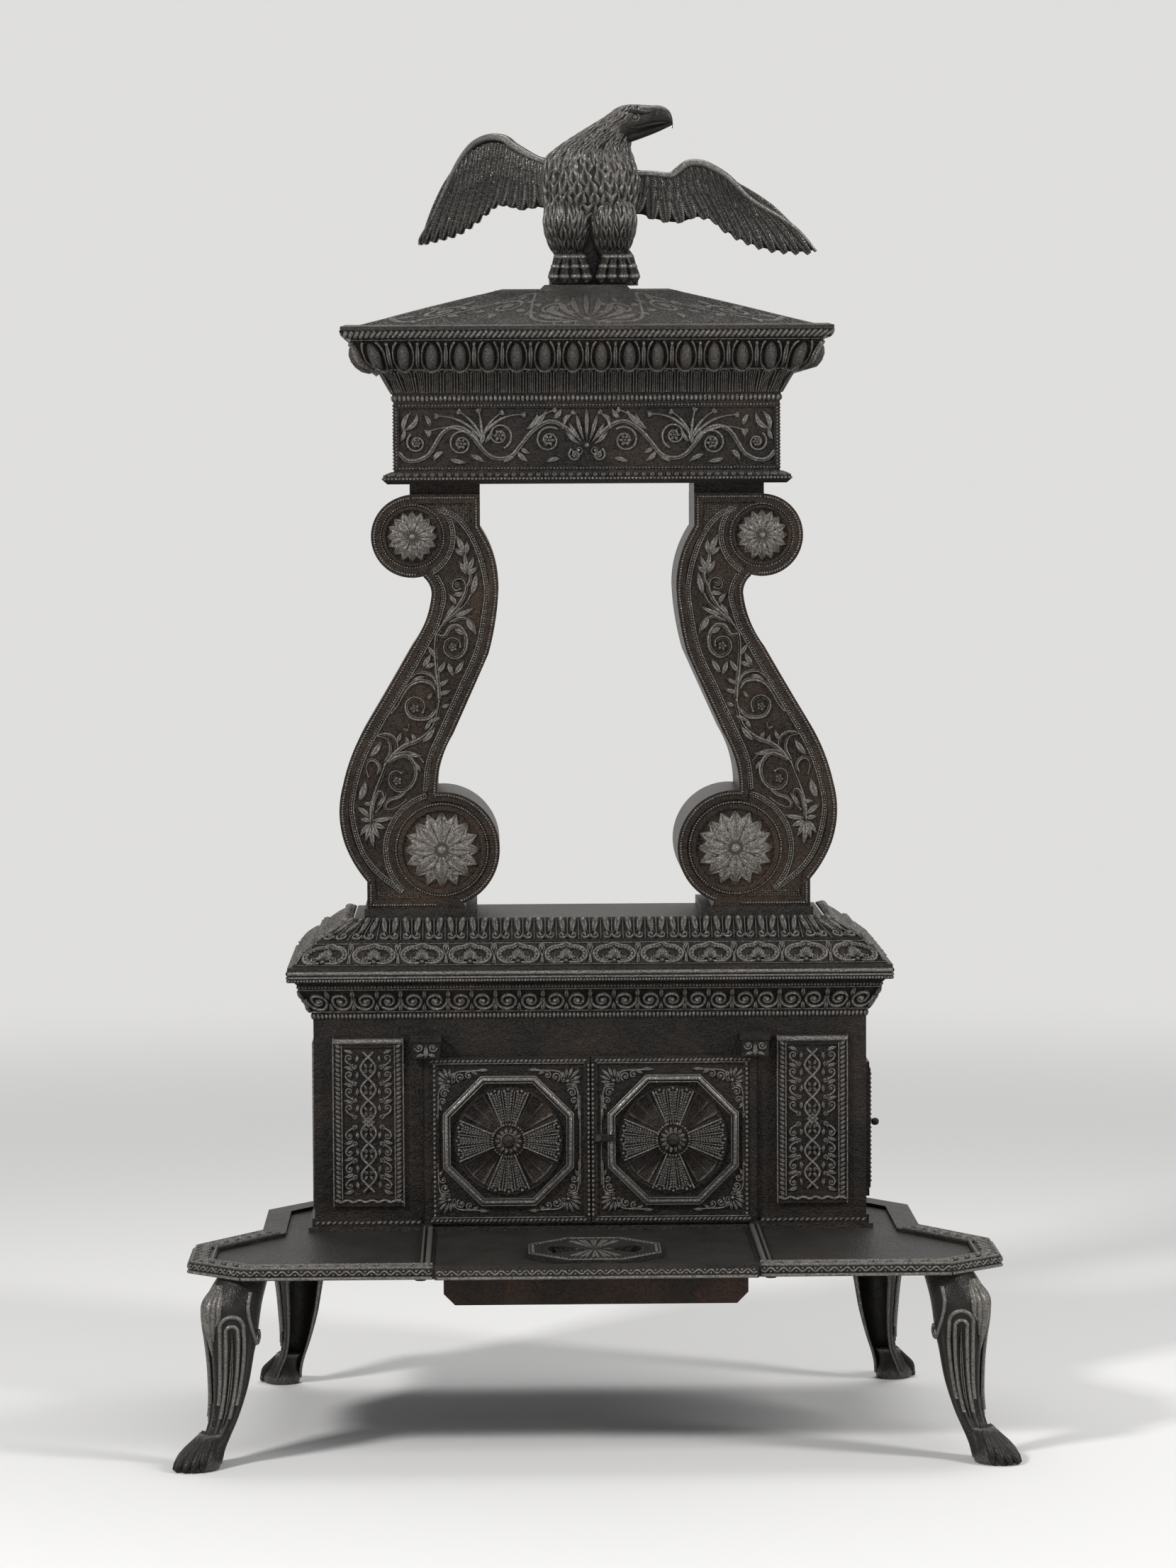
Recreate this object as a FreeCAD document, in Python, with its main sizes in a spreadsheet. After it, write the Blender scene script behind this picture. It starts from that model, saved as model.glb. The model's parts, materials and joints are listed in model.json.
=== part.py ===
import FreeCAD, Part
import math
import os
import types

import Sketcher

# Sizes of the stove in millimetres. Heights run up from the floor. Depths are taken from the core plane,
# the upright plane through the columns, the firebox and the middle of the roof.
SIZES = {
    # legs
    "front_reach": 397.38,
    "rear_reach": 142.15,
    "leg_height": 199.0,
    "leg_reach": 81.0,
    "leg_knee_width": 62.0,
    "leg_web": 8.0,
    "front_leg_side_inset": 59.0,
    "front_leg_inset": 41.0,
    "rear_leg_side_inset": 44.0,
    "rear_leg_inset": 45.0,
    "paw_length": 56.0,
    "paw_width": 46.0,
    "paw_height": 26.0,
    "toe_radius": 7.0,
    "leg_bolt_radius": 4.0,
    # hearth plate
    "hearth_thickness": 7.0,
    "hearth_rim_rise": 4.0,
    "hearth_rim_width": 26.0,
    "hearth_side_margin": 57.0,
    "apron_side_margin": 125.0,
    "apron_reach": 276.0,
    "apron_chamfer_width": 57.0,
    "apron_chamfer_depth": 51.0,
    "apron_side_length": 103.0,
    "shoulder_setback": 24.0,
    "rear_corner_width": 48.0,
    "rear_corner_depth": 61.0,
    "ledge_margin": 7.0,
    "ledge_rise": 5.0,
    "hinge_lug_radius": 7.0,
    # hearth slide and its register
    "slide_half_width": 170.0,
    "slide_setback": 17.0,
    "slide_ledge": 12.0,
    "slide_ledge_thickness": 3.0,
    "slide_floor": 4.0,
    "slide_lip": 5.5,
    "slide_rim_rise": 7.0,
    "register_setback": 105.0,
    "register_across": 143.0,
    "register_ring": 12.0,
    "register_ring_rise": 2.6,
    "register_disc_radius": 57.0,
    "register_disc_thickness": 2.0,
    "register_slot_inner": 22.0,
    "register_slot_outer": 50.0,
    "register_knob_offset": 14.0,
    "register_knob_radius": 3.2,
    "register_head_rise": 1.7,
    # ash trough
    "trough_half_width": 161.0,
    "trough_depth": 34.0,
    "trough_chamfer": 12.0,
    "trough_wall": 4.0,
    "trough_flange_half_width": 210.0,
    "trough_flange": 6.0,
    "trough_front_margin": 35.0,
    # firebox
    "body_half_width": 305.0,
    "body_half_depth": 95.0,
    "body_height": 229.0,
    "body_wall": 8.0,
    "opening_half_width": 176.0,
    "opening_sill": 13.0,
    "opening_height": 164.0,
    "base_bead_height": 9.0,
    "base_bead_rise": 3.0,
    "panel_center_x": 245.0,
    "panel_width": 79.0,
    "panel_height": 187.0,
    "panel_sill": 23.0,
    "panel_rise": 5.0,
    "panel_border": 11.0,
    "panel_recess": 2.0,
    "tie_rod_radius": 4.0,
    "tie_rod_boss_radius": 10.0,
    "tie_rod_x": 284.0,
    "tie_rod_depth": 72.0,
    "nut_across": 15.0,
    "nut_height": 7.0,
    # capitals over the doors
    "capital_width": 30.0,
    "capital_height": 24.5,
    "capital_depth": 21.0,
    "capital_slab": 6.0,
    "capital_slab_lap": 2.0,
    # doors
    "door_height": 184.0,
    "door_thickness": 7.0,
    "door_hinge_x": 181.0,
    "door_lift": 3.5,
    "door_pin_radius": 2.5,
    "door_pin_depth": 8.0,
    "door_border": 7.0,
    "door_border_rise": 2.0,
    "fan_across": 145.0,
    "fan_ring_width": 9.0,
    "fan_ring_rise": 5.0,
    "fan_radius": 57.0,
    "fan_inner_radius": 17.0,
    "fan_blade_rise": 3.0,
    "fan_web": 3.0,
    "boss_radius": 15.0,
    "boss_rise": 5.5,
    "knob_radius": 7.4,
    "spindle_radius": 2.5,
    "shutter_radius": 61.0,
    "shutter_thickness": 3.0,
    "rivet_end_radius": 6.0,
    "rivet_end_height": 3.0,
    "latch_height": 309.5,
    "latch_pivot_x": 8.0,
    "latch_tail": 5.0,
    "latch_length": 18.0,
    "latch_width": 7.6,
    "latch_thickness": 3.5,
    "latch_standoff": 5.6,
    "latch_pin_radius": 2.0,
    "latch_head_radius": 3.6,
    # side feed door
    "feed_door_half_depth": 60.0,
    "feed_door_height": 150.0,
    "feed_door_sill": 24.0,
    "feed_door_thickness": 6.0,
    "feed_lap": 8.0,
    "feed_lug_radius": 6.0,
    "feed_knob_radius": 4.2,
    "feed_collar_radius": 3.4,
    "feed_neck_length": 5.8,
    "feed_arm_length": 62.0,
    "feed_arm_width": 12.0,
    "feed_arm_thickness": 4.0,
    # grate
    "grate_half_width": 165.0,
    "grate_half_depth": 60.0,
    "grate_height": 40.0,
    "grate_bar": 9.0,
    "grate_bars": 12,
    # cornice under the lid and the stepped lid
    "body_cornice_rise": 45.0,
    "body_cornice_lap": 21.0,
    "lid_lap_x": 27.0,
    "lid_lap_y": 31.0,
    "lid_rim": 8.0,
    "lid_rise": 58.0,
    "lid_run_x": 73.0,
    "lid_run_y": 46.5,
    "lid_wall": 6.0,
    "plinth_rise": 10.0,
    "plinth_half_width": 248.0,
    "plinth_inner": 124.0,
    "plinth_half_depth": 77.0,
    "spigot_rise": 7.0,
    "spigot_wall": 4.0,
    # scroll columns
    "column_height": 457.0,
    "column_depth": 143.0,
    "column_reach": 275.0,
    "column_wall": 6.0,
    "column_foot_inner": 136.0,
    "column_foot_outer": 245.0,
    "column_head_inner": 118.0,
    "column_head_outer": 195.0,
    "lower_volute_radius": 64.0,
    "upper_volute_radius": 45.4,
    "volute_margin": 1.0,
    "lower_rosette_radius": 49.0,
    "upper_rosette_radius": 33.0,
    "rosette_rise": 5.0,
    "column_border": 10.0,
    "column_recess": 2.5,
    "column_bolt_radius": 4.0,
    "column_button_radius": 8.0,
    "neck_rise": 11.0,
    "neck_depth": 134.0,
    # entablature
    "entablature_half_width": 212.0,
    "entablature_half_depth": 80.0,
    "entablature_wall": 6.0,
    "base_plate_rise": 14.0,
    "base_plate_lap": 11.5,
    "frieze_height": 75.0,
    "frieze_border": 6.0,
    "frieze_recess": 2.0,
    "cornice_rise": 78.0,
    # roof
    "roof_half_width": 268.0,
    "roof_half_depth": 136.0,
    "roof_edge": 4.0,
    "roof_rise": 47.0,
    "roof_top_half_width": 92.0,
    "roof_top_half_depth": 42.0,
    "roof_wall": 6.0,
    "mound_rise": 5.0,
    "mound_half_width": 50.0,
    "mound_half_depth": 34.0,
    "roof_pin_length": 6.0,
    "roof_pin_inset": 5.0,
    # smoke collar
    "collar_radius": 51.0,
    "collar_wall": 5.0,
    "collar_length": 50.0,
    "collar_flange": 11.0,
    "collar_flange_thickness": 6.0,
    "collar_screw_head_radius": 5.1,
    # eagle
    "eagle_height": 199.0,
    "wing_length": 208.0,
    "wing_height": 128.0,
    "wing_thickness": 8.0,
    "left_wing_root": 38.0,
    "right_wing_root": 50.0,
    "stud_radius": 5.0,
    # fits and fasteners
    "screw_radius": 3.0,
    "fixed_gap": 0.1,
    "running_gap": 0.3,
    "slide_gap": 0.6,
}

# Directions and turns, in degrees
FRONT_LEG_ANGLE = 40.0
REAR_LEG_ANGLE = 58.0
LEFT_WING_ANGLE = 42.0
RIGHT_WING_ANGLE = 10.0
FAN_OPENING_ANGLE = 42.0
SLOT_OPENING_ANGLE = 56.0
EIGHTH_TURN_ANGLE = 45.0
TOE_ANGLES = (-42.0, -14.0, 14.0, 42.0)

# Corners of a round section, and how near to a plane four corners have to lie, as a share of the leg's height
RING_SIDES = 12
HORN_SIDES = 6
KNOB_SIDES = 12
SHANK_SIDES = 8
FLATNESS_SHARE = 1e-8

# Parts of a turn that set corners back: half of an eighth turn
EIGHTH_CORNER_SHARE = 0.414

# Outline shares, each chosen against the size that it follows
KNOB_SHARES = ((0.0, 0.50), (0.35, 0.86), (0.8, 1.00), (1.25, 1.00), (1.7, 0.84), (2.0, 0.50))
BLIND_HOLE_SHARE = 0.7
LEG_SHARES = (
    # height, reach, width
    (1.00, 0.00, 0.84),
    (0.86, 0.19, 1.00),
    (0.68, 0.20, 0.90),
    (0.44, 0.235, 0.71),
    (0.25, 0.34, 0.52),
    (0.12, 0.54, 0.50),
    (0.04, 0.66, 0.62),
)
PAW_SHARES = ((0.0, 0.90, 0.86), (0.3, 0.92, 0.86), (0.7, 0.80, 0.74), (1.0, 0.5, 0.5))
PAW_REACH_SHARE = 0.76
PAW_BACKWARD_SHARE = 0.2
# Toes: how far out and how high each joint lies, as shares of the paw's length and height
TOE_ROOT_SHARES = (-0.17, 0.55)
TOE_KNUCKLE_SHARES = (0.27, 0.45)
TOE_NAIL_SHARE = 0.42
# Toes: radii, and the way that the nail points, as shares of a toe's radius
TOE_RADIUS_SHARES = (1.0, 1.1, 0.92, 0.4)
TOE_TIP_SHARES = (0.6, 0.35)
LEG_DEPTH_SHARE = 0.92
# The hollow in a leg: its width, how far it lies to the rear of the leg, and where it starts
LEG_HOLLOW_SHARES = (0.72, 0.52, 0.2)
# The ear of a leg: back and side, as shares of the knee; height, as a share of the leg; radius, of the knee
EAR_SHARES = (0.24, 0.36, 0.92, 0.11)
LEG_BOLT_HEAD_SHARE = 1.9
LEG_BOLT_ROOM_SHARE = 2.2
LEG_BOLT_DEPTH_SHARE = 0.8
LID_SHARES = (
    # share of the run inward, share of the rise
    (0.00, 0.00),
    (0.00, 0.14),
    (0.09, 0.17),
    (0.22, 0.38),
    (0.40, 0.55),
    (0.59, 0.66),
    (0.94, 0.68),
    (0.97, 0.90),
    (1.00, 1.00),
)
BODY_CORNICE_SHARES = ((0.00, 0.00), (0.08, 0.20), (0.35, 0.50), (0.75, 0.80), (0.80, 0.90), (1.00, 1.00))
BASE_PLATE_SHARES = ((0.60, 0.00), (1.00, 0.28), (1.00, 0.55), (0.15, 0.85), (0.00, 1.00))
LID_HOLLOW_SHARES = (0.4, 0.66)
LID_BOSS_SHARE = 0.45
LID_BORE_SHARE = 0.35
TIE_ROD_TOP_SHARE = 0.3
CORNICE_SHARES = (
    (0.00, 0.00),
    (0.02, 0.12),
    (0.06, 0.23),
    (0.14, 0.35),
    (0.33, 0.46),
    (0.58, 0.60),
    (0.68, 0.75),
    (0.79, 0.88),
    (0.91, 0.89),
    (1.00, 1.00),
)
# The inner and outer edge of a column between its head and its volutes: across and up, as shares of the
# column's widest reach from the centre of the stove and of its height.
INNER_EDGE_SHARES = (
    (0.429, 0.921), (0.375, 0.853), (0.356, 0.775), (0.364, 0.716), (0.398, 0.615),
    (0.473, 0.514), (0.542, 0.422), (0.593, 0.350), (0.607, 0.278),
)
OUTER_EDGE_SHARES = (
    (0.891, 0.066), (0.938, 0.105), (0.978, 0.155), (1.000, 0.228), (0.985, 0.300), (0.949, 0.372),
    (0.891, 0.443), (0.805, 0.530), (0.709, 0.630), (0.645, 0.702), (0.624, 0.759), (0.633, 0.783),
    (0.655, 0.800),
)
LOWER_VOLUTE_SHARE = 0.590
UPPER_VOLUTE_SHARE = 0.700
# A rosette's ring: its height, as a share of the dome's, and its inner radius; the dome's two radii
ROSETTE_RING_SHARES = (0.6, 0.9)
ROSETTE_DOME_SHARES = (0.82, 0.3)
# Eagle: across, depth, height, half width and half depth, all as shares of its height
BODY_SHARES = (
    (0.03, 0.00, 0.34, 0.17, 0.14),
    (0.03, 0.00, 0.46, 0.25, 0.20),
    (0.03, 0.00, 0.58, 0.26, 0.22),
    (0.04, 0.00, 0.70, 0.23, 0.20),
    (0.08, -0.02, 0.79, 0.17, 0.15),
    (0.15, -0.05, 0.87, 0.13, 0.12),
    (0.22, -0.08, 0.93, 0.10, 0.10),
    (0.25, -0.09, 0.975, 0.085, 0.08),
    (0.26, -0.10, 1.00, 0.045, 0.05),
)
BEAK_SHARES = ((0.29, 0.925, 0.070), (0.38, 0.935, 0.050), (0.44, 0.925, 0.034), (0.475, 0.895, 0.012))
THIGH_SHARES = ((0.10, 0.085, 0.075), (0.20, 0.095, 0.085), (0.30, 0.125, 0.115), (0.42, 0.120, 0.120))
THIGH_OFFSET_SHARE = 0.15
FOOT_SHARES = (0.11, 0.16, 0.10)
FOOT_FORWARD_SHARE = 0.06
FOOT_STACK_SHARES = ((1.0, 1.0, 0.0), (0.95, 0.9, 0.45), (0.7, 0.55, 1.0))
# An eagle's toe: its spread from its neighbours, how far forward and how high each joint lies, and its radii
CLAW_SHARES = ((0.45, 0.0, 0.5), (0.55, 0.45, 0.42), (0.58, 0.66, 0.27))
CLAW_RADIUS_SHARES = (1.0, 1.1, 0.7)
TAIL_SHARES = (0.08, 0.16, 0.07)
TAIL_STACK_SHARES = ((1.0, 1.0, 0.0), (1.1, 1.0, 0.3), (1.0, 0.8, 0.45))
LEFT_WING_LEVEL_SHARE = 0.30
RIGHT_WING_LEVEL_SHARE = 0.21
WING_SOCKET_SHARE = 0.5
STUD_SHARE = 0.12
# A wing: along from the root and up from the tip's level, as shares of its length and height
WING_TOP_SHARES = (
    (0.00, 0.60), (0.10, 0.66), (0.24, 0.98), (0.40, 1.00), (0.62, 0.70), (0.84, 0.34), (1.00, 0.06),
)
WING_LOWER_SHARES = (
    (0.93, 0.00), (0.80, 0.05), (0.77, 0.02), (0.62, 0.14), (0.58, 0.12), (0.44, 0.30), (0.40, 0.28),
    (0.28, 0.42), (0.18, 0.34), (0.00, 0.30),
)

DOC = FreeCAD.newDocument("parlor_stove")
SHEET = DOC.addObject("Spreadsheet::Sheet", "Sizes")
for row, (alias, cell_value) in enumerate(SIZES.items(), start=1):
    SHEET.set(f"A{row}", alias)
    SHEET.set(f"B{row}", str(cell_value))
    SHEET.setAlias(f"B{row}", alias)
DOC.recompute()


class Size:
    """A cell of the sheet, or a sum of cells: its formula in the document and its number now."""

    def __init__(self, formula, number):
        self.formula = formula
        self.number = number

    def __float__(self):
        return self.number

    def joined(self, sign, other, number):
        return Size(f"({self.formula} {sign} {formula_of(other)})", number)

    def __add__(self, other):
        return self.joined("+", other, self.number + float(other))

    def __sub__(self, other):
        return self.joined("-", other, self.number - float(other))

    def __mul__(self, other):
        return self.joined("*", other, self.number * float(other))

    def __truediv__(self, other):
        return self.joined("/", other, self.number / float(other))

    def __rmul__(self, other):
        return self * other

    def __radd__(self, other):
        return self + other

    def __neg__(self):
        return self * -1


def formula_of(value):
    if isinstance(value, Size):
        return value.formula
    return f"({value})" if value < 0 else f"{value}"


s = types.SimpleNamespace(**{name: Size(f"Sizes.{name}", float(SHEET.get(name))) for name in SIZES})
NODES = []

# Levels and planes that several pieces share
CORE_Y = (s.front_reach - s.rear_reach) / 2
HEARTH_FLOOR = s.leg_height + s.hearth_thickness
HEARTH_TOP = HEARTH_FLOOR + s.hearth_rim_rise
BODY_BOTTOM = HEARTH_FLOOR + s.ledge_rise
BODY_TOP = BODY_BOTTOM + s.body_height
LID_BOTTOM = BODY_TOP + s.body_cornice_rise
LID_HALF_X = s.body_half_width + s.lid_lap_x
LID_HALF_Y = s.body_half_depth + s.lid_lap_y
LID_TOP = LID_BOTTOM + s.lid_rise + s.lid_rim
COLUMN_FOOT = LID_TOP + s.plinth_rise
COLUMN_HEAD = COLUMN_FOOT + s.column_height
BASE_PLATE_BOTTOM = COLUMN_HEAD + s.neck_rise
FRIEZE_BOTTOM = BASE_PLATE_BOTTOM + s.base_plate_rise
CORNICE_BOTTOM = FRIEZE_BOTTOM + s.frieze_height
ROOF_BOTTOM = CORNICE_BOTTOM + s.cornice_rise
ROOF_TOP = ROOF_BOTTOM + s.roof_rise
EAGLE_FOOT = ROOF_TOP + s.mound_rise
APRON_FRONT = -(s.body_half_depth + s.apron_reach)
APRON_HALF_X = s.body_half_width + s.apron_side_margin
HEARTH_HALF_X = s.body_half_width + s.hearth_side_margin
SLIDE_REAR = -(s.body_half_depth + s.slide_setback)
REGISTER_Y = APRON_FRONT + s.register_setback
REGISTER_SEAT = HEARTH_TOP
DOOR_BACK = -(s.body_half_depth + s.running_gap)
DOOR_FRONT = DOOR_BACK - s.door_thickness
DOOR_HINGE_Y = DOOR_BACK - s.door_thickness / 2
DOOR_BOTTOM = BODY_BOTTOM + s.door_lift
DOOR_TOP = DOOR_BOTTOM + s.door_height
FAN_Z = DOOR_BOTTOM + s.door_height / 2


def bind(thing, **formulas):
    """Ties properties of a feature to sizes."""
    for prop, size in formulas.items():
        if isinstance(size, Size):
            thing.setExpression(prop, size.formula)
        else:
            setattr(thing, prop, size)
    return thing


def place(thing, x, y, z, rotation=None):
    """Stands a feature at a point given in sizes."""
    if rotation is not None:
        thing.Placement = FreeCAD.Placement(FreeCAD.Vector(), rotation)
    for letter, size in zip("xyz", (x, y, z)):
        if isinstance(size, Size):
            thing.setExpression(f"Placement.Base.{letter}", size.formula)
    return thing


def turned(axis, angle):
    return FreeCAD.Rotation(FreeCAD.Vector(*axis), angle)


ALONG = {"x": turned((0, 1, 0), 90), "y": turned((1, 0, 0), -90), "z": turned((0, 0, 1), 0)}


def lay_along(thing, along, start, at, spin=0.0):
    """Points a feature's own height along an axis, from start, at the two other coordinates."""
    x, y, z = {"x": (start, *at), "y": (at[0], start, at[1]), "z": (*at, start)}[along]
    return place(thing, x, y, z, ALONG[along].multiply(turned((0, 0, 1), spin)))


def block(x_range, y_range, z_range):
    """A box between two values on each axis."""
    thing = DOC.addObject("Part::Box", "block")
    lengths = [high - low for low, high in (x_range, y_range, z_range)]
    bind(thing, Length=lengths[0], Width=lengths[1], Height=lengths[2])
    return place(thing, x_range[0], y_range[0], z_range[0])


def rod(radius, start, end, at, along="z", angle=360.0, spin=0.0):
    thing = DOC.addObject("Part::Cylinder", "rod")
    bind(thing, Radius=radius, Height=end - start, Angle=angle)
    return lay_along(thing, along, start, at, spin)


def prism(sides, across, start, end, at, along="z"):
    """A prism with flats square to the axes, as wide as across from flat to flat."""
    thing = DOC.addObject("Part::Prism", "prism")
    thing.Polygon = sides
    bind(thing, Circumradius=across / (2 * math.cos(math.pi / sides)), Height=end - start)
    return lay_along(thing, along, start, at, 180.0 / sides)


def shank(radius, start, end, at, along="z"):
    """A fastener's shank or head, or the hole for it: eight flats, with their corners on a radius."""
    thing = DOC.addObject("Part::Prism", "shank")
    thing.Polygon = SHANK_SIDES
    bind(thing, Circumradius=radius, Height=end - start)
    return lay_along(thing, along, start, at, 180.0 / SHANK_SIDES)


def eight_flats(x, y, radius):
    """Corners of the hole that a shank fits, for a sketch."""
    angles = [2 * math.pi * (i + 0.5) / SHANK_SIDES for i in range(SHANK_SIDES)]
    return [(x + radius * math.cos(angle), y + radius * math.sin(angle)) for angle in angles]


def fuse(*parts):
    thing = DOC.addObject("Part::MultiFuse", "fusion")
    thing.Shapes = list(parts)
    return thing


def cut(base, *tools):
    thing = DOC.addObject("Part::Cut", "difference")
    thing.Base = base
    thing.Tool = tools[0] if len(tools) == 1 else fuse(*tools)
    return thing


def group(*parts):
    thing = DOC.addObject("Part::Compound", "group")
    thing.Links = list(parts)
    return thing


def node(name, thing):
    """Names a finished sub-part and moves it from the core frame to the part's own frame."""
    thing.Label = name
    thing.setExpression("Placement.Base.y", CORE_Y.formula)
    NODES.append(thing)
    return thing


def shaped(name, shape):
    """A sub-part whose shape is worked out here from the sheet's sizes."""
    thing = DOC.addObject("Part::Feature", name)
    thing.Shape = shape
    return node(name, thing)


def shaped_at(name, shape, x, y, turn):
    """A shaped sub-part that stands at a place and turned about the upright."""
    thing = shaped(name, shape)
    return place(thing, x, CORE_Y + y, 0, turned((0, 0, 1), turn))


class Casting:
    """A body made of sketches on its own origin planes."""

    def __init__(self, name):
        self.body = DOC.addObject("PartDesign::Body", name)
        node(name, self.body)

    def plane(self, role):
        return next(f for f in self.body.Origin.OriginFeatures if f.Role == role)

    def sketch(self, role, offset, loops):
        """A sketch of closed loops: corner lists, or (x, y, radius) circles given as dicts."""
        sketch = self.body.newObject("Sketcher::SketchObject", "outline")
        sketch.AttachmentSupport = [(self.plane(role), "")]
        sketch.MapMode = "FlatFace"
        sketch.setExpression("AttachmentOffset.Base.z", offset.formula)
        for loop in loops:
            if isinstance(loop, dict):
                self.circle(sketch, **loop)
            else:
                self.polygon(sketch, loop)
        return sketch

    def fix(self, sketch, geometry, point, x, y):
        """Holds a point of a sketch at a place given in sizes."""
        for kind, value, axis in (("DistanceX", x, -2), ("DistanceY", y, -1)):
            if float(value) == 0:
                sketch.addConstraint(Sketcher.Constraint("PointOnObject", geometry, point, axis))
                continue
            row = sketch.addConstraint(Sketcher.Constraint(kind, -1, 1, geometry, point, float(value)))
            sketch.setExpression(f"Constraints[{row}]", value.formula)

    def polygon(self, sketch, corners):
        count = len(corners)
        points = [FreeCAD.Vector(float(x), float(y), 0) for x, y in corners]
        first = sketch.GeometryCount
        for i in range(count):
            sketch.addGeometry(Part.LineSegment(points[i], points[(i + 1) % count]), False)
        for i in range(count):
            following = first + (i + 1) % count
            sketch.addConstraint(Sketcher.Constraint("Coincident", first + i, 2, following, 1))
        for i, (x, y) in enumerate(corners):
            self.fix(sketch, first + i, 1, x, y)

    def circle(self, sketch, x, y, radius):
        centre = FreeCAD.Vector(float(x), float(y), 0)
        row = sketch.addGeometry(Part.Circle(centre, FreeCAD.Vector(0, 0, 1), float(radius)), False)
        self.fix(sketch, row, 3, x, y)
        held = sketch.addConstraint(Sketcher.Constraint("Radius", row, float(radius)))
        sketch.setExpression(f"Constraints[{held}]", radius.formula)

    def feature(self, kind, role, offset, length, loops, reverse):
        sketch = self.sketch(role, offset, loops)
        thing = self.body.newObject(kind, "feature")
        thing.Profile = sketch
        thing.Reversed = reverse
        thing.setExpression("Length", length.formula)
        return thing

    def pad(self, role, offset, length, *loops, reverse=False):
        return self.feature("PartDesign::Pad", role, offset, length, loops, reverse)

    def pocket(self, role, offset, length, *loops, reverse=False):
        return self.feature("PartDesign::Pocket", role, offset, length, loops, reverse)


def rectangle(x_low, x_high, y_low, y_high):
    return [(x_low, y_low), (x_high, y_low), (x_high, y_high), (x_low, y_high)]


def both_sides(points):
    """Closes a right half outline with its mirror image."""
    return points + [(-x, y) for x, y in reversed(points)]


# Hearth

def hearth_outline(inset):
    """The plan of the hearth, drawn in by an inset on every side."""
    corner = inset * EIGHTH_CORNER_SHARE
    shoulder = -(s.body_half_depth + s.shoulder_setback)
    side_rear = APRON_FRONT + s.apron_chamfer_depth + s.apron_side_length
    return both_sides([
        (APRON_HALF_X - s.apron_chamfer_width - corner, APRON_FRONT + inset),
        (APRON_HALF_X - inset, APRON_FRONT + s.apron_chamfer_depth + corner),
        (APRON_HALF_X - inset, side_rear - corner),
        (HEARTH_HALF_X - inset, shoulder - corner),
        (HEARTH_HALF_X - inset, s.body_half_depth - s.rear_corner_depth - corner),
        (HEARTH_HALF_X - s.rear_corner_width - corner, s.body_half_depth - inset),
    ])


TROUGH_FRONT = APRON_FRONT + s.trough_front_margin
PIT_HALF_X = s.slide_half_width - s.slide_ledge
PIT_REAR = SLIDE_REAR - s.slide_ledge
LEG_PLACES = (
    (-1, -1, "leg_front_left"), (1, -1, "leg_front_right"), (-1, 1, "leg_rear_left"), (1, 1, "leg_rear_right"),
)


def leg_place(side, end):
    """Where the top of a leg lies under the hearth, and the way that it leans."""
    if end < 0:
        x = APRON_HALF_X - s.front_leg_side_inset
        return x * side, APRON_FRONT + s.front_leg_inset, FRONT_LEG_ANGLE
    x = HEARTH_HALF_X - s.rear_leg_side_inset
    return x * side, s.body_half_depth - s.rear_leg_inset, REAR_LEG_ANGLE


def trough_screw_places():
    x = (s.trough_flange_half_width + s.trough_half_width) / 2
    inset = s.trough_flange * 2
    return [(x * side, y) for side in (-1, 1) for y in (TROUGH_FRONT + inset, PIT_REAR - inset)]


def tie_rod_places():
    return [(s.tie_rod_x * side, s.tie_rod_depth * end) for side in (-1, 1) for end in (-1, 1)]


def hearth_plate():
    casting = Casting("hearth_plate")
    casting.pad("XY_Plane", s.leg_height, HEARTH_TOP - s.leg_height, hearth_outline(0))
    casting.pocket("XY_Plane", HEARTH_TOP, s.hearth_rim_rise, hearth_outline(s.hearth_rim_width))
    ledge_x = s.body_half_width + s.ledge_margin
    ledge_front = -(s.body_half_depth + s.ledge_margin)
    casting.pad("XY_Plane", s.leg_height, BODY_BOTTOM - s.leg_height,
                rectangle(-ledge_x, ledge_x, ledge_front, s.body_half_depth))
    lugs = [{"x": s.door_hinge_x * side, "y": DOOR_HINGE_Y, "radius": s.hinge_lug_radius} for side in (-1, 1)]
    casting.pad("XY_Plane", s.leg_height, DOOR_BOTTOM - s.running_gap - s.leg_height, *lugs)
    notch_x = s.slide_half_width + s.slide_gap
    overrun = s.apron_side_length
    casting.pocket("XY_Plane", HEARTH_TOP, HEARTH_TOP - s.leg_height - s.slide_ledge_thickness,
                   rectangle(-notch_x, notch_x, APRON_FRONT - overrun, SLIDE_REAR + s.slide_gap))
    casting.pocket("XY_Plane", HEARTH_TOP, HEARTH_TOP,
                   rectangle(-PIT_HALF_X, PIT_HALF_X, TROUGH_FRONT + s.slide_ledge, PIT_REAR))
    # The rivet under the slide passes through this channel
    channel = s.rivet_end_radius + s.slide_gap
    casting.pocket("XY_Plane", HEARTH_TOP, HEARTH_TOP,
                   rectangle(-channel, channel, APRON_FRONT - overrun, TROUGH_FRONT + s.slide_ledge * 2))
    blind = [eight_flats(x, y, s.screw_radius + s.fixed_gap) for x, y in trough_screw_places()]
    for side, end, _ in LEG_PLACES:
        x, y, _ = leg_place(side, end)
        blind.append(eight_flats(x, y, s.leg_bolt_radius + s.fixed_gap))
    casting.pocket("XY_Plane", s.leg_height, s.hearth_thickness * BLIND_HOLE_SHARE, *blind, reverse=True)
    rods = [eight_flats(x, y, s.tie_rod_radius + s.fixed_gap) for x, y in tie_rod_places()]
    casting.pocket("XY_Plane", BODY_BOTTOM, BODY_BOTTOM, *rods)
    pins = [dict(lug, radius=s.door_pin_radius + s.fixed_gap) for lug in lugs]
    casting.pocket("XY_Plane", DOOR_BOTTOM, DOOR_BOTTOM - s.leg_height - s.fixed_gap, *pins)


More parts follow.
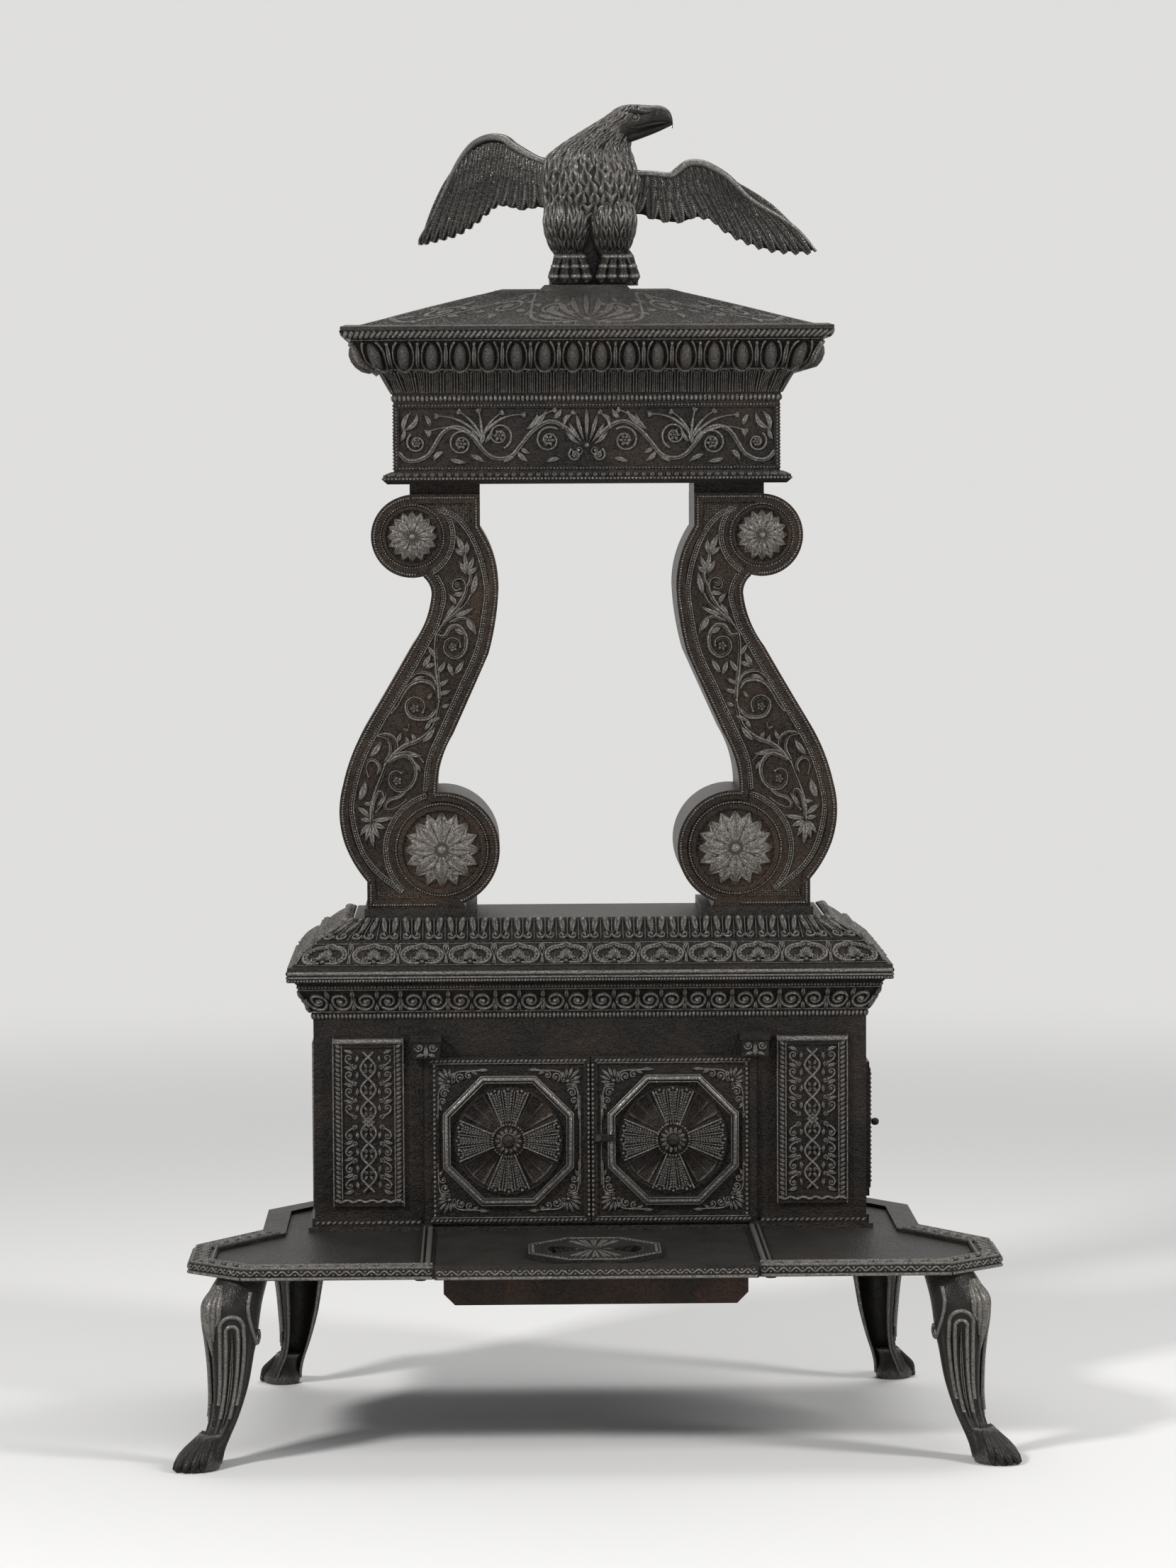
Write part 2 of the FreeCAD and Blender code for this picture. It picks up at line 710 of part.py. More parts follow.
SLIDE_BOTTOM = s.leg_height + s.slide_ledge_thickness + s.running_gap
SLIDE_FLOOR = SLIDE_BOTTOM + s.slide_floor


def slots(low, high, y):
    """Two facing openings of a register, as cutters."""
    pieces = []
    for half_turn in (0.0, 180.0):
        start = half_turn - SLOT_OPENING_ANGLE / 2
        outer = rod(s.register_slot_outer, low, high, (0, y), "z", SLOT_OPENING_ANGLE, start)
        pieces.append(outer)
    return cut(fuse(*pieces), rod(s.register_slot_inner, low, high, (0, y)))


def hearth_slide():
    centre = (0, REGISTER_Y)
    front = APRON_FRONT - s.slide_gap
    half = s.slide_half_width
    floor = block((-half, half), (front, SLIDE_REAR), (SLIDE_BOTTOM, SLIDE_FLOOR))
    rim = block((-half, half), (front, APRON_FRONT + s.hearth_rim_width), (SLIDE_BOTTOM, HEARTH_TOP))
    lip = block((-half, half), (front - s.slide_lip, front), (s.leg_height, SLIDE_FLOOR + s.slide_rim_rise))
    # The register turns on a raised seat, clear of the hearth's rim when the slide is drawn
    ring_top = REGISTER_SEAT + s.register_ring_rise
    ring = cut(
        prism(8, s.register_across, SLIDE_BOTTOM, ring_top, centre),
        rod(s.register_disc_radius + s.running_gap, REGISTER_SEAT, ring_top + s.register_ring, centre),
    )
    plate = fuse(floor, rim, lip, ring)
    bore = rod(s.screw_radius + s.running_gap, SLIDE_BOTTOM - s.slide_floor, ring_top, centre)
    node("hearth_slide", cut(plate, bore, slots(SLIDE_BOTTOM - s.slide_floor, ring_top, REGISTER_Y)))
    disc_low = REGISTER_SEAT + s.running_gap
    disc_top = disc_low + s.register_disc_thickness
    grip_at = (-s.register_knob_offset, REGISTER_Y - s.register_knob_offset / 2)
    grip = shank(s.register_knob_radius, disc_low, disc_top + s.register_head_rise, grip_at)
    disc = fuse(rod(s.register_disc_radius, disc_low, disc_top, centre), grip)
    hole = rod(s.screw_radius + s.fixed_gap, disc_low - s.slide_floor, disc_top + s.slide_floor, centre)
    openings = slots(disc_low - s.slide_floor, disc_top + s.slide_floor, REGISTER_Y)
    node("hearth_register", cut(disc, hole, openings))
    head = shank(s.knob_radius, disc_top, disc_top + s.register_head_rise, centre)
    end_top = SLIDE_BOTTOM - s.running_gap
    end_low = s.leg_height + s.slide_gap
    end = shank(s.rivet_end_radius, end_low, end_top, centre)
    pin = rod(s.screw_radius, end_low, disc_top + s.register_head_rise, centre)
    node("hearth_register_rivet", fuse(head, end, pin))


def ash_trough():
    casting = Casting("ash_trough")
    top = s.leg_height - s.trough_flange
    bottom = s.leg_height - s.trough_depth
    rear = PIT_REAR

    def section(inset, upper):
        half = s.trough_half_width - inset
        corner = s.trough_chamfer
        side_low = bottom + corner + inset * EIGHTH_CORNER_SHARE
        return both_sides([(half, upper), (half, side_low), (half - corner, bottom + inset)])

    casting.pad("XZ_Plane", -rear, rear - TROUGH_FRONT, section(0, s.leg_height))
    flange = s.trough_flange_half_width
    casting.pad("XY_Plane", top, s.trough_flange, rectangle(-flange, flange, TROUGH_FRONT, rear))
    casting.pocket("XZ_Plane", -(TROUGH_FRONT + s.trough_wall), rear - TROUGH_FRONT - s.trough_wall * 2,
                   section(s.trough_wall, s.leg_height + s.trough_flange))
    holes = [eight_flats(x, y, s.screw_radius + s.fixed_gap) for x, y in trough_screw_places()]
    casting.pocket("XY_Plane", s.leg_height, s.leg_height, *holes)
    screws = []
    seat, end = top - s.screw_radius, s.leg_height + s.ledge_rise / 2
    for at in trough_screw_places():
        screws.append(fuse(shank(s.screw_radius * 2, seat, top, at), shank(s.screw_radius, seat, end, at)))
    node("trough_screws", group(*screws))


# Flat-sided solids over rings of corners

def flat_face(corners):
    return Part.Face(Part.makePolygon(corners + corners[:1]))


def side_faces(quad):
    """One face over four corners where they lie in a plane, or else two."""
    a, b, c, d = quad
    normal = (b - a).cross(c - a)
    if abs((d - a).dot(normal.normalize())) < float(s.leg_height) * FLATNESS_SHARE:
        return [flat_face(quad)]
    return [flat_face([a, b, c]), flat_face([a, c, d])]


def skin(rings):
    """The solid over a row of rings that all have the same number of corners."""
    faces = [flat_face(rings[0]), flat_face(rings[-1])]
    count = len(rings[0])
    for low, high in zip(rings, rings[1:]):
        for i in range(count):
            j = (i + 1) % count
            faces += side_faces([low[i], low[j], high[j], high[i]])
    solid = Part.makeSolid(Part.makeShell(faces))
    if solid.Volume < 0:
        solid.reverse()
    return solid


def ring(centre, half_wide, half_high, sides, wide_way, high_way):
    """Corners on an ellipse round a centre, in the plane of two directions."""
    corners = []
    for i in range(sides):
        angle = 2 * math.pi * (i + 0.5) / sides
        wide, high = half_wide * math.cos(angle), half_high * math.sin(angle)
        corners.append(centre + wide_way * wide + high_way * high)
    return corners


ACROSS = FreeCAD.Vector(1, 0, 0)
BACKWARD = FreeCAD.Vector(0, 1, 0)
UP = FreeCAD.Vector(0, 0, 1)


def level_ring(x, y, z, half_x, half_y):
    return ring(FreeCAD.Vector(x, y, z), half_x, half_y, RING_SIDES, ACROSS, BACKWARD)


def level_stack(middle, stations, wide, long, high):
    """A round solid of level rings, each given by its width, depth and height as shares."""
    rings = []
    for across, along, up in stations:
        rings.append(level_ring(middle.x, middle.y, middle.z + high * up, wide * across, long * along))
    return skin(rings)


def horn(points, radii, way):
    """A tapering round form through upright rings square to a level direction."""
    side = way.cross(UP)
    return skin([ring(point, radius, radius, HORN_SIDES, side, UP) for point, radius in zip(points, radii)])


def drum(centre, radii, start, end, sides):
    """A round solid along the depth between two planes, with a radius at each."""
    rings = []
    for y, radius in sorted(((start, radii[0]), (end, radii[1]))):
        rings.append(ring(FreeCAD.Vector(centre.x, y, centre.z), radius, radius, sides, ACROSS, UP))
    return skin(rings)


def post(radius, low, high, x, y):
    """An upright eight-sided solid."""
    size = float(radius)
    centres = [FreeCAD.Vector(float(x), float(y), float(z)) for z in (low, high)]
    return skin([ring(centre, size, size, SHANK_SIDES, ACROSS, BACKWARD) for centre in centres])


def knob(radius, start, at, way):
    """A turned knob as long as it is wide, from its neck outward along a level direction."""
    size = float(radius)
    side = way.cross(UP)
    rings = []
    for along, wide in KNOB_SHARES:
        centre = FreeCAD.Vector(*(float(value) for value in at)) + way * (float(start) + size * along)
        rings.append(ring(centre, size * wide, size * wide, KNOB_SIDES, side, UP))
    thing = DOC.addObject("Part::Feature", "knob")
    thing.Shape = skin(rings)
    return thing


def stack(stations):
    """A solid through level rectangles, each given by its half width, half depth and height."""
    rings = []
    for half_x, half_y, z in stations:
        x, y, level = float(half_x), float(half_y), float(z)
        rings.append([FreeCAD.Vector(a, b, level) for a, b in ((-x, -y), (x, -y), (x, y), (-x, y))])
    return skin(rings)


def solid_block(x_range, y_range, z_range):
    low, high = [[float(pair[i]) for pair in (x_range, y_range, z_range)] for i in (0, 1)]
    lengths = [b - a for a, b in zip(low, high)]
    return Part.makeBox(*lengths, FreeCAD.Vector(*low))


# Legs

def leg_stack(size_share, shift_share, top, bottom_share):
    """The tapering form of a leg along its lean, or the hollow in it."""
    rings = []
    for height, reach, width in LEG_SHARES:
        if height < bottom_share:
            continue
        half = float(s.leg_knee_width) * width / 2
        z = min(float(s.leg_height) * height, top)
        out = float(s.leg_reach) * reach - half * shift_share
        rings.append(level_ring(out, 0, z, half * size_share, half * size_share * LEG_DEPTH_SHARE))
    return skin(rings)


def toe(paw_x, angle):
    """A clawed toe that points along an angle from the paw's middle."""
    length, rise, radius = float(s.paw_length), float(s.paw_height), float(s.toe_radius)
    way = FreeCAD.Vector(math.cos(math.radians(angle)), math.sin(math.radians(angle)), 0)
    down = FreeCAD.Vector(0, 0, -radius)
    root = FreeCAD.Vector(paw_x + length * TOE_ROOT_SHARES[0], 0, rise * TOE_ROOT_SHARES[1])
    knuckle = FreeCAD.Vector(paw_x, 0, rise * TOE_KNUCKLE_SHARES[1]) + way * (length * TOE_KNUCKLE_SHARES[0])
    nail = FreeCAD.Vector(paw_x, 0, radius * TOE_RADIUS_SHARES[2]) + way * (length * TOE_NAIL_SHARE)
    tip = nail + way * (radius * TOE_TIP_SHARES[0]) + down * TOE_TIP_SHARES[1]
    return horn([root, knuckle, nail, tip], [radius * share for share in TOE_RADIUS_SHARES], way)


def paw(paw_x):
    """A paw with four clawed toes in front."""
    length, width, rise = float(s.paw_length), float(s.paw_width), float(s.paw_height)
    rings = []
    for z, long, wide in PAW_SHARES:
        x = paw_x - length * (1 - long) * PAW_BACKWARD_SHARE
        rings.append(level_ring(x, 0, rise * z, length / 2 * long, width / 2 * wide))
    return skin(rings).fuse([toe(paw_x, angle) for angle in TOE_ANGLES])


def leg_shape():
    """One leg leaning along +X from the middle of its top."""
    height, knee, bolt = float(s.leg_height), float(s.leg_knee_width), float(s.leg_bolt_radius)
    gap, web = float(s.fixed_gap), float(s.leg_web)
    size, shift, foot = LEG_HOLLOW_SHARES
    shape = leg_stack(1.0, 0.0, height, 0.0).fuse(paw(float(s.leg_reach) * PAW_REACH_SHARE))
    shape = shape.cut(leg_stack(size, shift, height - web, foot))
    back, side, level, thick = EAR_SHARES
    ends = [FreeCAD.Vector(-knee * back, knee * side * end, height * level) for end in (-1, 1)]
    ear = horn(ends, [knee * thick] * 2, BACKWARD)
    # The leg is turned about its bolt, so its bore clears the bolt's corners all round
    bore = post((bolt + gap) / math.cos(math.pi / SHANK_SIDES), height - web * 2, height + web, 0, 0)
    head_room = post(bolt * LEG_BOLT_ROOM_SHARE, height - web * 4, height - web, 0, 0)
    under_floor = Part.makeBox(height, height, height, FreeCAD.Vector(-height / 2, -height / 2, -height))
    return shape.fuse(ear).cut([bore, head_room, under_floor])


def legs():
    pattern = leg_shape()
    bolts = []
    for side, end, name in LEG_PLACES:
        x, y, lean = leg_place(side, end)
        turn = lean if side > 0 else 180.0 - lean
        shaped_at(name, pattern, x, y, turn * end)
        seat = s.leg_height - s.leg_web
        end_z = s.leg_height + s.ledge_rise * LEG_BOLT_DEPTH_SHARE
        head = shank(s.leg_bolt_radius * LEG_BOLT_HEAD_SHARE, seat - s.leg_bolt_radius, seat, (x, y))
        bolts.append(fuse(head, shank(s.leg_bolt_radius, seat, end_z, (x, y))))
    node("leg_bolts", group(*bolts))


# Firebox

CAPITAL_BOTTOM = DOOR_TOP + s.running_gap * 3


def front_plate():
    casting = Casting("front_plate")
    inner = s.body_half_depth - s.body_wall
    sill = BODY_BOTTOM + s.opening_sill
    casting.pad("XZ_Plane", inner, s.body_wall,
                rectangle(-s.body_half_width, s.body_half_width, BODY_BOTTOM, BODY_TOP),
                rectangle(-s.opening_half_width, s.opening_half_width, sill, sill + s.opening_height))
    edge_x = s.door_hinge_x + s.hinge_lug_radius
    for side in (-1, 1):
        near, far = (edge_x * side, s.body_half_width * side)
        casting.pad("XZ_Plane", inner, s.body_wall + s.base_bead_rise,
                    rectangle(near, far, BODY_BOTTOM, BODY_BOTTOM + s.base_bead_height))
        left = s.panel_center_x * side - s.panel_width / 2
        low = BODY_BOTTOM + s.panel_sill
        casting.pad("XZ_Plane", inner, s.body_wall + s.panel_rise,
                    rectangle(left, left + s.panel_width, low, low + s.panel_height))
        border = s.panel_border
        casting.pocket("XZ_Plane", s.body_half_depth + s.panel_rise, s.panel_recess,
                       rectangle(left + border, left + s.panel_width - border,
                                 low + border, low + s.panel_height - border))
    screw_z = CAPITAL_BOTTOM + s.capital_height / 2
    screws = [eight_flats(s.door_hinge_x * side, screw_z, s.screw_radius + s.fixed_gap) for side in (-1, 1)]
    casting.pocket("XZ_Plane", s.body_half_depth, s.body_wall, *screws)
    lugs = [{"x": s.door_hinge_x * side, "y": DOOR_HINGE_Y, "radius": s.hinge_lug_radius + s.fixed_gap}
            for side in (-1, 1)]
    casting.pocket("XY_Plane", DOOR_BOTTOM, s.door_lift, *lugs)


FEED_LOW = BODY_BOTTOM + s.feed_door_sill
FEED_TOP = FEED_LOW + s.feed_door_height
FEED_X = s.body_half_width + s.running_gap
FEED_AXIS_X = FEED_X + s.feed_door_thickness / 2
FEED_AXIS_Y = s.feed_door_half_depth
FEED_MIDDLE = (FEED_LOW + FEED_TOP) / 2


def end_plates():
    inner_y = s.body_half_depth - s.body_wall
    inner_x = s.body_half_width - s.body_wall
    outline = rectangle(-inner_y, inner_y, BODY_BOTTOM, BODY_TOP)
    bead = rectangle(-s.body_half_depth, s.body_half_depth, BODY_BOTTOM, BODY_BOTTOM + s.base_bead_height)
    left = Casting("left_end_plate")
    left.pad("YZ_Plane", -s.body_half_width, s.body_wall, outline)
    left.pad("YZ_Plane", -s.body_half_width - s.base_bead_rise, s.base_bead_rise, bead)
    right = Casting("right_end_plate")
    lap = s.feed_lap
    half = s.feed_door_half_depth - lap
    window = rectangle(-half, half, FEED_LOW + lap, FEED_TOP - lap)
    right.pad("YZ_Plane", inner_x, s.body_wall, outline, window)
    right.pad("YZ_Plane", s.body_half_width, s.base_bead_rise, bead)
    lug = {"x": FEED_AXIS_X, "y": FEED_AXIS_Y, "radius": s.feed_lug_radius}
    width = s.feed_lug_radius
    gap = s.running_gap * 2
    bore = {"x": FEED_AXIS_X, "y": FEED_AXIS_Y, "radius": s.door_pin_radius + s.fixed_gap}
    for low in (FEED_LOW - width * 2 - gap, FEED_TOP + gap):
        right.pad("XY_Plane", low, width * 2, rectangle(s.body_half_width - s.fixed_gap, FEED_AXIS_X,
                                                       FEED_AXIS_Y - width, FEED_AXIS_Y + width))
        right.pad("XY_Plane", low, width * 2, lug)
        right.pocket("XY_Plane", low + width * 2, width * 2, bore)
    back = Casting("back_plate")
    back.pad("XZ_Plane", -s.body_half_depth, s.body_wall,
             rectangle(-s.body_half_width, s.body_half_width, BODY_BOTTOM, BODY_TOP))


def feed_door():
    """The door in the right end, its hinge pins, and its turning latch with a knob outside."""
    gap = s.running_gap
    half = s.feed_door_thickness / 2
    border = s.feed_lap
    face = FEED_X + s.feed_door_thickness
    outer = face + s.door_border_rise
    axis = (FEED_AXIS_X, FEED_AXIS_Y)
    plate = block((FEED_X, face), (-s.feed_door_half_depth, FEED_AXIS_Y), (FEED_LOW, FEED_TOP))
    edge = rod(half, FEED_LOW, FEED_TOP, axis)
    raised = block((FEED_X, outer), (-s.feed_door_half_depth + border, FEED_AXIS_Y - border * 2),
                   (FEED_LOW + border, FEED_TOP - border))
    bore = s.door_pin_radius + gap
    pin_bore = rod(bore, FEED_LOW - gap, FEED_LOW + s.door_pin_depth + gap, axis)
    top_bore = rod(bore, FEED_TOP - s.door_pin_depth - gap, FEED_TOP + gap, axis)
    centre = (0, FEED_MIDDLE)
    spindle_bore = rod(s.spindle_radius + gap, FEED_X - s.body_wall, outer + s.body_wall, centre, "x")
    node("feed_door", cut(fuse(plate, edge, raised), pin_bore, top_bore, spindle_bore))
    reach = s.feed_lug_radius * 2 + gap * 2
    low_pin = rod(s.door_pin_radius, FEED_LOW - reach, FEED_LOW + s.door_pin_depth, axis)
    top_pin = rod(s.door_pin_radius, FEED_TOP - s.door_pin_depth, FEED_TOP + reach, axis)
    node("feed_door_pins", group(low_pin, top_pin))
    arm_x = s.body_half_width - s.body_wall - s.running_gap * 2
    arm = block((arm_x - s.feed_arm_thickness, arm_x), (-s.feed_arm_width / 2, s.feed_arm_width / 2),
                (FEED_MIDDLE - s.feed_arm_width / 2, FEED_MIDDLE + s.feed_arm_length))
    start = outer + gap
    neck_end = start + s.feed_neck_length
    spindle = rod(s.spindle_radius, arm_x - s.feed_arm_thickness, neck_end, centre, "x")
    collar = shank(s.feed_collar_radius, start, start + s.feed_collar_radius, centre, "x")
    grip = knob(s.feed_knob_radius, neck_end - s.spindle_radius / 2, (0, 0, FEED_MIDDLE), ACROSS)
    node("feed_door_latch", fuse(arm, spindle, collar, grip))


def capitals():
    """Brackets over the door hinges, with their screws and the hinge pins."""
    screws = []
    for side, name in ((-1, "left"), (1, "right")):
        x = s.door_hinge_x * side
        half = s.capital_width / 2
        front = -(s.body_half_depth + s.capital_depth)
        top = CAPITAL_BOTTOM + s.capital_height
        base = block((x - half, x + half), (front, -s.body_half_depth), (CAPITAL_BOTTOM, top))
        slab = block((x - half - s.capital_slab_lap, x + half + s.capital_slab_lap),
                     (front - s.capital_slab_lap, -s.body_half_depth), (top - s.capital_slab, top))
        pin_top = CAPITAL_BOTTOM + s.door_pin_depth
        axis = (x, DOOR_HINGE_Y)
        bore = rod(s.door_pin_radius + s.fixed_gap, CAPITAL_BOTTOM - s.capital_slab, pin_top, axis)
        middle = CAPITAL_BOTTOM + s.capital_height / 2
        screw_end = -(s.body_half_depth + s.capital_depth / 3)
        at = (x, middle)
        screw_bore = shank(s.screw_radius + s.fixed_gap, screw_end, -s.body_half_depth + s.body_wall, at, "y")
        node(f"capital_{name}", cut(fuse(base, slab), bore, screw_bore))
        inner = -(s.body_half_depth - s.body_wall)
        head = shank(s.screw_radius * 2, inner, inner + s.screw_radius, at, "y")
        screws.append(fuse(shank(s.screw_radius, screw_end + s.fixed_gap, inner, at, "y"), head))
        upper = rod(s.door_pin_radius, DOOR_TOP - s.door_pin_depth, pin_top, axis)
        lower = rod(s.door_pin_radius, s.leg_height + s.fixed_gap * 2, DOOR_BOTTOM + s.door_pin_depth, axis)
        node(f"door_pins_{name}", group(lower, upper))
    node("capital_screws", group(*screws))


def fan_openings(x, low, high, centre_angle):
    """Four openings of a fan register, as one cutter."""
    pies = []
    for quarter in range(4):
        start = quarter * 90.0 + centre_angle - FAN_OPENING_ANGLE / 2
        pies.append(rod(s.fan_radius, low, high, (x, FAN_Z), "y", FAN_OPENING_ANGLE, start))
    return cut(fuse(*pies), rod(s.fan_inner_radius, low, high, (x, FAN_Z), "y"))


def doors():
    gap = s.running_gap
    for side, name in ((-1, "left"), (1, "right")):
        hinge = s.door_hinge_x * side
        free = s.slide_gap * side
        fan_x = (hinge + free) / 2
        low_x, high_x = (hinge, free) if side < 0 else (free, hinge)
        plate = block((low_x, high_x), (DOOR_FRONT, DOOR_BACK), (DOOR_BOTTOM, DOOR_TOP))
        edge = rod(s.door_thickness / 2, DOOR_BOTTOM, DOOR_TOP, (hinge, DOOR_HINGE_Y))
        raised = DOOR_FRONT - s.door_border_rise
        border = s.door_border
        edge_gap = s.door_thickness
        frame_low, frame_high = (low_x + edge_gap, high_x) if side < 0 else (low_x, high_x - edge_gap)
        frame = cut(
            block((frame_low, frame_high), (raised, DOOR_BACK), (DOOR_BOTTOM, DOOR_TOP)),
            block((frame_low + border, frame_high - border), (raised - border, DOOR_FRONT),
                  (DOOR_BOTTOM + border, DOOR_TOP - border)),
        )
        centre = (fan_x, FAN_Z)
        ring_front = DOOR_FRONT - s.fan_ring_rise
        ring_inner = s.fan_across - s.fan_ring_width * 2
        ring = cut(
            prism(8, s.fan_across, ring_front, DOOR_BACK, centre, "y"),
            prism(8, ring_inner, ring_front - s.fan_ring_rise, DOOR_FRONT, centre, "y"),
        )
        blade_front = DOOR_FRONT - s.fan_blade_rise
        blades = rod(s.fan_radius + s.fan_web, blade_front, DOOR_BACK, centre, "y")
        boss = rod(s.boss_radius, DOOR_FRONT - s.boss_rise, DOOR_BACK, centre, "y")
        axis = (hinge, DOOR_HINGE_Y)
        pin_bores = fuse(
            rod(s.door_pin_radius + gap, DOOR_BOTTOM - gap, DOOR_BOTTOM + s.door_pin_depth + gap, axis),
            rod(s.door_pin_radius + gap, DOOR_TOP - s.door_pin_depth - gap, DOOR_TOP + gap, axis),
        )
        bore = rod(s.spindle_radius + gap, DOOR_FRONT - s.boss_rise * 2, DOOR_BACK + border, centre, "y")
        fan = fan_openings(fan_x, blade_front - border, DOOR_BACK + border, EIGHTH_TURN_ANGLE)
        cutters = [fan, pin_bores, bore]
        if side > 0:
            pivot = (s.latch_pivot_x, s.latch_height)
            cutters.append(rod(s.latch_pin_radius + s.fixed_gap, DOOR_FRONT - border, DOOR_BACK, pivot, "y"))
            cutters.append(rod(s.latch_width / 2 + s.running_gap, DOOR_FRONT - border, DOOR_FRONT, pivot, "y"))
        node(f"door_{name}", cut(fuse(plate, edge, frame, ring, blades, boss), *cutters))
        near = DOOR_BACK + gap
        far = near + s.shutter_thickness
        disc = rod(s.shutter_radius, near, far, centre, "y")
        hole = rod(s.spindle_radius + s.fixed_gap, near - border, far + border, centre, "y")
        node(f"shutter_{name}", cut(disc, hole, fan_openings(fan_x, near - border, far + border, 0.0)))
        boss_front = DOOR_FRONT - s.boss_rise
        spindle = rod(s.spindle_radius, boss_front - s.knob_radius, far + s.rivet_end_height, centre, "y")
        end = shank(s.rivet_end_radius, far, far + s.rivet_end_height, centre, "y")
        grip = knob(s.knob_radius, -(boss_front - gap), (fan_x, 0, FAN_Z), -BACKWARD)
        node(f"shutter_knob_{name}", fuse(spindle, end, grip))


def latch():
    back = DOOR_FRONT - s.latch_standoff
    front = back - s.latch_thickness
    pivot = (s.latch_pivot_x, s.latch_height)
    half = s.latch_width / 2
    bar = block((s.latch_pivot_x - s.latch_tail, s.latch_pivot_x + s.latch_length), (front, back),
                (s.latch_height - half, s.latch_height + half))
    bore = rod(s.latch_pin_radius + s.running_gap, front - half, back + half, pivot, "y")
    node("door_latch", cut(bar, bore))
    pin = rod(s.latch_pin_radius, front - s.latch_pin_radius, DOOR_BACK - s.fixed_gap, pivot, "y")
    head_front = front - s.latch_pin_radius - s.fixed_gap
    head = shank(s.latch_head_radius, head_front, front - s.running_gap, pivot, "y")
    washer = cut(
        rod(half, back + s.running_gap, DOOR_FRONT, pivot, "y"),
        rod(s.latch_pin_radius / 2, back, DOOR_FRONT, pivot, "y"),
    )
    node("latch_rivet", fuse(pin, head, washer))


def fire_grate():
    """Slotted grate on four feet on the firebox floor."""
    top = BODY_BOTTOM + s.grate_height
    low = top - s.grate_bar
    half_x, half_y, bar = s.grate_half_width, s.grate_half_depth, s.grate_bar
    pieces = [block((-half_x, half_x), (y, y + bar), (low, top)) for y in (-half_y, half_y - bar)]
    count = int(float(s.grate_bars))
    for i in range(count):
        x = -half_x + (half_x * 2 - bar) * (i / (count - 1))
        pieces.append(block((x, x + bar), (-half_y, half_y), (low, top)))
    for side in (-1, 1):
        for end in (-1, 1):
            x, y = (half_x - bar) * side, (half_y - bar) * end
            pieces.append(shank(bar / 2, BODY_BOTTOM, top - bar / 2, (x, y)))
    node("fire_grate", fuse(*pieces))


# Mouldings: stacks of level rectangles joined by straight slopes

def body_cornice():
    stations = [
        (s.body_half_width + s.body_cornice_lap * out, s.body_half_depth + s.body_cornice_lap * out,
         BODY_TOP + s.body_cornice_rise * up)
        for out, up in BODY_CORNICE_SHARES
    ]
    inner_x = s.body_half_width - s.body_wall
    inner_y = s.body_half_depth - s.body_wall
    hollow = solid_block((-inner_x, inner_x), (-inner_y, inner_y), (BODY_BOTTOM, LID_BOTTOM + s.body_wall))
    shaped("body_cornice", stack(stations).cut(hollow))


def flue_box(inset, low, high, side):
    """The clear way for smoke at a column's foot, drawn in by an inset."""
    edges = sorted((float(s.column_foot_inner + s.column_wall + inset) * side,
                    float(s.column_foot_outer - s.column_wall - inset) * side))
    half = s.column_depth / 2 - s.column_wall - inset
    return solid_block(edges, (-half, half), (low, high))


def mantel_lid():
    """The stepped lid, hollow below, with plinths and flue spigots under the columns."""
    rim = [(LID_HALF_X, LID_HALF_Y, LID_BOTTOM)]
    lower = LID_BOTTOM + s.lid_rim
    steps = [(LID_HALF_X - s.lid_run_x * inward, LID_HALF_Y - s.lid_run_y * inward, lower + s.lid_rise * up)
             for inward, up in LID_SHARES]
    outer = stack(rim + steps)
    wall = s.lid_wall
    # The hollow follows the slopes at about one wall's distance
    inner_x, inner_y = s.body_half_width - s.body_wall, s.body_half_depth - s.body_wall
    top_x, top_y = LID_HALF_X - s.lid_run_x - wall, LID_HALF_Y - s.lid_run_y - wall
    hollow = stack([
        (inner_x, inner_y, LID_BOTTOM),
        (inner_x - wall * 2, inner_y - wall, lower + s.lid_rise * LID_HOLLOW_SHARES[0] - wall),
        (top_x, top_y, lower + s.lid_rise * LID_HOLLOW_SHARES[1] - wall),
        (top_x, top_y, LID_TOP - wall),
    ])
    lid = outer.cut(hollow)
    for side in (-1, 1):
        edges = sorted((float(s.plinth_inner) * side, float(s.plinth_half_width) * side))
        depths = (-s.plinth_half_depth, s.plinth_half_depth)
        plinth = solid_block(edges, depths, (LID_TOP - s.plinth_rise / 2, COLUMN_FOOT))
        gap = s.running_gap
        spigot = flue_box(gap, LID_TOP, COLUMN_FOOT + s.spigot_rise, side)
        bore = flue_box(s.spigot_wall + gap, LID_BOTTOM, COLUMN_FOOT + s.spigot_rise * 2, side)
        lid = lid.fuse(plinth.fuse(spigot)).cut(bore)
    for x, y in tie_rod_places():
        boss = post(s.tie_rod_boss_radius, LID_BOTTOM, lower + s.lid_rise * LID_BOSS_SHARE, x, y)
        bore = post(s.tie_rod_radius + s.fixed_gap, BODY_TOP, LID_BOTTOM + s.lid_rise * LID_BORE_SHARE, x, y)
        lid = lid.fuse(boss).cut(bore)
    shaped("mantel_lid", lid.removeSplitter())


def tie_rods():
    rods = []
    nuts = []
    top = LID_BOTTOM + s.lid_rise * TIE_ROD_TOP_SHARE
    under = s.leg_height
    foot = under - s.nut_height - s.tie_rod_radius
    for at in tie_rod_places():
        rods.append(shank(s.tie_rod_radius, foot, top, at))
        nut = prism(6, s.nut_across, under - s.nut_height, under, at)
        nuts.append(cut(nut, shank(s.tie_rod_radius + s.fixed_gap, foot, top, at)))
    node("tie_rods", group(*rods))
    node("tie_rod_nuts", group(*nuts))


# Scroll columns

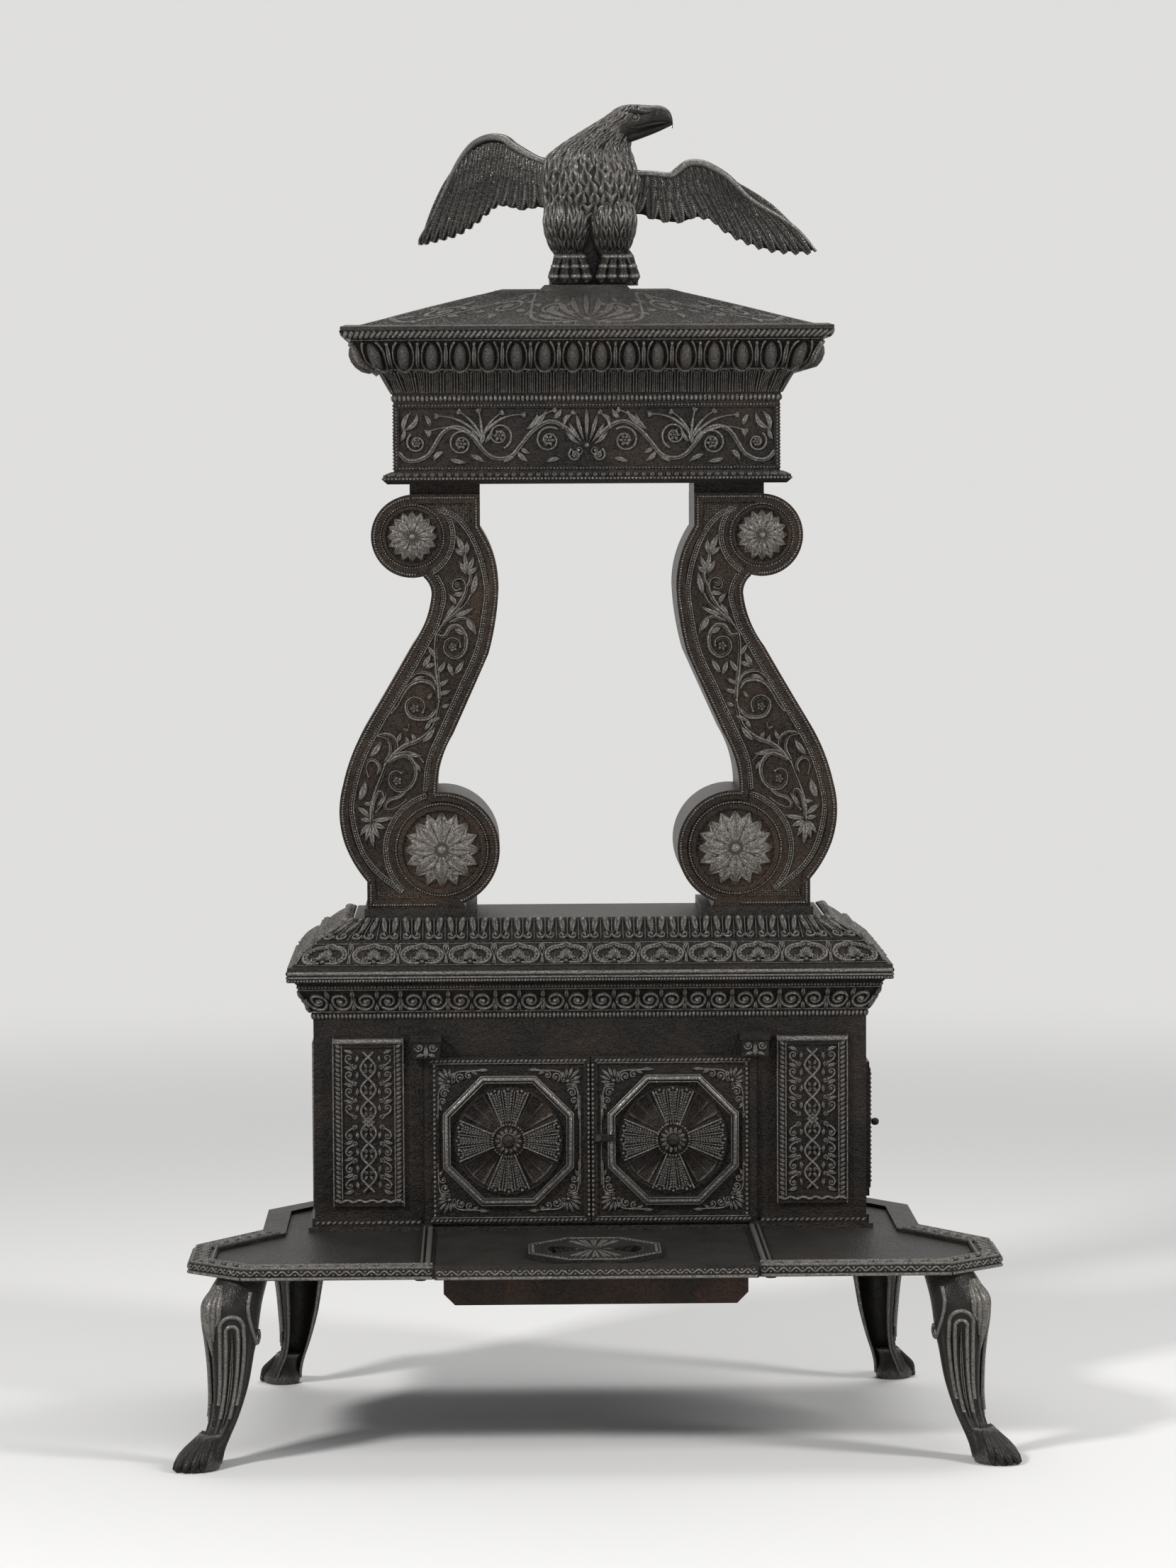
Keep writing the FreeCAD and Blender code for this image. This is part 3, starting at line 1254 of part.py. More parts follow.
def column_point(share):
    """A point of the right column's outline, from its shares."""
    x = s.column_reach * share[0]
    z = COLUMN_FOOT + s.column_height * share[1]
    return FreeCAD.Vector(float(x), 0, float(z))


def arcs(points):
    """Arcs from point to point, each through the point between its ends."""
    starts = range(0, len(points) - 2, 2)
    return [Part.Arc(points[i], points[i + 1], points[i + 2]).toShape() for i in starts]


def straights(points):
    return [Part.makeLine(a, b) for a, b in zip(points, points[1:])]


def drawn_in(points, inset):
    """The points of a flowing edge, moved square to the edge; a positive inset moves them to its left."""
    spline = Part.BSplineCurve()
    spline.interpolate(points)
    moved = []
    for point in points:
        along = spline.tangent(spline.parameter(point))[0]
        moved.append(point + FreeCAD.Vector(-along.z, 0, along.x) * inset)
    return moved


def volutes():
    """The middle of each volute of the right column, across and up, with its radius and its rosette's."""
    low = COLUMN_FOOT + s.volute_margin + s.lower_volute_radius
    high = COLUMN_HEAD - s.volute_margin - s.upper_volute_radius
    return (
        (s.column_reach * LOWER_VOLUTE_SHARE, low, s.lower_volute_radius, s.lower_rosette_radius),
        (s.column_reach * UPPER_VOLUTE_SHARE, high, s.upper_volute_radius, s.upper_rosette_radius),
    )


def column_face(inset, run=arcs):
    """The flat outline of the right column, drawn in by an inset: a band between two flowing edges, and
    two round volutes. The hollow inside has straight runs in place of arcs."""
    foot, head = float(COLUMN_FOOT) + inset, float(COLUMN_HEAD) - inset
    inner = drawn_in([column_point(share) for share in INNER_EDGE_SHARES], inset)
    outer = drawn_in([column_point(share) for share in OUTER_EDGE_SHARES], inset)
    lower, upper = [FreeCAD.Vector(float(x), 0, float(z)) for x, z, _, _ in volutes()]
    head_in = FreeCAD.Vector(float(s.column_head_inner) + inset, 0, head)
    head_out = FreeCAD.Vector(float(s.column_head_outer) - inset, 0, head)
    foot_in = FreeCAD.Vector(float(s.column_foot_inner) + inset, 0, foot)
    foot_out = FreeCAD.Vector(float(s.column_foot_outer) - inset, 0, foot)
    edges = [
        Part.makeLine(head_in, inner[0]), *run(inner), Part.makeLine(inner[-1], lower),
        Part.makeLine(lower, foot_in), Part.makeLine(foot_in, foot_out), Part.makeLine(foot_out, outer[0]),
        *run(outer), Part.makeLine(outer[-1], upper), Part.makeLine(upper, head_out),
        Part.makeLine(head_out, head_in),
    ]
    band = Part.Face(Part.Wire(edges))
    discs = []
    for centre, (_, _, radius, _) in zip((lower, upper), volutes()):
        size = float(radius) - inset
        if run is arcs:
            discs.append(Part.Face(Part.Wire([Part.Circle(centre, -BACKWARD, size).toShape()])))
        else:
            discs.append(flat_face(ring(centre, size, size, RING_SIDES, ACROSS, UP)))
    return band.fuse(discs).removeSplitter().Faces[0]


def rosette(centre, radius, front, side):
    """A low dome inside a round ring, standing on a column's face."""
    rise = float(s.rosette_rise) * side
    ring_rise, ring_inner = ROSETTE_RING_SHARES
    wide, narrow = ROSETTE_DOME_SHARES
    rim = drum(centre, (radius, radius), front, front + rise * ring_rise, RING_SIDES * 2)
    rim = rim.cut(drum(centre, [radius * ring_inner] * 2, front, front + rise, RING_SIDES * 2))
    return rim.fuse(drum(centre, (radius * wide, radius * narrow), front, front + rise, RING_SIDES))


def column_shell(end):
    """Half of the right column, open where the halves meet and at its head and foot."""
    half, wall, recess = float(s.column_depth / 2), float(s.column_wall), float(s.column_recess)
    foot, head = float(COLUMN_FOOT), float(COLUMN_HEAD)
    room = half - wall
    floor = (half - recess) * end
    shell = column_face(0.0).extrude(FreeCAD.Vector(0, half * end, 0))
    hollow = column_face(wall, straights).extrude(FreeCAD.Vector(0, room * end, 0))
    field = column_face(float(s.column_border)).extrude(FreeCAD.Vector(0, recess * end, 0))
    field.translate(FreeCAD.Vector(0, floor, 0))
    depths = sorted((0, room * end))
    mouths = [
        solid_block((s.column_foot_inner + wall, s.column_foot_outer - wall), depths, (foot, foot + wall * 3)),
        solid_block((s.column_head_inner + wall, s.column_head_outer - wall), depths, (head - wall * 3, head)),
    ]
    shell = shell.cut([hollow, field] + mouths)
    tube, bore = float(s.column_bolt_radius * 2), float(s.column_bolt_radius + s.fixed_gap)
    for x, z, _, radius in volutes():
        centre = FreeCAD.Vector(float(x), 0, float(z))
        shell = shell.fuse([rosette(centre, float(radius), floor, end),
                            drum(centre, (tube, tube), 0, room * end, SHANK_SIDES)])
        shell = shell.cut(drum(centre, (bore, bore), -wall * end, half * 2 * end, SHANK_SIDES))
    return shell.removeSplitter()


def columns():
    for end, end_name in ((-1, "front"), (1, "back")):
        shell = column_shell(end)
        shaped(f"column_right_{end_name}", shell)
        shaped(f"column_left_{end_name}", shell.mirror(FreeCAD.Vector(), ACROSS))
    bolts = []
    face_y = s.column_depth / 2 - s.column_recess + s.rosette_rise
    button = s.column_button_radius
    for side in (-1, 1):
        for x, z, _, _ in volutes():
            at = (x * side, z)
            pin = shank(s.column_bolt_radius, -face_y, face_y + s.nut_height, at, "y")
            head = shank(button, -face_y - button / 2, -face_y, at, "y")
            nut = prism(6, s.nut_across, face_y, face_y + s.nut_height, at, "y")
            bolts.append(fuse(pin, head, nut))
    node("column_bolts", group(*bolts))


def necks():
    """Short collars between the column heads and the entablature."""
    for side, name in ((-1, "left"), (1, "right")):
        edges = sorted((float(s.column_head_inner) * side, float(s.column_head_outer) * side))
        half = s.neck_depth / 2
        wall = float(s.column_wall)
        outer = solid_block(edges, (-half, half), (COLUMN_HEAD, BASE_PLATE_BOTTOM))
        spigot_edges = (edges[0] + wall + float(s.running_gap), edges[1] - wall - float(s.running_gap))
        inner_half = s.column_depth / 2 - s.column_wall - s.running_gap
        spigot = solid_block(spigot_edges, (-inner_half, inner_half),
                             (COLUMN_HEAD - s.spigot_rise, BASE_PLATE_BOTTOM + s.spigot_rise))
        bore = solid_block((spigot_edges[0] + float(s.spigot_wall), spigot_edges[1] - float(s.spigot_wall)),
                           (-inner_half + s.spigot_wall, inner_half - s.spigot_wall),
                           (COLUMN_FOOT, ROOF_BOTTOM))
        shaped(f"column_neck_{name}", outer.fuse(spigot).cut(bore).removeSplitter())


# Entablature and roof

def entablature_base():
    stations = [
        (s.entablature_half_width + s.base_plate_lap * out, s.entablature_half_depth + s.base_plate_lap * out,
         BASE_PLATE_BOTTOM + s.base_plate_rise * up)
        for out, up in BASE_PLATE_SHARES
    ]
    plate = stack(stations)
    wall = s.column_wall
    half = s.column_depth / 2 - wall
    for side in (-1, 1):
        edges = sorted((float(s.column_head_inner + wall) * side, float(s.column_head_outer - wall) * side))
        plate = plate.cut(solid_block(edges, (-half, half), (COLUMN_HEAD, CORNICE_BOTTOM)))
    shaped("entablature_base", plate)


def frieze():
    """Plates round the smoke box over the columns: front and ends, and a taller plain back."""
    half_x, half_y, wall = s.entablature_half_width, s.entablature_half_depth, s.entablature_wall
    front = Casting("frieze_front")
    front.pad("XZ_Plane", half_y - wall, wall, rectangle(-half_x, half_x, FRIEZE_BOTTOM, CORNICE_BOTTOM))
    border = s.frieze_border
    front.pocket("XZ_Plane", half_y, s.frieze_recess,
                 rectangle(-half_x + border, half_x - border, FRIEZE_BOTTOM + border, CORNICE_BOTTOM - border))
    inner_y = half_y - wall
    for side, name in ((-1, "left"), (1, "right")):
        end = Casting(f"frieze_{name}")
        inner_x = (half_x - wall) * side
        outline = rectangle(-inner_y, inner_y, FRIEZE_BOTTOM, CORNICE_BOTTOM)
        end.pad("YZ_Plane", inner_x, wall, outline, reverse=side < 0)
        panel = rectangle(-inner_y + border, inner_y - border, FRIEZE_BOTTOM + border, CORNICE_BOTTOM - border)
        end.pocket("YZ_Plane", half_x * side, s.frieze_recess, panel, reverse=side < 0)
    back = Casting("entablature_back")
    back.pad("XZ_Plane", -half_y, wall, rectangle(-half_x, half_x, FRIEZE_BOTTOM, ROOF_BOTTOM),
             {"x": 0, "y": COLLAR_Z, "radius": s.collar_radius})
    holes = [eight_flats(x, z, s.screw_radius + s.fixed_gap) for x, z in collar_screw_places()]
    back.pocket("XZ_Plane", -half_y, wall, *holes, reverse=True)


COLLAR_Z = (FRIEZE_BOTTOM + ROOF_BOTTOM) / 2


def collar_screw_places():
    """Three screws round the collar's flange."""
    radius = s.collar_radius + s.collar_wall + s.collar_flange / 2
    angles = [math.radians(90 + 120 * i) for i in range(3)]
    return [(radius * round(math.cos(a), 9), COLLAR_Z + radius * round(math.sin(a), 9)) for a in angles]


def smoke_collar():
    """The round outlet for the stove pipe on the back of the smoke box."""
    start = s.entablature_half_depth
    centre = (0, COLLAR_Z)
    seat = start + s.collar_flange_thickness
    flange = rod(s.collar_radius + s.collar_wall + s.collar_flange, start, seat, centre, "y")
    tube = rod(s.collar_radius + s.collar_wall, start, start + s.collar_length, centre, "y")
    bore = rod(s.collar_radius, start - s.collar_wall, start + s.collar_length * 2, centre, "y")
    screws = []
    holes = []
    for at in collar_screw_places():
        head = shank(s.collar_screw_head_radius, seat, seat + s.screw_radius, at, "y")
        screws.append(fuse(head, shank(s.screw_radius, start - s.entablature_wall, seat, at, "y")))
        holes.append(shank(s.screw_radius + s.fixed_gap, start - s.collar_wall, seat + s.collar_wall, at, "y"))
    node("smoke_collar", cut(fuse(flange, tube), bore, *holes))
    node("collar_screws", group(*screws))


def roof_pin_places():
    x = s.roof_half_width - s.roof_pin_inset
    return [(x * side, s.roof_top_half_depth * end) for side in (-1, 1) for end in (-1, 1)]


def pin_bore(x, y):
    """Room for a pin that stands half in the cornice and half in the roof plate."""
    reach = s.roof_pin_length / 2 + s.fixed_gap
    return post(s.screw_radius + s.fixed_gap, ROOF_BOTTOM - reach, ROOF_BOTTOM + reach, x, y)


def entablature_cornice():
    """The mould round the front and ends of the smoke box; it stops flush with the plain back."""
    lap = s.roof_half_width - s.entablature_half_width
    half_x, half_y, wall = s.entablature_half_width, s.entablature_half_depth, s.entablature_wall
    stations = [(half_x + lap * out, half_y + lap * out, CORNICE_BOTTOM + s.cornice_rise * up)
                for out, up in CORNICE_SHARES]
    mould = stack(stations)
    low, high = FRIEZE_BOTTOM, ROOF_BOTTOM + wall
    reach = half_y * 3
    # The hollow follows the mould at one wall's distance, and stops a wall short of the back
    foot = [(half_x - wall, half_y - wall, low)]
    inside = stack(foot + [(x - wall, y - wall, z + wall) for x, y, z in stations])
    rear = solid_block((-s.roof_half_width, s.roof_half_width), (half_y - wall, reach), (low, high))
    back_slot = solid_block((-half_x, half_x), (half_y - wall, reach), (low, high))
    behind = solid_block((-s.roof_half_width, s.roof_half_width), (half_y, reach), (low, high))
    bores = [pin_bore(x, y) for x, y in roof_pin_places()]
    shaped("entablature_cornice", mould.cut([inside.cut(rear), back_slot, behind] + bores).removeSplitter())


def roof():
    """The hipped top plate, hollow below, with the low mound under the eagle."""
    edge = ROOF_BOTTOM + s.roof_edge
    near = s.roof_edge * 3
    outer = stack([
        (s.roof_half_width, s.roof_half_depth, ROOF_BOTTOM),
        (s.roof_half_width, s.roof_half_depth, edge),
        (s.roof_half_width - near / 2, s.roof_half_depth - near / 2, edge + s.roof_edge / 2),
        (s.roof_half_width - near, s.roof_half_depth - near, edge),
        (s.roof_top_half_width, s.roof_top_half_depth, ROOF_TOP),
    ])
    mound = stack([
        (s.mound_half_width, s.mound_half_depth, ROOF_TOP),
        (s.mound_half_width - s.mound_rise, s.mound_half_depth - s.mound_rise, EAGLE_FOOT),
    ])
    outer = outer.fuse(mound)
    wall = s.roof_wall
    hollow = stack([
        (s.entablature_half_width - wall, s.entablature_half_depth - wall, ROOF_BOTTOM),
        (s.roof_top_half_width - wall / 2, s.roof_top_half_depth - wall, ROOF_TOP - wall),
    ])
    stud_room = post(s.stud_radius + s.fixed_gap, ROOF_TOP - s.roof_rise / 2, EAGLE_FOOT + wall, 0, 0)
    bores = [pin_bore(x, y) for x, y in roof_pin_places()]
    shaped("roof_plate", outer.cut([hollow, stud_room] + bores).removeSplitter())
    half = s.roof_pin_length / 2
    pins = [shank(s.screw_radius, ROOF_BOTTOM - half, ROOF_BOTTOM + half, at) for at in roof_pin_places()]
    node("roof_pins", group(*pins))


# Eagle

def eagle_point(x_share, y_share, z_share):
    size = float(s.eagle_height)
    return FreeCAD.Vector(size * x_share, size * y_share, float(EAGLE_FOOT) + size * z_share)


def eagle_form(stations):
    """A solid through level rings given as shares of the eagle's height."""
    size = float(s.eagle_height)
    rings = []
    for x, y, z, half_x, half_y in stations:
        point = eagle_point(x, y, z)
        rings.append(level_ring(point.x, point.y, point.z, size * half_x, size * half_y))
    return skin(rings)


def beak():
    """The hooked beak, shrinking towards its tip."""
    size = float(s.eagle_height)
    head_x, depth = BODY_SHARES[-2][:2]
    points = [eagle_point(head_x, depth, BEAK_SHARES[0][1])]
    points += [eagle_point(x, depth, z) for x, z, _ in BEAK_SHARES]
    radii = [size * BEAK_SHARES[0][2]] + [size * radius for _, _, radius in BEAK_SHARES]
    return horn(points, radii, ACROSS)


def claw_foot(side):
    """A foot block with four toes in front."""
    size = float(s.eagle_height)
    wide, long, high = (size * share for share in FOOT_SHARES)
    middle = eagle_point(BODY_SHARES[0][0] + THIGH_OFFSET_SHARE * side, -FOOT_FORWARD_SHARE, 0.0)
    foot = level_stack(middle, FOOT_STACK_SHARES, wide, long / 2, high)
    radii = [wide / 4 * share for share in CLAW_RADIUS_SHARES]
    for i in range(4):
        points = [middle + FreeCAD.Vector(wide * (i - 1.5) * spread, -long * forward, high * level)
                  for spread, forward, level in CLAW_SHARES]
        foot = foot.fuse(horn(points, radii, -BACKWARD))
    return foot


def wing(level_share, turn, root, side):
    """A spread wing: a plate with a humped top and a feathered lower edge, swept back by a turn."""
    length, high, thick = float(s.wing_length), float(s.wing_height), float(s.wing_thickness)
    low = float(EAGLE_FOOT + s.eagle_height * level_share)

    def at(share):
        return FreeCAD.Vector(length * share[0], 0, low + high * share[1])

    top = [at(share) for share in WING_TOP_SHARES]
    lower = [at(share) for share in WING_LOWER_SHARES]
    edges = arcs(top) + [Part.makeLine(top[-1], lower[0])]
    edges += [Part.makeLine(a, b) for a, b in zip(lower, lower[1:])]
    edges.append(Part.makeLine(lower[-1], top[0]))
    plate = Part.Face(Part.Wire(edges)).extrude(FreeCAD.Vector(0, thick, 0))
    plate.translate(FreeCAD.Vector(0, -thick / 2, 0))
    if side < 0:
        plate = plate.mirror(FreeCAD.Vector(), ACROSS)
    plate.rotate(FreeCAD.Vector(), UP, turn)
    plate.translate(FreeCAD.Vector(float(root) * side, 0, 0))
    return plate


def eagle():
    size = float(s.eagle_height)
    body = eagle_form(BODY_SHARES)
    base = BODY_SHARES[0][0]
    for side in (-1, 1):
        x = base + THIGH_OFFSET_SHARE * side
        thigh = [(x, 0.0, z, half_x, half_y) for z, half_x, half_y in THIGH_SHARES]
        body = body.fuse([eagle_form(thigh), claw_foot(side)])
    back, wide, long = TAIL_SHARES
    tail = level_stack(eagle_point(base, back, 0.0), TAIL_STACK_SHARES, size * wide, size * long, size)
    body = body.fuse([beak(), tail])
    depths = (-s.roof_half_depth, s.roof_half_depth)
    floor = solid_block((-s.roof_half_width, s.roof_half_width), depths, (ROOF_BOTTOM, EAGLE_FOOT))
    stud_top = EAGLE_FOOT + s.eagle_height * STUD_SHARE
    bore = post(s.stud_radius + s.fixed_gap, ROOF_BOTTOM, stud_top + s.fixed_gap, 0, 0)
    left = wing(LEFT_WING_LEVEL_SHARE, -LEFT_WING_ANGLE, s.left_wing_root, -1)
    right = wing(RIGHT_WING_LEVEL_SHARE, RIGHT_WING_ANGLE, s.right_wing_root, 1)
    keep = solid_block((-s.left_wing_root * WING_SOCKET_SHARE, s.right_wing_root * WING_SOCKET_SHARE), depths,
                       (EAGLE_FOOT, EAGLE_FOOT + s.eagle_height))
    sockets = left.fuse(right).cut(keep)
    shaped("eagle_body", body.cut([floor, bore, sockets]).removeSplitter())
    shaped("eagle_wing_left", left.cut(keep))
    shaped("eagle_wing_right", right.cut(keep))
    nut_top = ROOF_TOP - s.roof_wall
    stud = shank(s.stud_radius, nut_top - s.nut_height - s.roof_wall, stud_top, (0, 0))
    nut = prism(6, s.nut_across, nut_top - s.nut_height, nut_top, (0, 0))
    node("eagle_stud", fuse(stud, nut))


hearth_plate()
hearth_slide()
ash_trough()
legs()
front_plate()
end_plates()
feed_door()
capitals()
doors()
latch()
fire_grate()
body_cornice()
mantel_lid()
tie_rods()
columns()
necks()
entablature_base()
frieze()
smoke_collar()
entablature_cornice()
roof()
eagle()
DOC.recompute()

# Every object has to stand, and every sub-part has to be a sound solid, before anything is written
for thing in DOC.Objects:
    if "Invalid" in thing.State or "Error" in thing.State:
        raise ValueError(f"{thing.Label} did not build: {thing.State}")
for thing in NODES:
    if thing.Shape.isNull() or not thing.Shape.isValid() or not thing.Shape.Solids:
        raise ValueError(f"{thing.Label} is not a sound solid")

os.makedirs("parts", exist_ok=True)
for thing in NODES:
    thing.Shape.exportStep(f"parts/{thing.Label}.step")
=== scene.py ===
import json
import math

import bpy
import numpy as np
from mathutils import Matrix, Vector


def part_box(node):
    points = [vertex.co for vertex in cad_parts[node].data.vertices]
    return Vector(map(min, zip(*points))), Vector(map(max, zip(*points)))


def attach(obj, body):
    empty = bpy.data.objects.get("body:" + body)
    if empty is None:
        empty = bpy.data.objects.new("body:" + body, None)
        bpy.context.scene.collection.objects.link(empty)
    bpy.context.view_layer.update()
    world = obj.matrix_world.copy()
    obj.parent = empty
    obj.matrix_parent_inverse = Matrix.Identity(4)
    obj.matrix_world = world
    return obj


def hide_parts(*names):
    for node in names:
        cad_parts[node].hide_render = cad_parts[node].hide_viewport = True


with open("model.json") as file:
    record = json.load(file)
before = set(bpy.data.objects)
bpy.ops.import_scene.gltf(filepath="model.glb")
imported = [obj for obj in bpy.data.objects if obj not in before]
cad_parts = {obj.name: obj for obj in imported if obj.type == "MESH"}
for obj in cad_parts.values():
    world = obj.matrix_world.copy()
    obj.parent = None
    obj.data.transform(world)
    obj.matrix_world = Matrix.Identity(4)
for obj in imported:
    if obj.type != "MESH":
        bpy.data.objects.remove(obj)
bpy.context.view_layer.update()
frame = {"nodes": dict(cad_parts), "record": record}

# Lengths are in metres. Left and right are as seen from the front, which faces -Y.
MM = 0.001
SINK = 0.5 * MM
SIDES = (-1, 1)
NAMED_SIDES = ((-1, "left"), (1, "right"))


# Planes and levels read from the frame

def low(node):
    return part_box(node)[0]


def high(node):
    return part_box(node)[1]


COLUMN_FACE = low("column_right_front").y + 2.5 * MM
COLUMN_FOOT = low("column_right_front").z
COLUMN_HIGH = high("column_right_front").z - COLUMN_FOOT
COLUMN_REACH = high("column_right_front").x
CORE = (low("column_right_front").y + high("column_right_back").y) / 2
LID_LOW, LID_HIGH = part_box("mantel_lid")
FRIEZE_LOW, FRIEZE_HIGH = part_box("frieze_front")
CORNICE_LOW, CORNICE_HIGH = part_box("entablature_cornice")
BODY_LOW, BODY_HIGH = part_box("front_plate")
BODY_HALF_X = BODY_HIGH.x
BODY_FACE = low("left_end_plate").y


# Curves in a plane

def smooth(points, step=2.0 * MM, closed=False):
    """Evenly spaced points on the flowing curve through a few given ones."""
    given = np.array(points, float)
    if closed:
        given = np.vstack([given[-1], given, given[0], given[1]])
    else:
        given = np.vstack([2 * given[0] - given[1], given, 2 * given[-1] - given[-2]])
    dense = []
    for a, b, c, d in zip(given, given[1:], given[2:], given[3:]):
        for t in np.linspace(0, 1, 24, endpoint=False):
            dense.append(0.5 * (2 * b + (c - a) * t + (2 * a - 5 * b + 4 * c - d) * t * t
                                + (3 * b - a - 3 * c + d) * t ** 3))
    dense.append(given[-2])
    return even(dense, step)


def even(points, step):
    """The same line with points a step apart."""
    line = np.array(points, float)
    run = np.concatenate([[0], np.cumsum(np.linalg.norm(np.diff(line, axis=0), axis=1))])
    count = max(2, int(round(run[-1] / step)) + 1)
    marks = np.linspace(0, run[-1], count)
    return np.column_stack([np.interp(marks, run, column) for column in line.T])


def sides_of(line):
    """Unit vectors along a line and to its left."""
    along = np.gradient(line, axis=0)
    along /= np.maximum(np.linalg.norm(along, axis=1), 1e-9)[:, None]
    return along, np.column_stack([-along[:, 1], along[:, 0]])


def shifted(line, distance):
    return line + sides_of(line)[1] * distance


def bowed(root, tip, bow, count=17):
    """Points from root to tip along a bow to the left, given as a share of the length."""
    root, tip = np.array(root, float), np.array(tip, float)
    way = tip - root
    middle = (root + tip) / 2 + np.array([-way[1], way[0]]) * bow
    t = np.linspace(0, 1, count)[:, None]
    return (1 - t) ** 2 * root + 2 * t * (1 - t) * middle + t ** 2 * tip


def polar(angle, radius):
    return np.array([math.cos(angle) * radius, math.sin(angle) * radius])


def round_about(centre, radius, angles):
    return np.column_stack([centre[0] + radius * np.cos(angles), centre[1] + radius * np.sin(angles)])


def arc(centre, radius, start, end, step=2.0 * MM):
    """Points on an arc between two angles in degrees."""
    count = max(3, int(abs(math.radians(end - start)) * radius / step) + 1)
    return round_about(centre, radius, np.radians(np.linspace(start, end, count)))


def spiral(centre, outer, inner, start, turn, count=40):
    """A scroll that winds inward from a start angle through a turn, in degrees."""
    share = np.linspace(0, 1, count)
    radius = outer + (inner - outer) * share ** 0.85
    return round_about(centre, radius, np.radians(start + turn * share))


def rectangle(half_wide, half_high):
    return [(-half_wide, -half_high), (half_wide, -half_high),
            (half_wide, half_high), (-half_wide, half_high)]


# Cross sections of a raised stroke: place across it, and height
ROUND = ((-1, None), (-0.75, 0.62), (0, 1.0), (0.75, 0.62), (1, None))
RIB = ((-1, None), (-0.35, 0.9), (0.35, 0.9), (1, None))
VEINED = ((-1, None), (-0.82, 0.75), (-0.4, 0.95), (0, 0.45), (0.4, 0.95), (0.82, 0.75), (1, None))


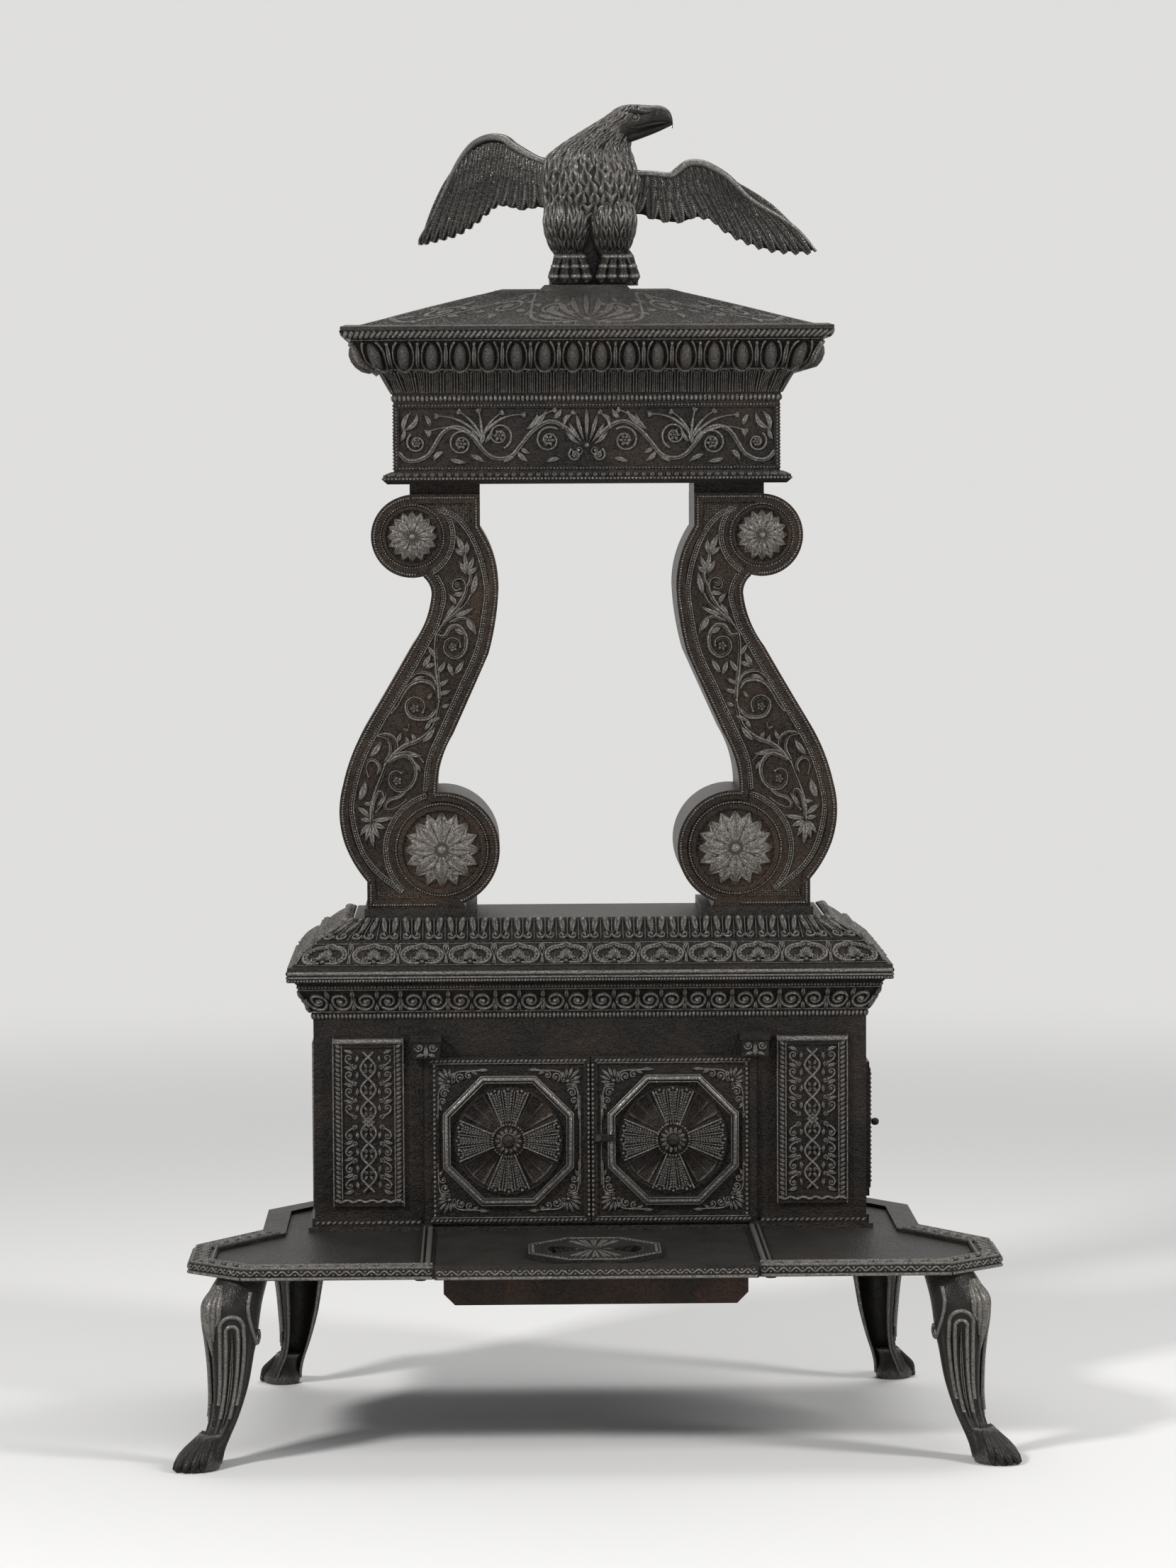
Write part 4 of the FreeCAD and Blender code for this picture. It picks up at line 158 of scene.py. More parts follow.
class Relief:
    """Raised ornament drawn flat, with u to the right, v up and a height, then laid on a surface."""

    def __init__(self):
        self.points = []
        self.crests = []
        self.faces = []
        self.count = 0

    def add(self, points, faces, crest=None, rub_and_highlight=1.0):
        """Points and faces; the crest says how much each point is worn bright and lightened by a painted
        highlight, most on the highest.
        """
        points = np.asarray(points, float)
        if crest is None:
            crest = rub_and_highlight * np.clip(points[:, 2] / max(0.8 * points[:, 2].max(), SINK), 0, 1)
        self.points.append(points)
        self.crests.append(crest)
        self.faces += [tuple(i + self.count for i in face) for face in faces]
        self.count += len(points)

    def grid(self, rows, wrap=False):
        """Faces over rows of points that have the same number each."""
        count, across = rows.shape[0], rows.shape[1]
        faces = []
        for i in range(count - (0 if wrap else 1)):
            k = (i + 1) % count
            for j in range(across - 1):
                faces.append((i * across + j, k * across + j, k * across + j + 1, i * across + j + 1))
        self.add(rows.reshape(-1, 3), faces)

    def stroke(self, line, half_width, height, section=ROUND, closed=False):
        """A raised band along a line; its half width and height may change along it."""
        line = np.asarray(line, float)
        if closed:
            around = np.vstack([line[-1], line, line[0]])
            left = sides_of(around)[1][1:-1]
        else:
            left = sides_of(line)[1]
        half_width = np.broadcast_to(half_width, len(line))
        height = np.broadcast_to(height, len(line))
        rows = np.zeros((len(line), len(section), 3))
        for j, (across, up) in enumerate(section):
            rows[:, j, :2] = line + left * (half_width * across)[:, None]
            rows[:, j, 2] = -SINK if up is None else height * up
        self.grid(rows, closed)

    def vine(self, line, half_width, height, tail):
        """A stroke that thins to nothing at its far end and a little at its root."""
        share = np.linspace(0, 1, len(line))
        width = half_width * np.minimum(1, 0.45 + share / 0.12) * np.clip((1.02 - share) / 0.6, tail, 1)
        self.stroke(line, width, height * np.minimum(1, width / half_width + 0.2))
        self.dome(line[-1], width[-1] * 1.8, width[-1] * 1.8, height * 0.8, 8)

    def leaf(self, root, tip, half_width, height, bend=0.0, fat=0.42):
        """A pointed leaf from root to tip, bent to its left and widest at the share fat of its length."""
        line = bowed(root, tip, bend, 9)
        share = np.linspace(0, 1, 9)
        width = half_width * np.sin(np.pi * np.clip(share, 0.03, 0.99) ** fat_power(fat))
        rise = height * (0.55 + 0.45 * np.sin(np.pi * share))
        self.stroke(line, np.maximum(width, half_width * 0.06), rise, VEINED)

    def dome(self, centre, half_wide, half_tall, height, count=10,
             rings=((1.0, None), (0.78, 0.62), (0.42, 0.93)), rub_and_highlight=1.0):
        """A rounded boss on an elliptical foot, through rings given as shares of its size and height."""
        angles = np.linspace(0, 2 * math.pi, count, endpoint=False)
        points = []
        for share, up in rings:
            level = -SINK if up is None else height * up
            points.append(np.column_stack([centre[0] + half_wide * share * np.cos(angles),
                                           centre[1] + half_tall * share * np.sin(angles),
                                           np.full(count, level)]))
        points.append(np.array([[centre[0], centre[1], height]]))
        faces = []
        for i in range(len(rings) - 1):
            for j in range(count):
                k = (j + 1) % count
                faces.append((i * count + j, i * count + k, (i + 1) * count + k, (i + 1) * count + j))
        last = (len(rings) - 1) * count
        for j in range(count):
            faces.append((last + j, last + (j + 1) % count, last + count))
        self.add(np.vstack(points), faces, rub_and_highlight=rub_and_highlight)

    def beads(self, line, pitch, radius, height, count=6):
        """A row of small bosses along a line."""
        for point in even(line, pitch):
            self.dome(point, radius, radius, height, count, rings=((1.0, None), (0.72, 0.72)))

    def ring(self, centre, radius, half_width, height):
        self.stroke(arc(centre, radius, 0, 360)[:-1], half_width, height, closed=True)

    def curl(self, centre, radius, start, turn, half_width, height, button=True):
        """A scroll with a small boss at its heart."""
        line = spiral(centre, radius, radius * 0.22, start, turn)
        self.stroke(line, half_width * np.linspace(1, 0.7, len(line)), height)
        if button:
            self.dome(centre, radius * 0.34, radius * 0.34, height * 1.3, 8)

    def petals(self, centre, inner, outer, count, half_width, height, start=0.0, lobes=True):
        """Leaves round a centre; with lobes, each leaf has two small ones beside its tip."""
        at = np.array(centre)
        for i in range(count):
            way = polar(math.radians(start + 360.0 * i / count), 1)
            across = np.array([-way[1], way[0]])
            self.leaf(at + way * inner, at + way * outer, half_width, height)
            if lobes:
                middle = inner + (outer - inner) * 0.35
                for side in SIDES:
                    tip = at + way * (outer * 0.9) + across * (side * half_width * 1.35)
                    self.leaf(at + way * middle, tip, half_width * 0.42, height * 0.8, bend=0.12 * side)

    def merged(self, other, place=lambda p: p):
        """Adds another drawing, each of its points put through a function of (u, v, height) rows."""
        turned = mirrors(place)
        faces = [face[::-1] if turned else face for face in other.faces]
        self.add(place(np.vstack(other.points)), faces, np.concatenate(other.crests))

    def both_ways(self, other):
        """Adds a drawing and its mirror image about the upright through its middle."""
        for flip in SIDES:
            self.merged(other, lambda p: p * (flip, 1, 1))

    def four_ways(self, other):
        """Adds a quarter's drawing to all four quarters."""
        for across in SIDES:
            for up in SIDES:
                self.merged(other, lambda p: p * (across, up, 1))

    def in_corners(self, other, corner):
        """Adds a drawing in all four corners, its upright pointing out; corner is the upper right one."""
        angle = math.radians(-45)
        turn = np.array([[math.cos(angle), -math.sin(angle)], [math.sin(angle), math.cos(angle)]])

        def turned(p):
            return np.column_stack([p[:, :2] @ turn.T + corner, p[:, 2]])

        quarter = Relief()
        quarter.merged(other, turned)
        self.four_ways(quarter)

    def laid(self, name, place, body="stove", slot="black_iron", material=None):
        """Makes the object: place takes the array of (u, v, height) and gives points in space."""
        drawn = np.vstack(self.points)
        faces = [face[::-1] for face in self.faces] if mirrors(place) else self.faces
        made = piece(name, place(drawn), faces, body, slot, material)
        # The crest drives the material's wear and painted highlight
        crest = made.data.attributes.new("crest", "FLOAT", "POINT")
        crest.data.foreach_set("value", np.concatenate(self.crests))
        return made


def mirrors(place):
    """Whether laying a drawing turns its faces inside out."""
    o, u, v, h = place(np.array([[0, 0, 0], [MM, 0, 0], [0, MM, 0], [0, 0, MM]], float))
    return np.dot(np.cross(u - o, v - o), h - o) < 0


def fat_power(fat):
    """Moves a leaf's widest place towards its root for a small value."""
    return math.log(0.5) / math.log(fat)


def piece(name, points, faces, body, slot, material):
    """One named object that rides a body of the frame."""
    mesh = bpy.data.meshes.new(name)
    mesh.from_pydata([tuple(p) for p in points], [], faces)
    mesh.update()
    thing = bpy.data.objects.new(name, mesh)
    bpy.context.scene.collection.objects.link(thing)
    mesh.materials.append(material or MATERIALS[slot])
    mesh.polygons.foreach_set("use_smooth", [True] * len(mesh.polygons))
    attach(thing, body)
    return thing


def sheet(origin, right, up, out):
    """Lays a drawing on a flat sheet: u runs right, v runs up and height runs out."""
    origin, right, up, out = (np.array(v, float) for v in (origin, right, up, out))
    return lambda p: origin + p[:, :1] * right + p[:, 1:2] * up + p[:, 2:] * out


def front_sheet(y, x=0.0, z=0.0):
    return sheet((x, y, z), (1, 0, 0), (0, 0, 1), (0, -1, 0))


def end_sheet(x, side, y=0.0, z=0.0):
    """The end wall on one side: u runs to the right as seen from outside."""
    return sheet((x, y, z), (0, side, 0), (0, 0, 1), (side, 0, 0))


# Materials

def node_of(tree, kind, **values):
    made = tree.nodes.new(kind)
    for key, value in values.items():
        if key in made.inputs:
            made.inputs[key].default_value = value
        else:
            setattr(made, key, value)
    return made


RUST = (0.16, 0.045, 0.018)
# Grey for ornament crests and sharp edges: partly rubbing wear, partly a painted highlight
WORN_AND_HIGHLIGHT_GREY = (0.26, 0.246, 0.226)


def iron(name, dark, brown, dust, rough, pit, rust=0.0, crest_wear_and_highlight=0.7, edges=0.0):
    """Sand-cast iron: pitted skin, brown hollows, dust where it faces up, ornament worn bright and lightened
    by a painted highlight with painted glints.
    """
    material = bpy.data.materials.new(name)
    material.use_nodes = True
    tree = material.node_tree
    tree.nodes.clear()
    link = tree.links.new
    out = node_of(tree, "ShaderNodeOutputMaterial")
    shader = node_of(tree, "ShaderNodeBsdfPrincipled")
    shader.inputs["Specular IOR Level"].default_value = 0.16
    link(shader.outputs["BSDF"], out.inputs["Surface"])
    place = node_of(tree, "ShaderNodeTexCoord").outputs["Object"]

    def noise(scale, detail, roughness=0.55):
        made = node_of(tree, "ShaderNodeTexNoise", Scale=scale, Detail=detail, Roughness=roughness)
        link(place, made.inputs["Vector"])
        return made.outputs["Fac"]

    def ramp(source, start, end):
        made = node_of(tree, "ShaderNodeValToRGB")
        made.color_ramp.elements[0].position = start
        made.color_ramp.elements[1].position = end
        link(source, made.inputs["Fac"])
        return made.outputs["Color"]

    def mix(amount, first, second):
        made = node_of(tree, "ShaderNodeMix", data_type="RGBA")
        link(amount, made.inputs["Factor"])
        for socket, value in ((made.inputs[6], first), (made.inputs[7], second)):
            if isinstance(value, tuple):
                socket.default_value = (*value, 1)
            else:
                link(value, socket)
        return made.outputs[2]

    def maths(kind, first, second):
        made = node_of(tree, "ShaderNodeMath", operation=kind)
        for socket, value in zip(made.inputs, (first, second)):
            if isinstance(value, (int, float)):
                socket.default_value = value
            else:
                link(value, socket)
        return made.outputs[0]

    blotch = ramp(noise(14, 4), 0.42, 0.68)
    colour = mix(blotch, dark, brown)
    geometry = node_of(tree, "ShaderNodeNewGeometry")
    level = node_of(tree, "ShaderNodeSeparateXYZ")
    link(geometry.outputs["Normal"], level.inputs[0])
    upward = ramp(level.outputs["Z"], 0.35, 0.95)
    patchy = ramp(noise(30, 5, 0.65), 0.3, 0.7)
    colour = mix(maths("MULTIPLY", maths("MULTIPLY", upward, patchy), 0.8), colour, dust)
    if rust:
        spots = ramp(noise(42, 5, 0.7), 0.58, 0.7)
        colour = mix(maths("MULTIPLY", spots, rust), colour, RUST)
    # Sharp edges or relief crests are lightened towards grey: partly rubbing wear, partly a painted highlight
    if edges:
        wear_and_painted_highlight = maths("MULTIPLY", ramp(geometry.outputs["Pointiness"], 0.51, 0.58), edges)
    else:
        crest = node_of(tree, "ShaderNodeAttribute", attribute_name="crest").outputs["Fac"]
        wear_and_painted_highlight = maths("MULTIPLY", crest, crest_wear_and_highlight)
    # Fine noise breaks the worn, lightened crests into painted glints
    painted_glints = ramp(noise(430, 3, 0.7), 0.4, 0.62)
    wear_and_painted_highlight = maths("MULTIPLY", wear_and_painted_highlight, maths("ADD", maths("MULTIPLY", painted_glints, 0.75), 0.5))
    # Mixes the grey of the wear and the painted highlight into the colour
    colour = mix(wear_and_painted_highlight, colour, WORN_AND_HIGHLIGHT_GREY)
    link(colour, shader.inputs["Base Color"])
    link(maths("ADD", maths("MULTIPLY", wear_and_painted_highlight, 0.6), 0.15), shader.inputs["Metallic"])
    fine = noise(650, 3, 0.6)
    link(maths("ADD", maths("MULTIPLY", fine, 0.22), rough), shader.inputs["Roughness"])
    lumps = noise(170, 3, 0.5)
    pits = node_of(tree, "ShaderNodeTexVoronoi", Scale=420.0)
    link(place, pits.inputs["Vector"])
    pitted = ramp(pits.outputs["Distance"], 0.08, 0.42)
    height = maths("ADD", maths("MULTIPLY", fine, 0.5), maths("ADD", maths("MULTIPLY", pitted, 0.5), lumps))
    bump = node_of(tree, "ShaderNodeBump", Strength=pit, Distance=0.0022)
    link(height, bump.inputs["Height"])
    link(bump.outputs["Normal"], shader.inputs["Normal"])
    return material


# Colours of the dark skin, the brown in the hollows and the dust; then roughness and depth of the pits; rusty
# iron adds its rust and how much its crests are worn bright and lightened by a painted highlight
FINISHES = {
    "black_iron": ((0.0125, 0.011, 0.0099), (0.025, 0.0182, 0.014), (0.075, 0.07, 0.064), 0.2, 0.8),
    "grey_iron": ((0.019, 0.0174, 0.016), (0.031, 0.0262, 0.0225), (0.042, 0.0388, 0.0352), 0.28, 0.9),
    "rusty_iron": ((0.02, 0.0145, 0.0115), (0.042, 0.025, 0.017), (0.06, 0.047, 0.038),
                   0.34, 0.7, 0.35, 0.35),
    "iron_fasteners": ((0.03, 0.028, 0.026), (0.045, 0.038, 0.033), (0.08, 0.073, 0.066), 0.28, 0.3),
}
MATERIALS = {name: iron(name, *values) for name, values in FINISHES.items()}
BROWN_IRON = iron("column_iron", (0.018, 0.0133, 0.0101), (0.038, 0.0245, 0.0163), (0.08, 0.072, 0.064),
                  0.22, 0.9)
# Roof ornament gets less of the wear and painted highlight on its crests
ROOF_IRON = iron("roof_iron", (0.03, 0.028, 0.0262), (0.044, 0.038, 0.033), (0.1, 0.094, 0.087),
                 0.3, 1.0, crest_wear_and_highlight=0.3)
# Gloss iron lightens its sharp edges found by pointiness: partly wear, partly a painted highlight
GLOSS_IRON = iron("gloss_iron", (0.014, 0.013, 0.0122), (0.023, 0.02, 0.0178), (0.06, 0.057, 0.054),
                  0.14, 0.35, edges=0.7)


def dress_nodes():
    """Gives each solid of the frame its slot's material, or that of the carving laid on it."""
    slots = {part["node"]: part["material_slot"] for part in frame["record"]["subparts"]}
    for name, thing in frame["nodes"].items():
        material = MATERIALS[slots[name]]
        if name.startswith(("column_right", "column_left")):
            material = BROWN_IRON
        if name.startswith(("leg_front", "leg_rear", "eagle_body", "eagle_wing")):
            material = GLOSS_IRON
        if name == "roof_plate":
            material = ROOF_IRON
        thing.data.materials.clear()
        thing.data.materials.append(material)


# Columns

INNER_EDGE = (
    (0.429, 0.921), (0.375, 0.853), (0.356, 0.775), (0.364, 0.716), (0.398, 0.615),
    (0.473, 0.514), (0.542, 0.422), (0.593, 0.350), (0.607, 0.278),
)
OUTER_EDGE = (
    (0.891, 0.066), (0.938, 0.105), (0.978, 0.155), (1.000, 0.228), (0.985, 0.300), (0.949, 0.372),
    (0.891, 0.443), (0.805, 0.530), (0.709, 0.630), (0.645, 0.702), (0.624, 0.759), (0.633, 0.783),
    (0.655, 0.800),
)
LOWER_VOLUTE = (0.590, 65.0 * MM / COLUMN_HIGH)
UPPER_VOLUTE = (0.700, 1 - 46.4 * MM / COLUMN_HIGH)
LOWER_RADIUS = 64.0 * MM
UPPER_RADIUS = 45.4 * MM
LOWER_ROSETTE = 49.0 * MM
UPPER_ROSETTE = 33.0 * MM
BORDER_BEAD = 3.4 * MM
FIELD_BEAD = 13.0 * MM
COLUMN_SUNK = 2.5 * MM
BEAD_PITCH = 2.9 * MM
BEAD_RADIUS = 1.45 * MM
# The straight rows at the foot and the head, from the inner end to the outer one, and their way in
FOOT_ROW = (170 * MM, 241 * MM)
HEAD_ROW = (122 * MM, 191 * MM)
ROW_INSET = 4 * MM


def on_column(share):
    return np.array([COLUMN_REACH * share[0], COLUMN_HIGH * share[1]])


def column_border(relief):
    """A row of beads along the edges, the free sides of the volutes, the foot and the head."""
    inner = smooth([on_column(p) for p in INNER_EDGE])
    outer = smooth([on_column(p) for p in OUTER_EDGE])
    lower, upper = on_column(LOWER_VOLUTE), on_column(UPPER_VOLUTE)
    (foot_in, foot_out), (head_in, head_out) = FOOT_ROW, HEAD_ROW
    low_row, high_row = ROW_INSET, COLUMN_HIGH - ROW_INSET
    # The inner edge runs down and the outer edge runs up, so the column lies to the left of both
    for line in (
        shifted(inner, BORDER_BEAD), shifted(outer, BORDER_BEAD),
        arc(lower, LOWER_RADIUS - BORDER_BEAD, 84, 249),
        arc(upper, UPPER_RADIUS - BORDER_BEAD, 85, -94),
        [(foot_in, low_row), (foot_out, low_row)],
        [(foot_out, low_row), (foot_out, 26 * MM)],
        [(head_in, high_row), (head_out, high_row)],
        [(head_in, high_row), (head_in, on_column(INNER_EDGE[0])[1])],
    ):
        relief.beads(line, BEAD_PITCH, BEAD_RADIUS, 1.9 * MM)
    return inner, outer, lower, upper


# The second rows run to a point beside each volute: shares across and up
INNER_TIP = ((0.594, 0.963), (0.537, 0.951), (0.487, 0.921), (0.447, 0.879), (0.420, 0.831))
OUTER_TIP = ((0.752, 0.041), (0.848, 0.087), (0.904, 0.131), (0.934, 0.180), (0.949, 0.225))
OUTER_TURN = ((0.585, 0.725), (0.576, 0.752), (0.584, 0.778), (0.606, 0.803))


def column_field(relief, inner, outer, lower, upper):
    """The second row of beads, with a fine ridge beside it, and the line that closes each volute."""
    inward, outward = shifted(inner, FIELD_BEAD), shifted(outer, FIELD_BEAD)
    inward = inward[inward[:, 1] < 0.78 * COLUMN_HIGH]
    outward = outward[(outward[:, 1] > 0.25 * COLUMN_HIGH) & (outward[:, 1] < 0.69 * COLUMN_HIGH)]
    tips = (INNER_TIP, OUTER_TIP, OUTER_TURN)
    inner_tip, outer_tip, turn = ([on_column(p) for p in points] for points in tips)
    rows = (
        smooth(np.vstack([inner_tip, inward[::4]])),
        smooth(np.vstack([outer_tip, outward[::4], turn])),
        arc(lower, LOWER_RADIUS - 2 * MM, 74, -46),
        arc(upper, UPPER_RADIUS - 0.5 * MM, 137, 246),
    )
    for line, away in zip(rows, (1, 1, 1, -1)):
        relief.beads(line, BEAD_PITCH, BEAD_RADIUS, 2.6 * MM)
        relief.stroke(shifted(line, away * 2.3 * MM), 0.8 * MM, 2.0 * MM)
        relief.stroke(shifted(line, -away * 2.1 * MM), 0.6 * MM, 1.6 * MM)


def pebbles(relief, left, right, bottom, top, seed):
    """Cast pebbling between two lines, as small bosses set at random."""
    random = np.random.default_rng(seed)
    for v in np.arange(bottom, top, 2.7 * MM):
        for u in np.arange(left, right, 2.9 * MM):
            size = random.uniform(0.8, 1.35) * MM
            # Pebbles get a weak share of the wear and painted highlight
            relief.dome((u + random.uniform(-0.7, 0.7) * MM, v + random.uniform(-0.7, 0.7) * MM), size, size,
                        random.uniform(0.6, 1.1) * MM, 5, rings=((1.0, None), (0.7, 0.75)), rub_and_highlight=0.45)


ROSETTE_LEAVES = 8
ROSETTE_DOME = 4.2 * MM


def rosette(relief, centre, radius):
    """An acanthus rosette in two rings round a button, with a beaded rim."""
    relief.beads(arc(centre, radius + 1.6 * MM, 0, 360)[:-1], BEAD_PITCH, BEAD_RADIUS, 2.8 * MM)
    relief.ring(centre, radius - 1.6 * MM, 1.3 * MM, 2.6 * MM)
    fresh = Relief()
    fresh.petals((0, 0), radius * 0.22, radius * 0.86, ROSETTE_LEAVES, radius * 0.21, 4.4 * MM, 22.5)
    fresh.petals((0, 0), radius * 0.16, radius * 0.74, ROSETTE_LEAVES, radius * 0.18, 5.8 * MM, 0.0)
    fresh.petals((0, 0), radius * 0.10, radius * 0.34, ROSETTE_LEAVES, radius * 0.09, 5.6 * MM, 22.5,
                 lobes=False)
    for i in range(ROSETTE_LEAVES):
        way = polar(math.radians(360.0 * i / ROSETTE_LEAVES), 1)
        fresh.stroke([way * radius * 0.14, way * radius * 0.5, way * radius * 0.84], 0.9 * MM,
                     np.array([5.6, 4.8, 2.4]) * MM, RIB)
    fresh.dome((0, 0), radius * 0.14, radius * 0.14, 7.4 * MM, 14)

    def raised(points):
        distance = np.hypot(points[:, 0], points[:, 1])
        lifted = points + (*centre, 0)
        lifted[:, 2] += ROSETTE_DOME * np.clip(1 - (distance / radius - 0.3) / 0.52, 0, 1)
        return lifted

    relief.merged(fresh, raised)


# The vine is drawn on a sheet of squares, across and down. Each line is a stem, a scroll's run or a
# leaf's edge, and its last number is its half width in millimetres
VINE_LINES = (
    ((165, 1045), (168, 960), (190, 880), (222, 800), (240, 750), 1.6),
    ((238, 755), (285, 695), (335, 655), (390, 635), (440, 605), (480, 560), (500, 500), (512, 440), 1.7),
    ((512, 445), (506, 360), (497, 280), (492, 200), (497, 120), (524, 68), 1.6),
    ((524, 72), (558, 20), (600, -25), (632, -75), (648, -117), (644, -152), (618, -168), (590, -155),
     (583, -128), (600, -110), (622, -118), 1.5),
    ((540, 45), (590, 5), (645, -40), (672, -85), 1.4),
    ((245, 745), (300, 712), (350, 706), (388, 745), (398, 800), (380, 850), (345, 882), (300, 886),
     (268, 862), (258, 825), (268, 795), (295, 783), (322, 795), 1.5),
    ((508, 470), (470, 520), (420, 532), (370, 520), (345, 480), (350, 440), (385, 418), (425, 430),
     (440, 462), (430, 496), 1.5),
    ((500, 108), (540, 112), (566, 72), (610, 62), (645, 100), (655, 150), (640, 200), (600, 228), (560, 215),
     (538, 180), (548, 140), (580, 125), (615, 140), (620, 170), 1.5),
    ((498, 388), (470, 352), (420, 342), (370, 362), (332, 410), (308, 455), (275, 495), 1.5),
    ((500, 362), (484, 322), (440, 300), (395, 305), (350, 342), 1.3),
    ((198, 805), (210, 768), (190, 737), (162, 735), (146, 768), (156, 812), 1.3),
    ((166, 1005), (180, 930), (205, 885), (228, 895), (225, 945), (192, 988), 1.4),
    ((238, 738), (262, 692), (262, 652), (244, 622), (206, 610), 1.2),
    ((206, 603), (255, 598), (295, 624), (303, 670), (285, 710), (262, 737), 1.2),
    ((350, 880), (310, 915), (265, 930), (242, 955), (255, 976), (300, 962), (345, 930), 1.4),
    ((565, 49), (618, 24), (663, 34), (690, 64), (697, 104), 1.3),
    ((648, -120), (670, -165), (664, -225), (648, -290), 1.3),
    ((330, 572), (352, 582), (362, 556), 1.0),
    ((285, 700), (340, 690), (395, 700), (432, 742), 1.2),
)
# Buds and leaves: root and tip on the same sheet, and half width in millimetres
VINE_LEAVES = (
    ((112, 928), (142, 832), 4.4), ((166, 712), (224, 636), 3.6), ((430, 642), (492, 568), 3.4),
    ((652, 28), (698, 102), 3.4), ((678, -90), (702, -198), 3.8), ((560, 250), (588, 318), 3.0),
    ((592, 304), (636, 236), 3.4), ((432, 268), (472, 204), 3.2), ((440, 318), (374, 340), 2.6),
    ((355, 662), (345, 612), 2.4), ((392, 640), (372, 596), 2.4), ((350, 700), (428, 708), 2.6),
    ((160, 1012), (98, 962), 3.4), ((165, 1034), (112, 1022), 3.0), ((165, 1044), (112, 1108), 3.2),
    ((168, 1048), (142, 1136), 3.2), ((172, 1048), (180, 1166), 3.4), ((176, 1046), (212, 1122), 3.2),
    ((176, 1040), (242, 1070), 3.2), ((174, 1030), (284, 1012), 3.0), ((180, 950), (128, 948), 2.6),
    ((510, 362), (562, 330), 2.6), ((505, 300), (546, 240), 3.0), ((512, 404), (572, 384), 2.8),
    ((494, 252), (440, 278), 2.8), ((494, 222), (452, 160), 2.6), ((452, 430), (480, 394), 2.0),
    ((642, -92), (584, -84), 3.0), ((602, -40), (562, -92), 2.8), ((588, 19), (688, -24), 3.0),
    ((550, 22), (594, -44), 2.8), ((595, 80), (650, 110), 3.0), ((652, -190), (616, -252), 3.2),
    ((654, -200), (640, -290), 3.0), ((656, -200), (690, -276), 3.2), ((658, -190), (708, -226), 3.0),
    ((640, -290), (602, -382), 3.8), ((652, -290), (656, -356), 3.0), ((636, -280), (592, -318), 2.8),
    ((300, 640), (322, 590), 2.4), ((200, 960), (246, 900), 2.6), ((520, 520), (446, 552), 2.4),
    ((470, 545), (440, 585), 2.4), ((524, 470), (566, 452), 2.6), ((396, 745), (420, 790), 2.4),
)
# Flowers: middle on the sheet, and radius in millimetres
VINE_FLOWERS = ((300, 834, 5.2), (390, 474, 5.4), (584, 172, 5.4), (606, -138, 3.6))


def vine_field(relief):
    """The scrolling plant that climbs the column between its rows of beads."""
    def at(across, down):
        return on_column((1.008 - across / 1247, 0.715 - down / 2055))

    for *points, half_width in VINE_LINES:
        line = smooth([at(*p) for p in points], 1.6 * MM)
        relief.vine(line, half_width * MM, 3.4 * MM, tail=0.6)
        relief.vine(shifted(line, 1.5 * half_width * MM)[2:-3], half_width * 0.5 * MM, 2.4 * MM, tail=0.5)
    for root, tip, half_width in VINE_LEAVES:
        relief.leaf(at(*root), at(*tip), half_width * MM, 3.5 * MM, bend=0.08)
    for across, down, radius in VINE_FLOWERS:
        relief.petals(at(across, down), 1.2 * MM, radius * MM, 5, 1.7 * MM, 3.2 * MM, lobes=False)
        relief.dome(at(across, down), 1.5 * MM, 1.5 * MM, 4.0 * MM, 8)


def columns():
    """Rows of beads, vine, pebbled ground and rosettes, the left column's mirrored from the right one's."""
    edge, field, flowers = Relief(), Relief(), Relief()
    inner, outer, lower, upper = column_border(edge)
    column_field(field, inner, outer, lower, upper)
    vine_field(field)
    pebbles(field, 172 * MM, 233 * MM, 12 * MM, 20 * MM, 3)
    pebbles(field, 130 * MM, 166 * MM, COLUMN_HIGH - 30 * MM, COLUMN_HIGH - 11 * MM, 4)
    rosette(flowers, lower, LOWER_ROSETTE)
    rosette(flowers, upper, UPPER_ROSETTE)
    for side, name in NAMED_SIDES:
        face, sunk = (sheet((0, y, COLUMN_FOOT), (side, 0, 0), (0, 0, 1), (0, -1, 0))
                      for y in (COLUMN_FACE, COLUMN_FACE + COLUMN_SUNK))
        edge.laid(f"column_{name}_edge_beads", face, material=BROWN_IRON)
        field.laid(f"column_{name}_vine", sunk, material=BROWN_IRON)
        flowers.laid(f"column_{name}_rosettes", sunk, material=BROWN_IRON)


# Bands of ornament that run round the front and the ends

BODY_CORNICE = ((0.00, 0.00), (0.08, 0.20), (0.35, 0.50), (0.75, 0.80), (0.80, 0.90), (1.00, 1.00))
LID_SLOPE = (
    (0.00, 0.00), (0.00, 0.14), (0.09, 0.17), (0.22, 0.38), (0.40, 0.55), (0.59, 0.66), (0.94, 0.68),
    (0.97, 0.90), (1.00, 1.00),
)
BASE_PLATE = ((0.60, 0.00), (1.00, 0.28), (1.00, 0.55), (0.15, 0.85), (0.00, 1.00))
CORNICE = (
    (0.00, 0.00), (0.02, 0.12), (0.06, 0.23), (0.14, 0.35), (0.33, 0.46), (0.58, 0.60), (0.68, 0.75),
    (0.79, 0.88), (0.91, 0.89), (1.00, 1.00),
)


def profile(shares, half_x, half_y, run_x, run_y, level, rise):
    """Half width, half depth and height at each point of a mould."""
    return [np.array([half_x + run_x * out, half_y + run_y * out, level + rise * up]) for out, up in shares]


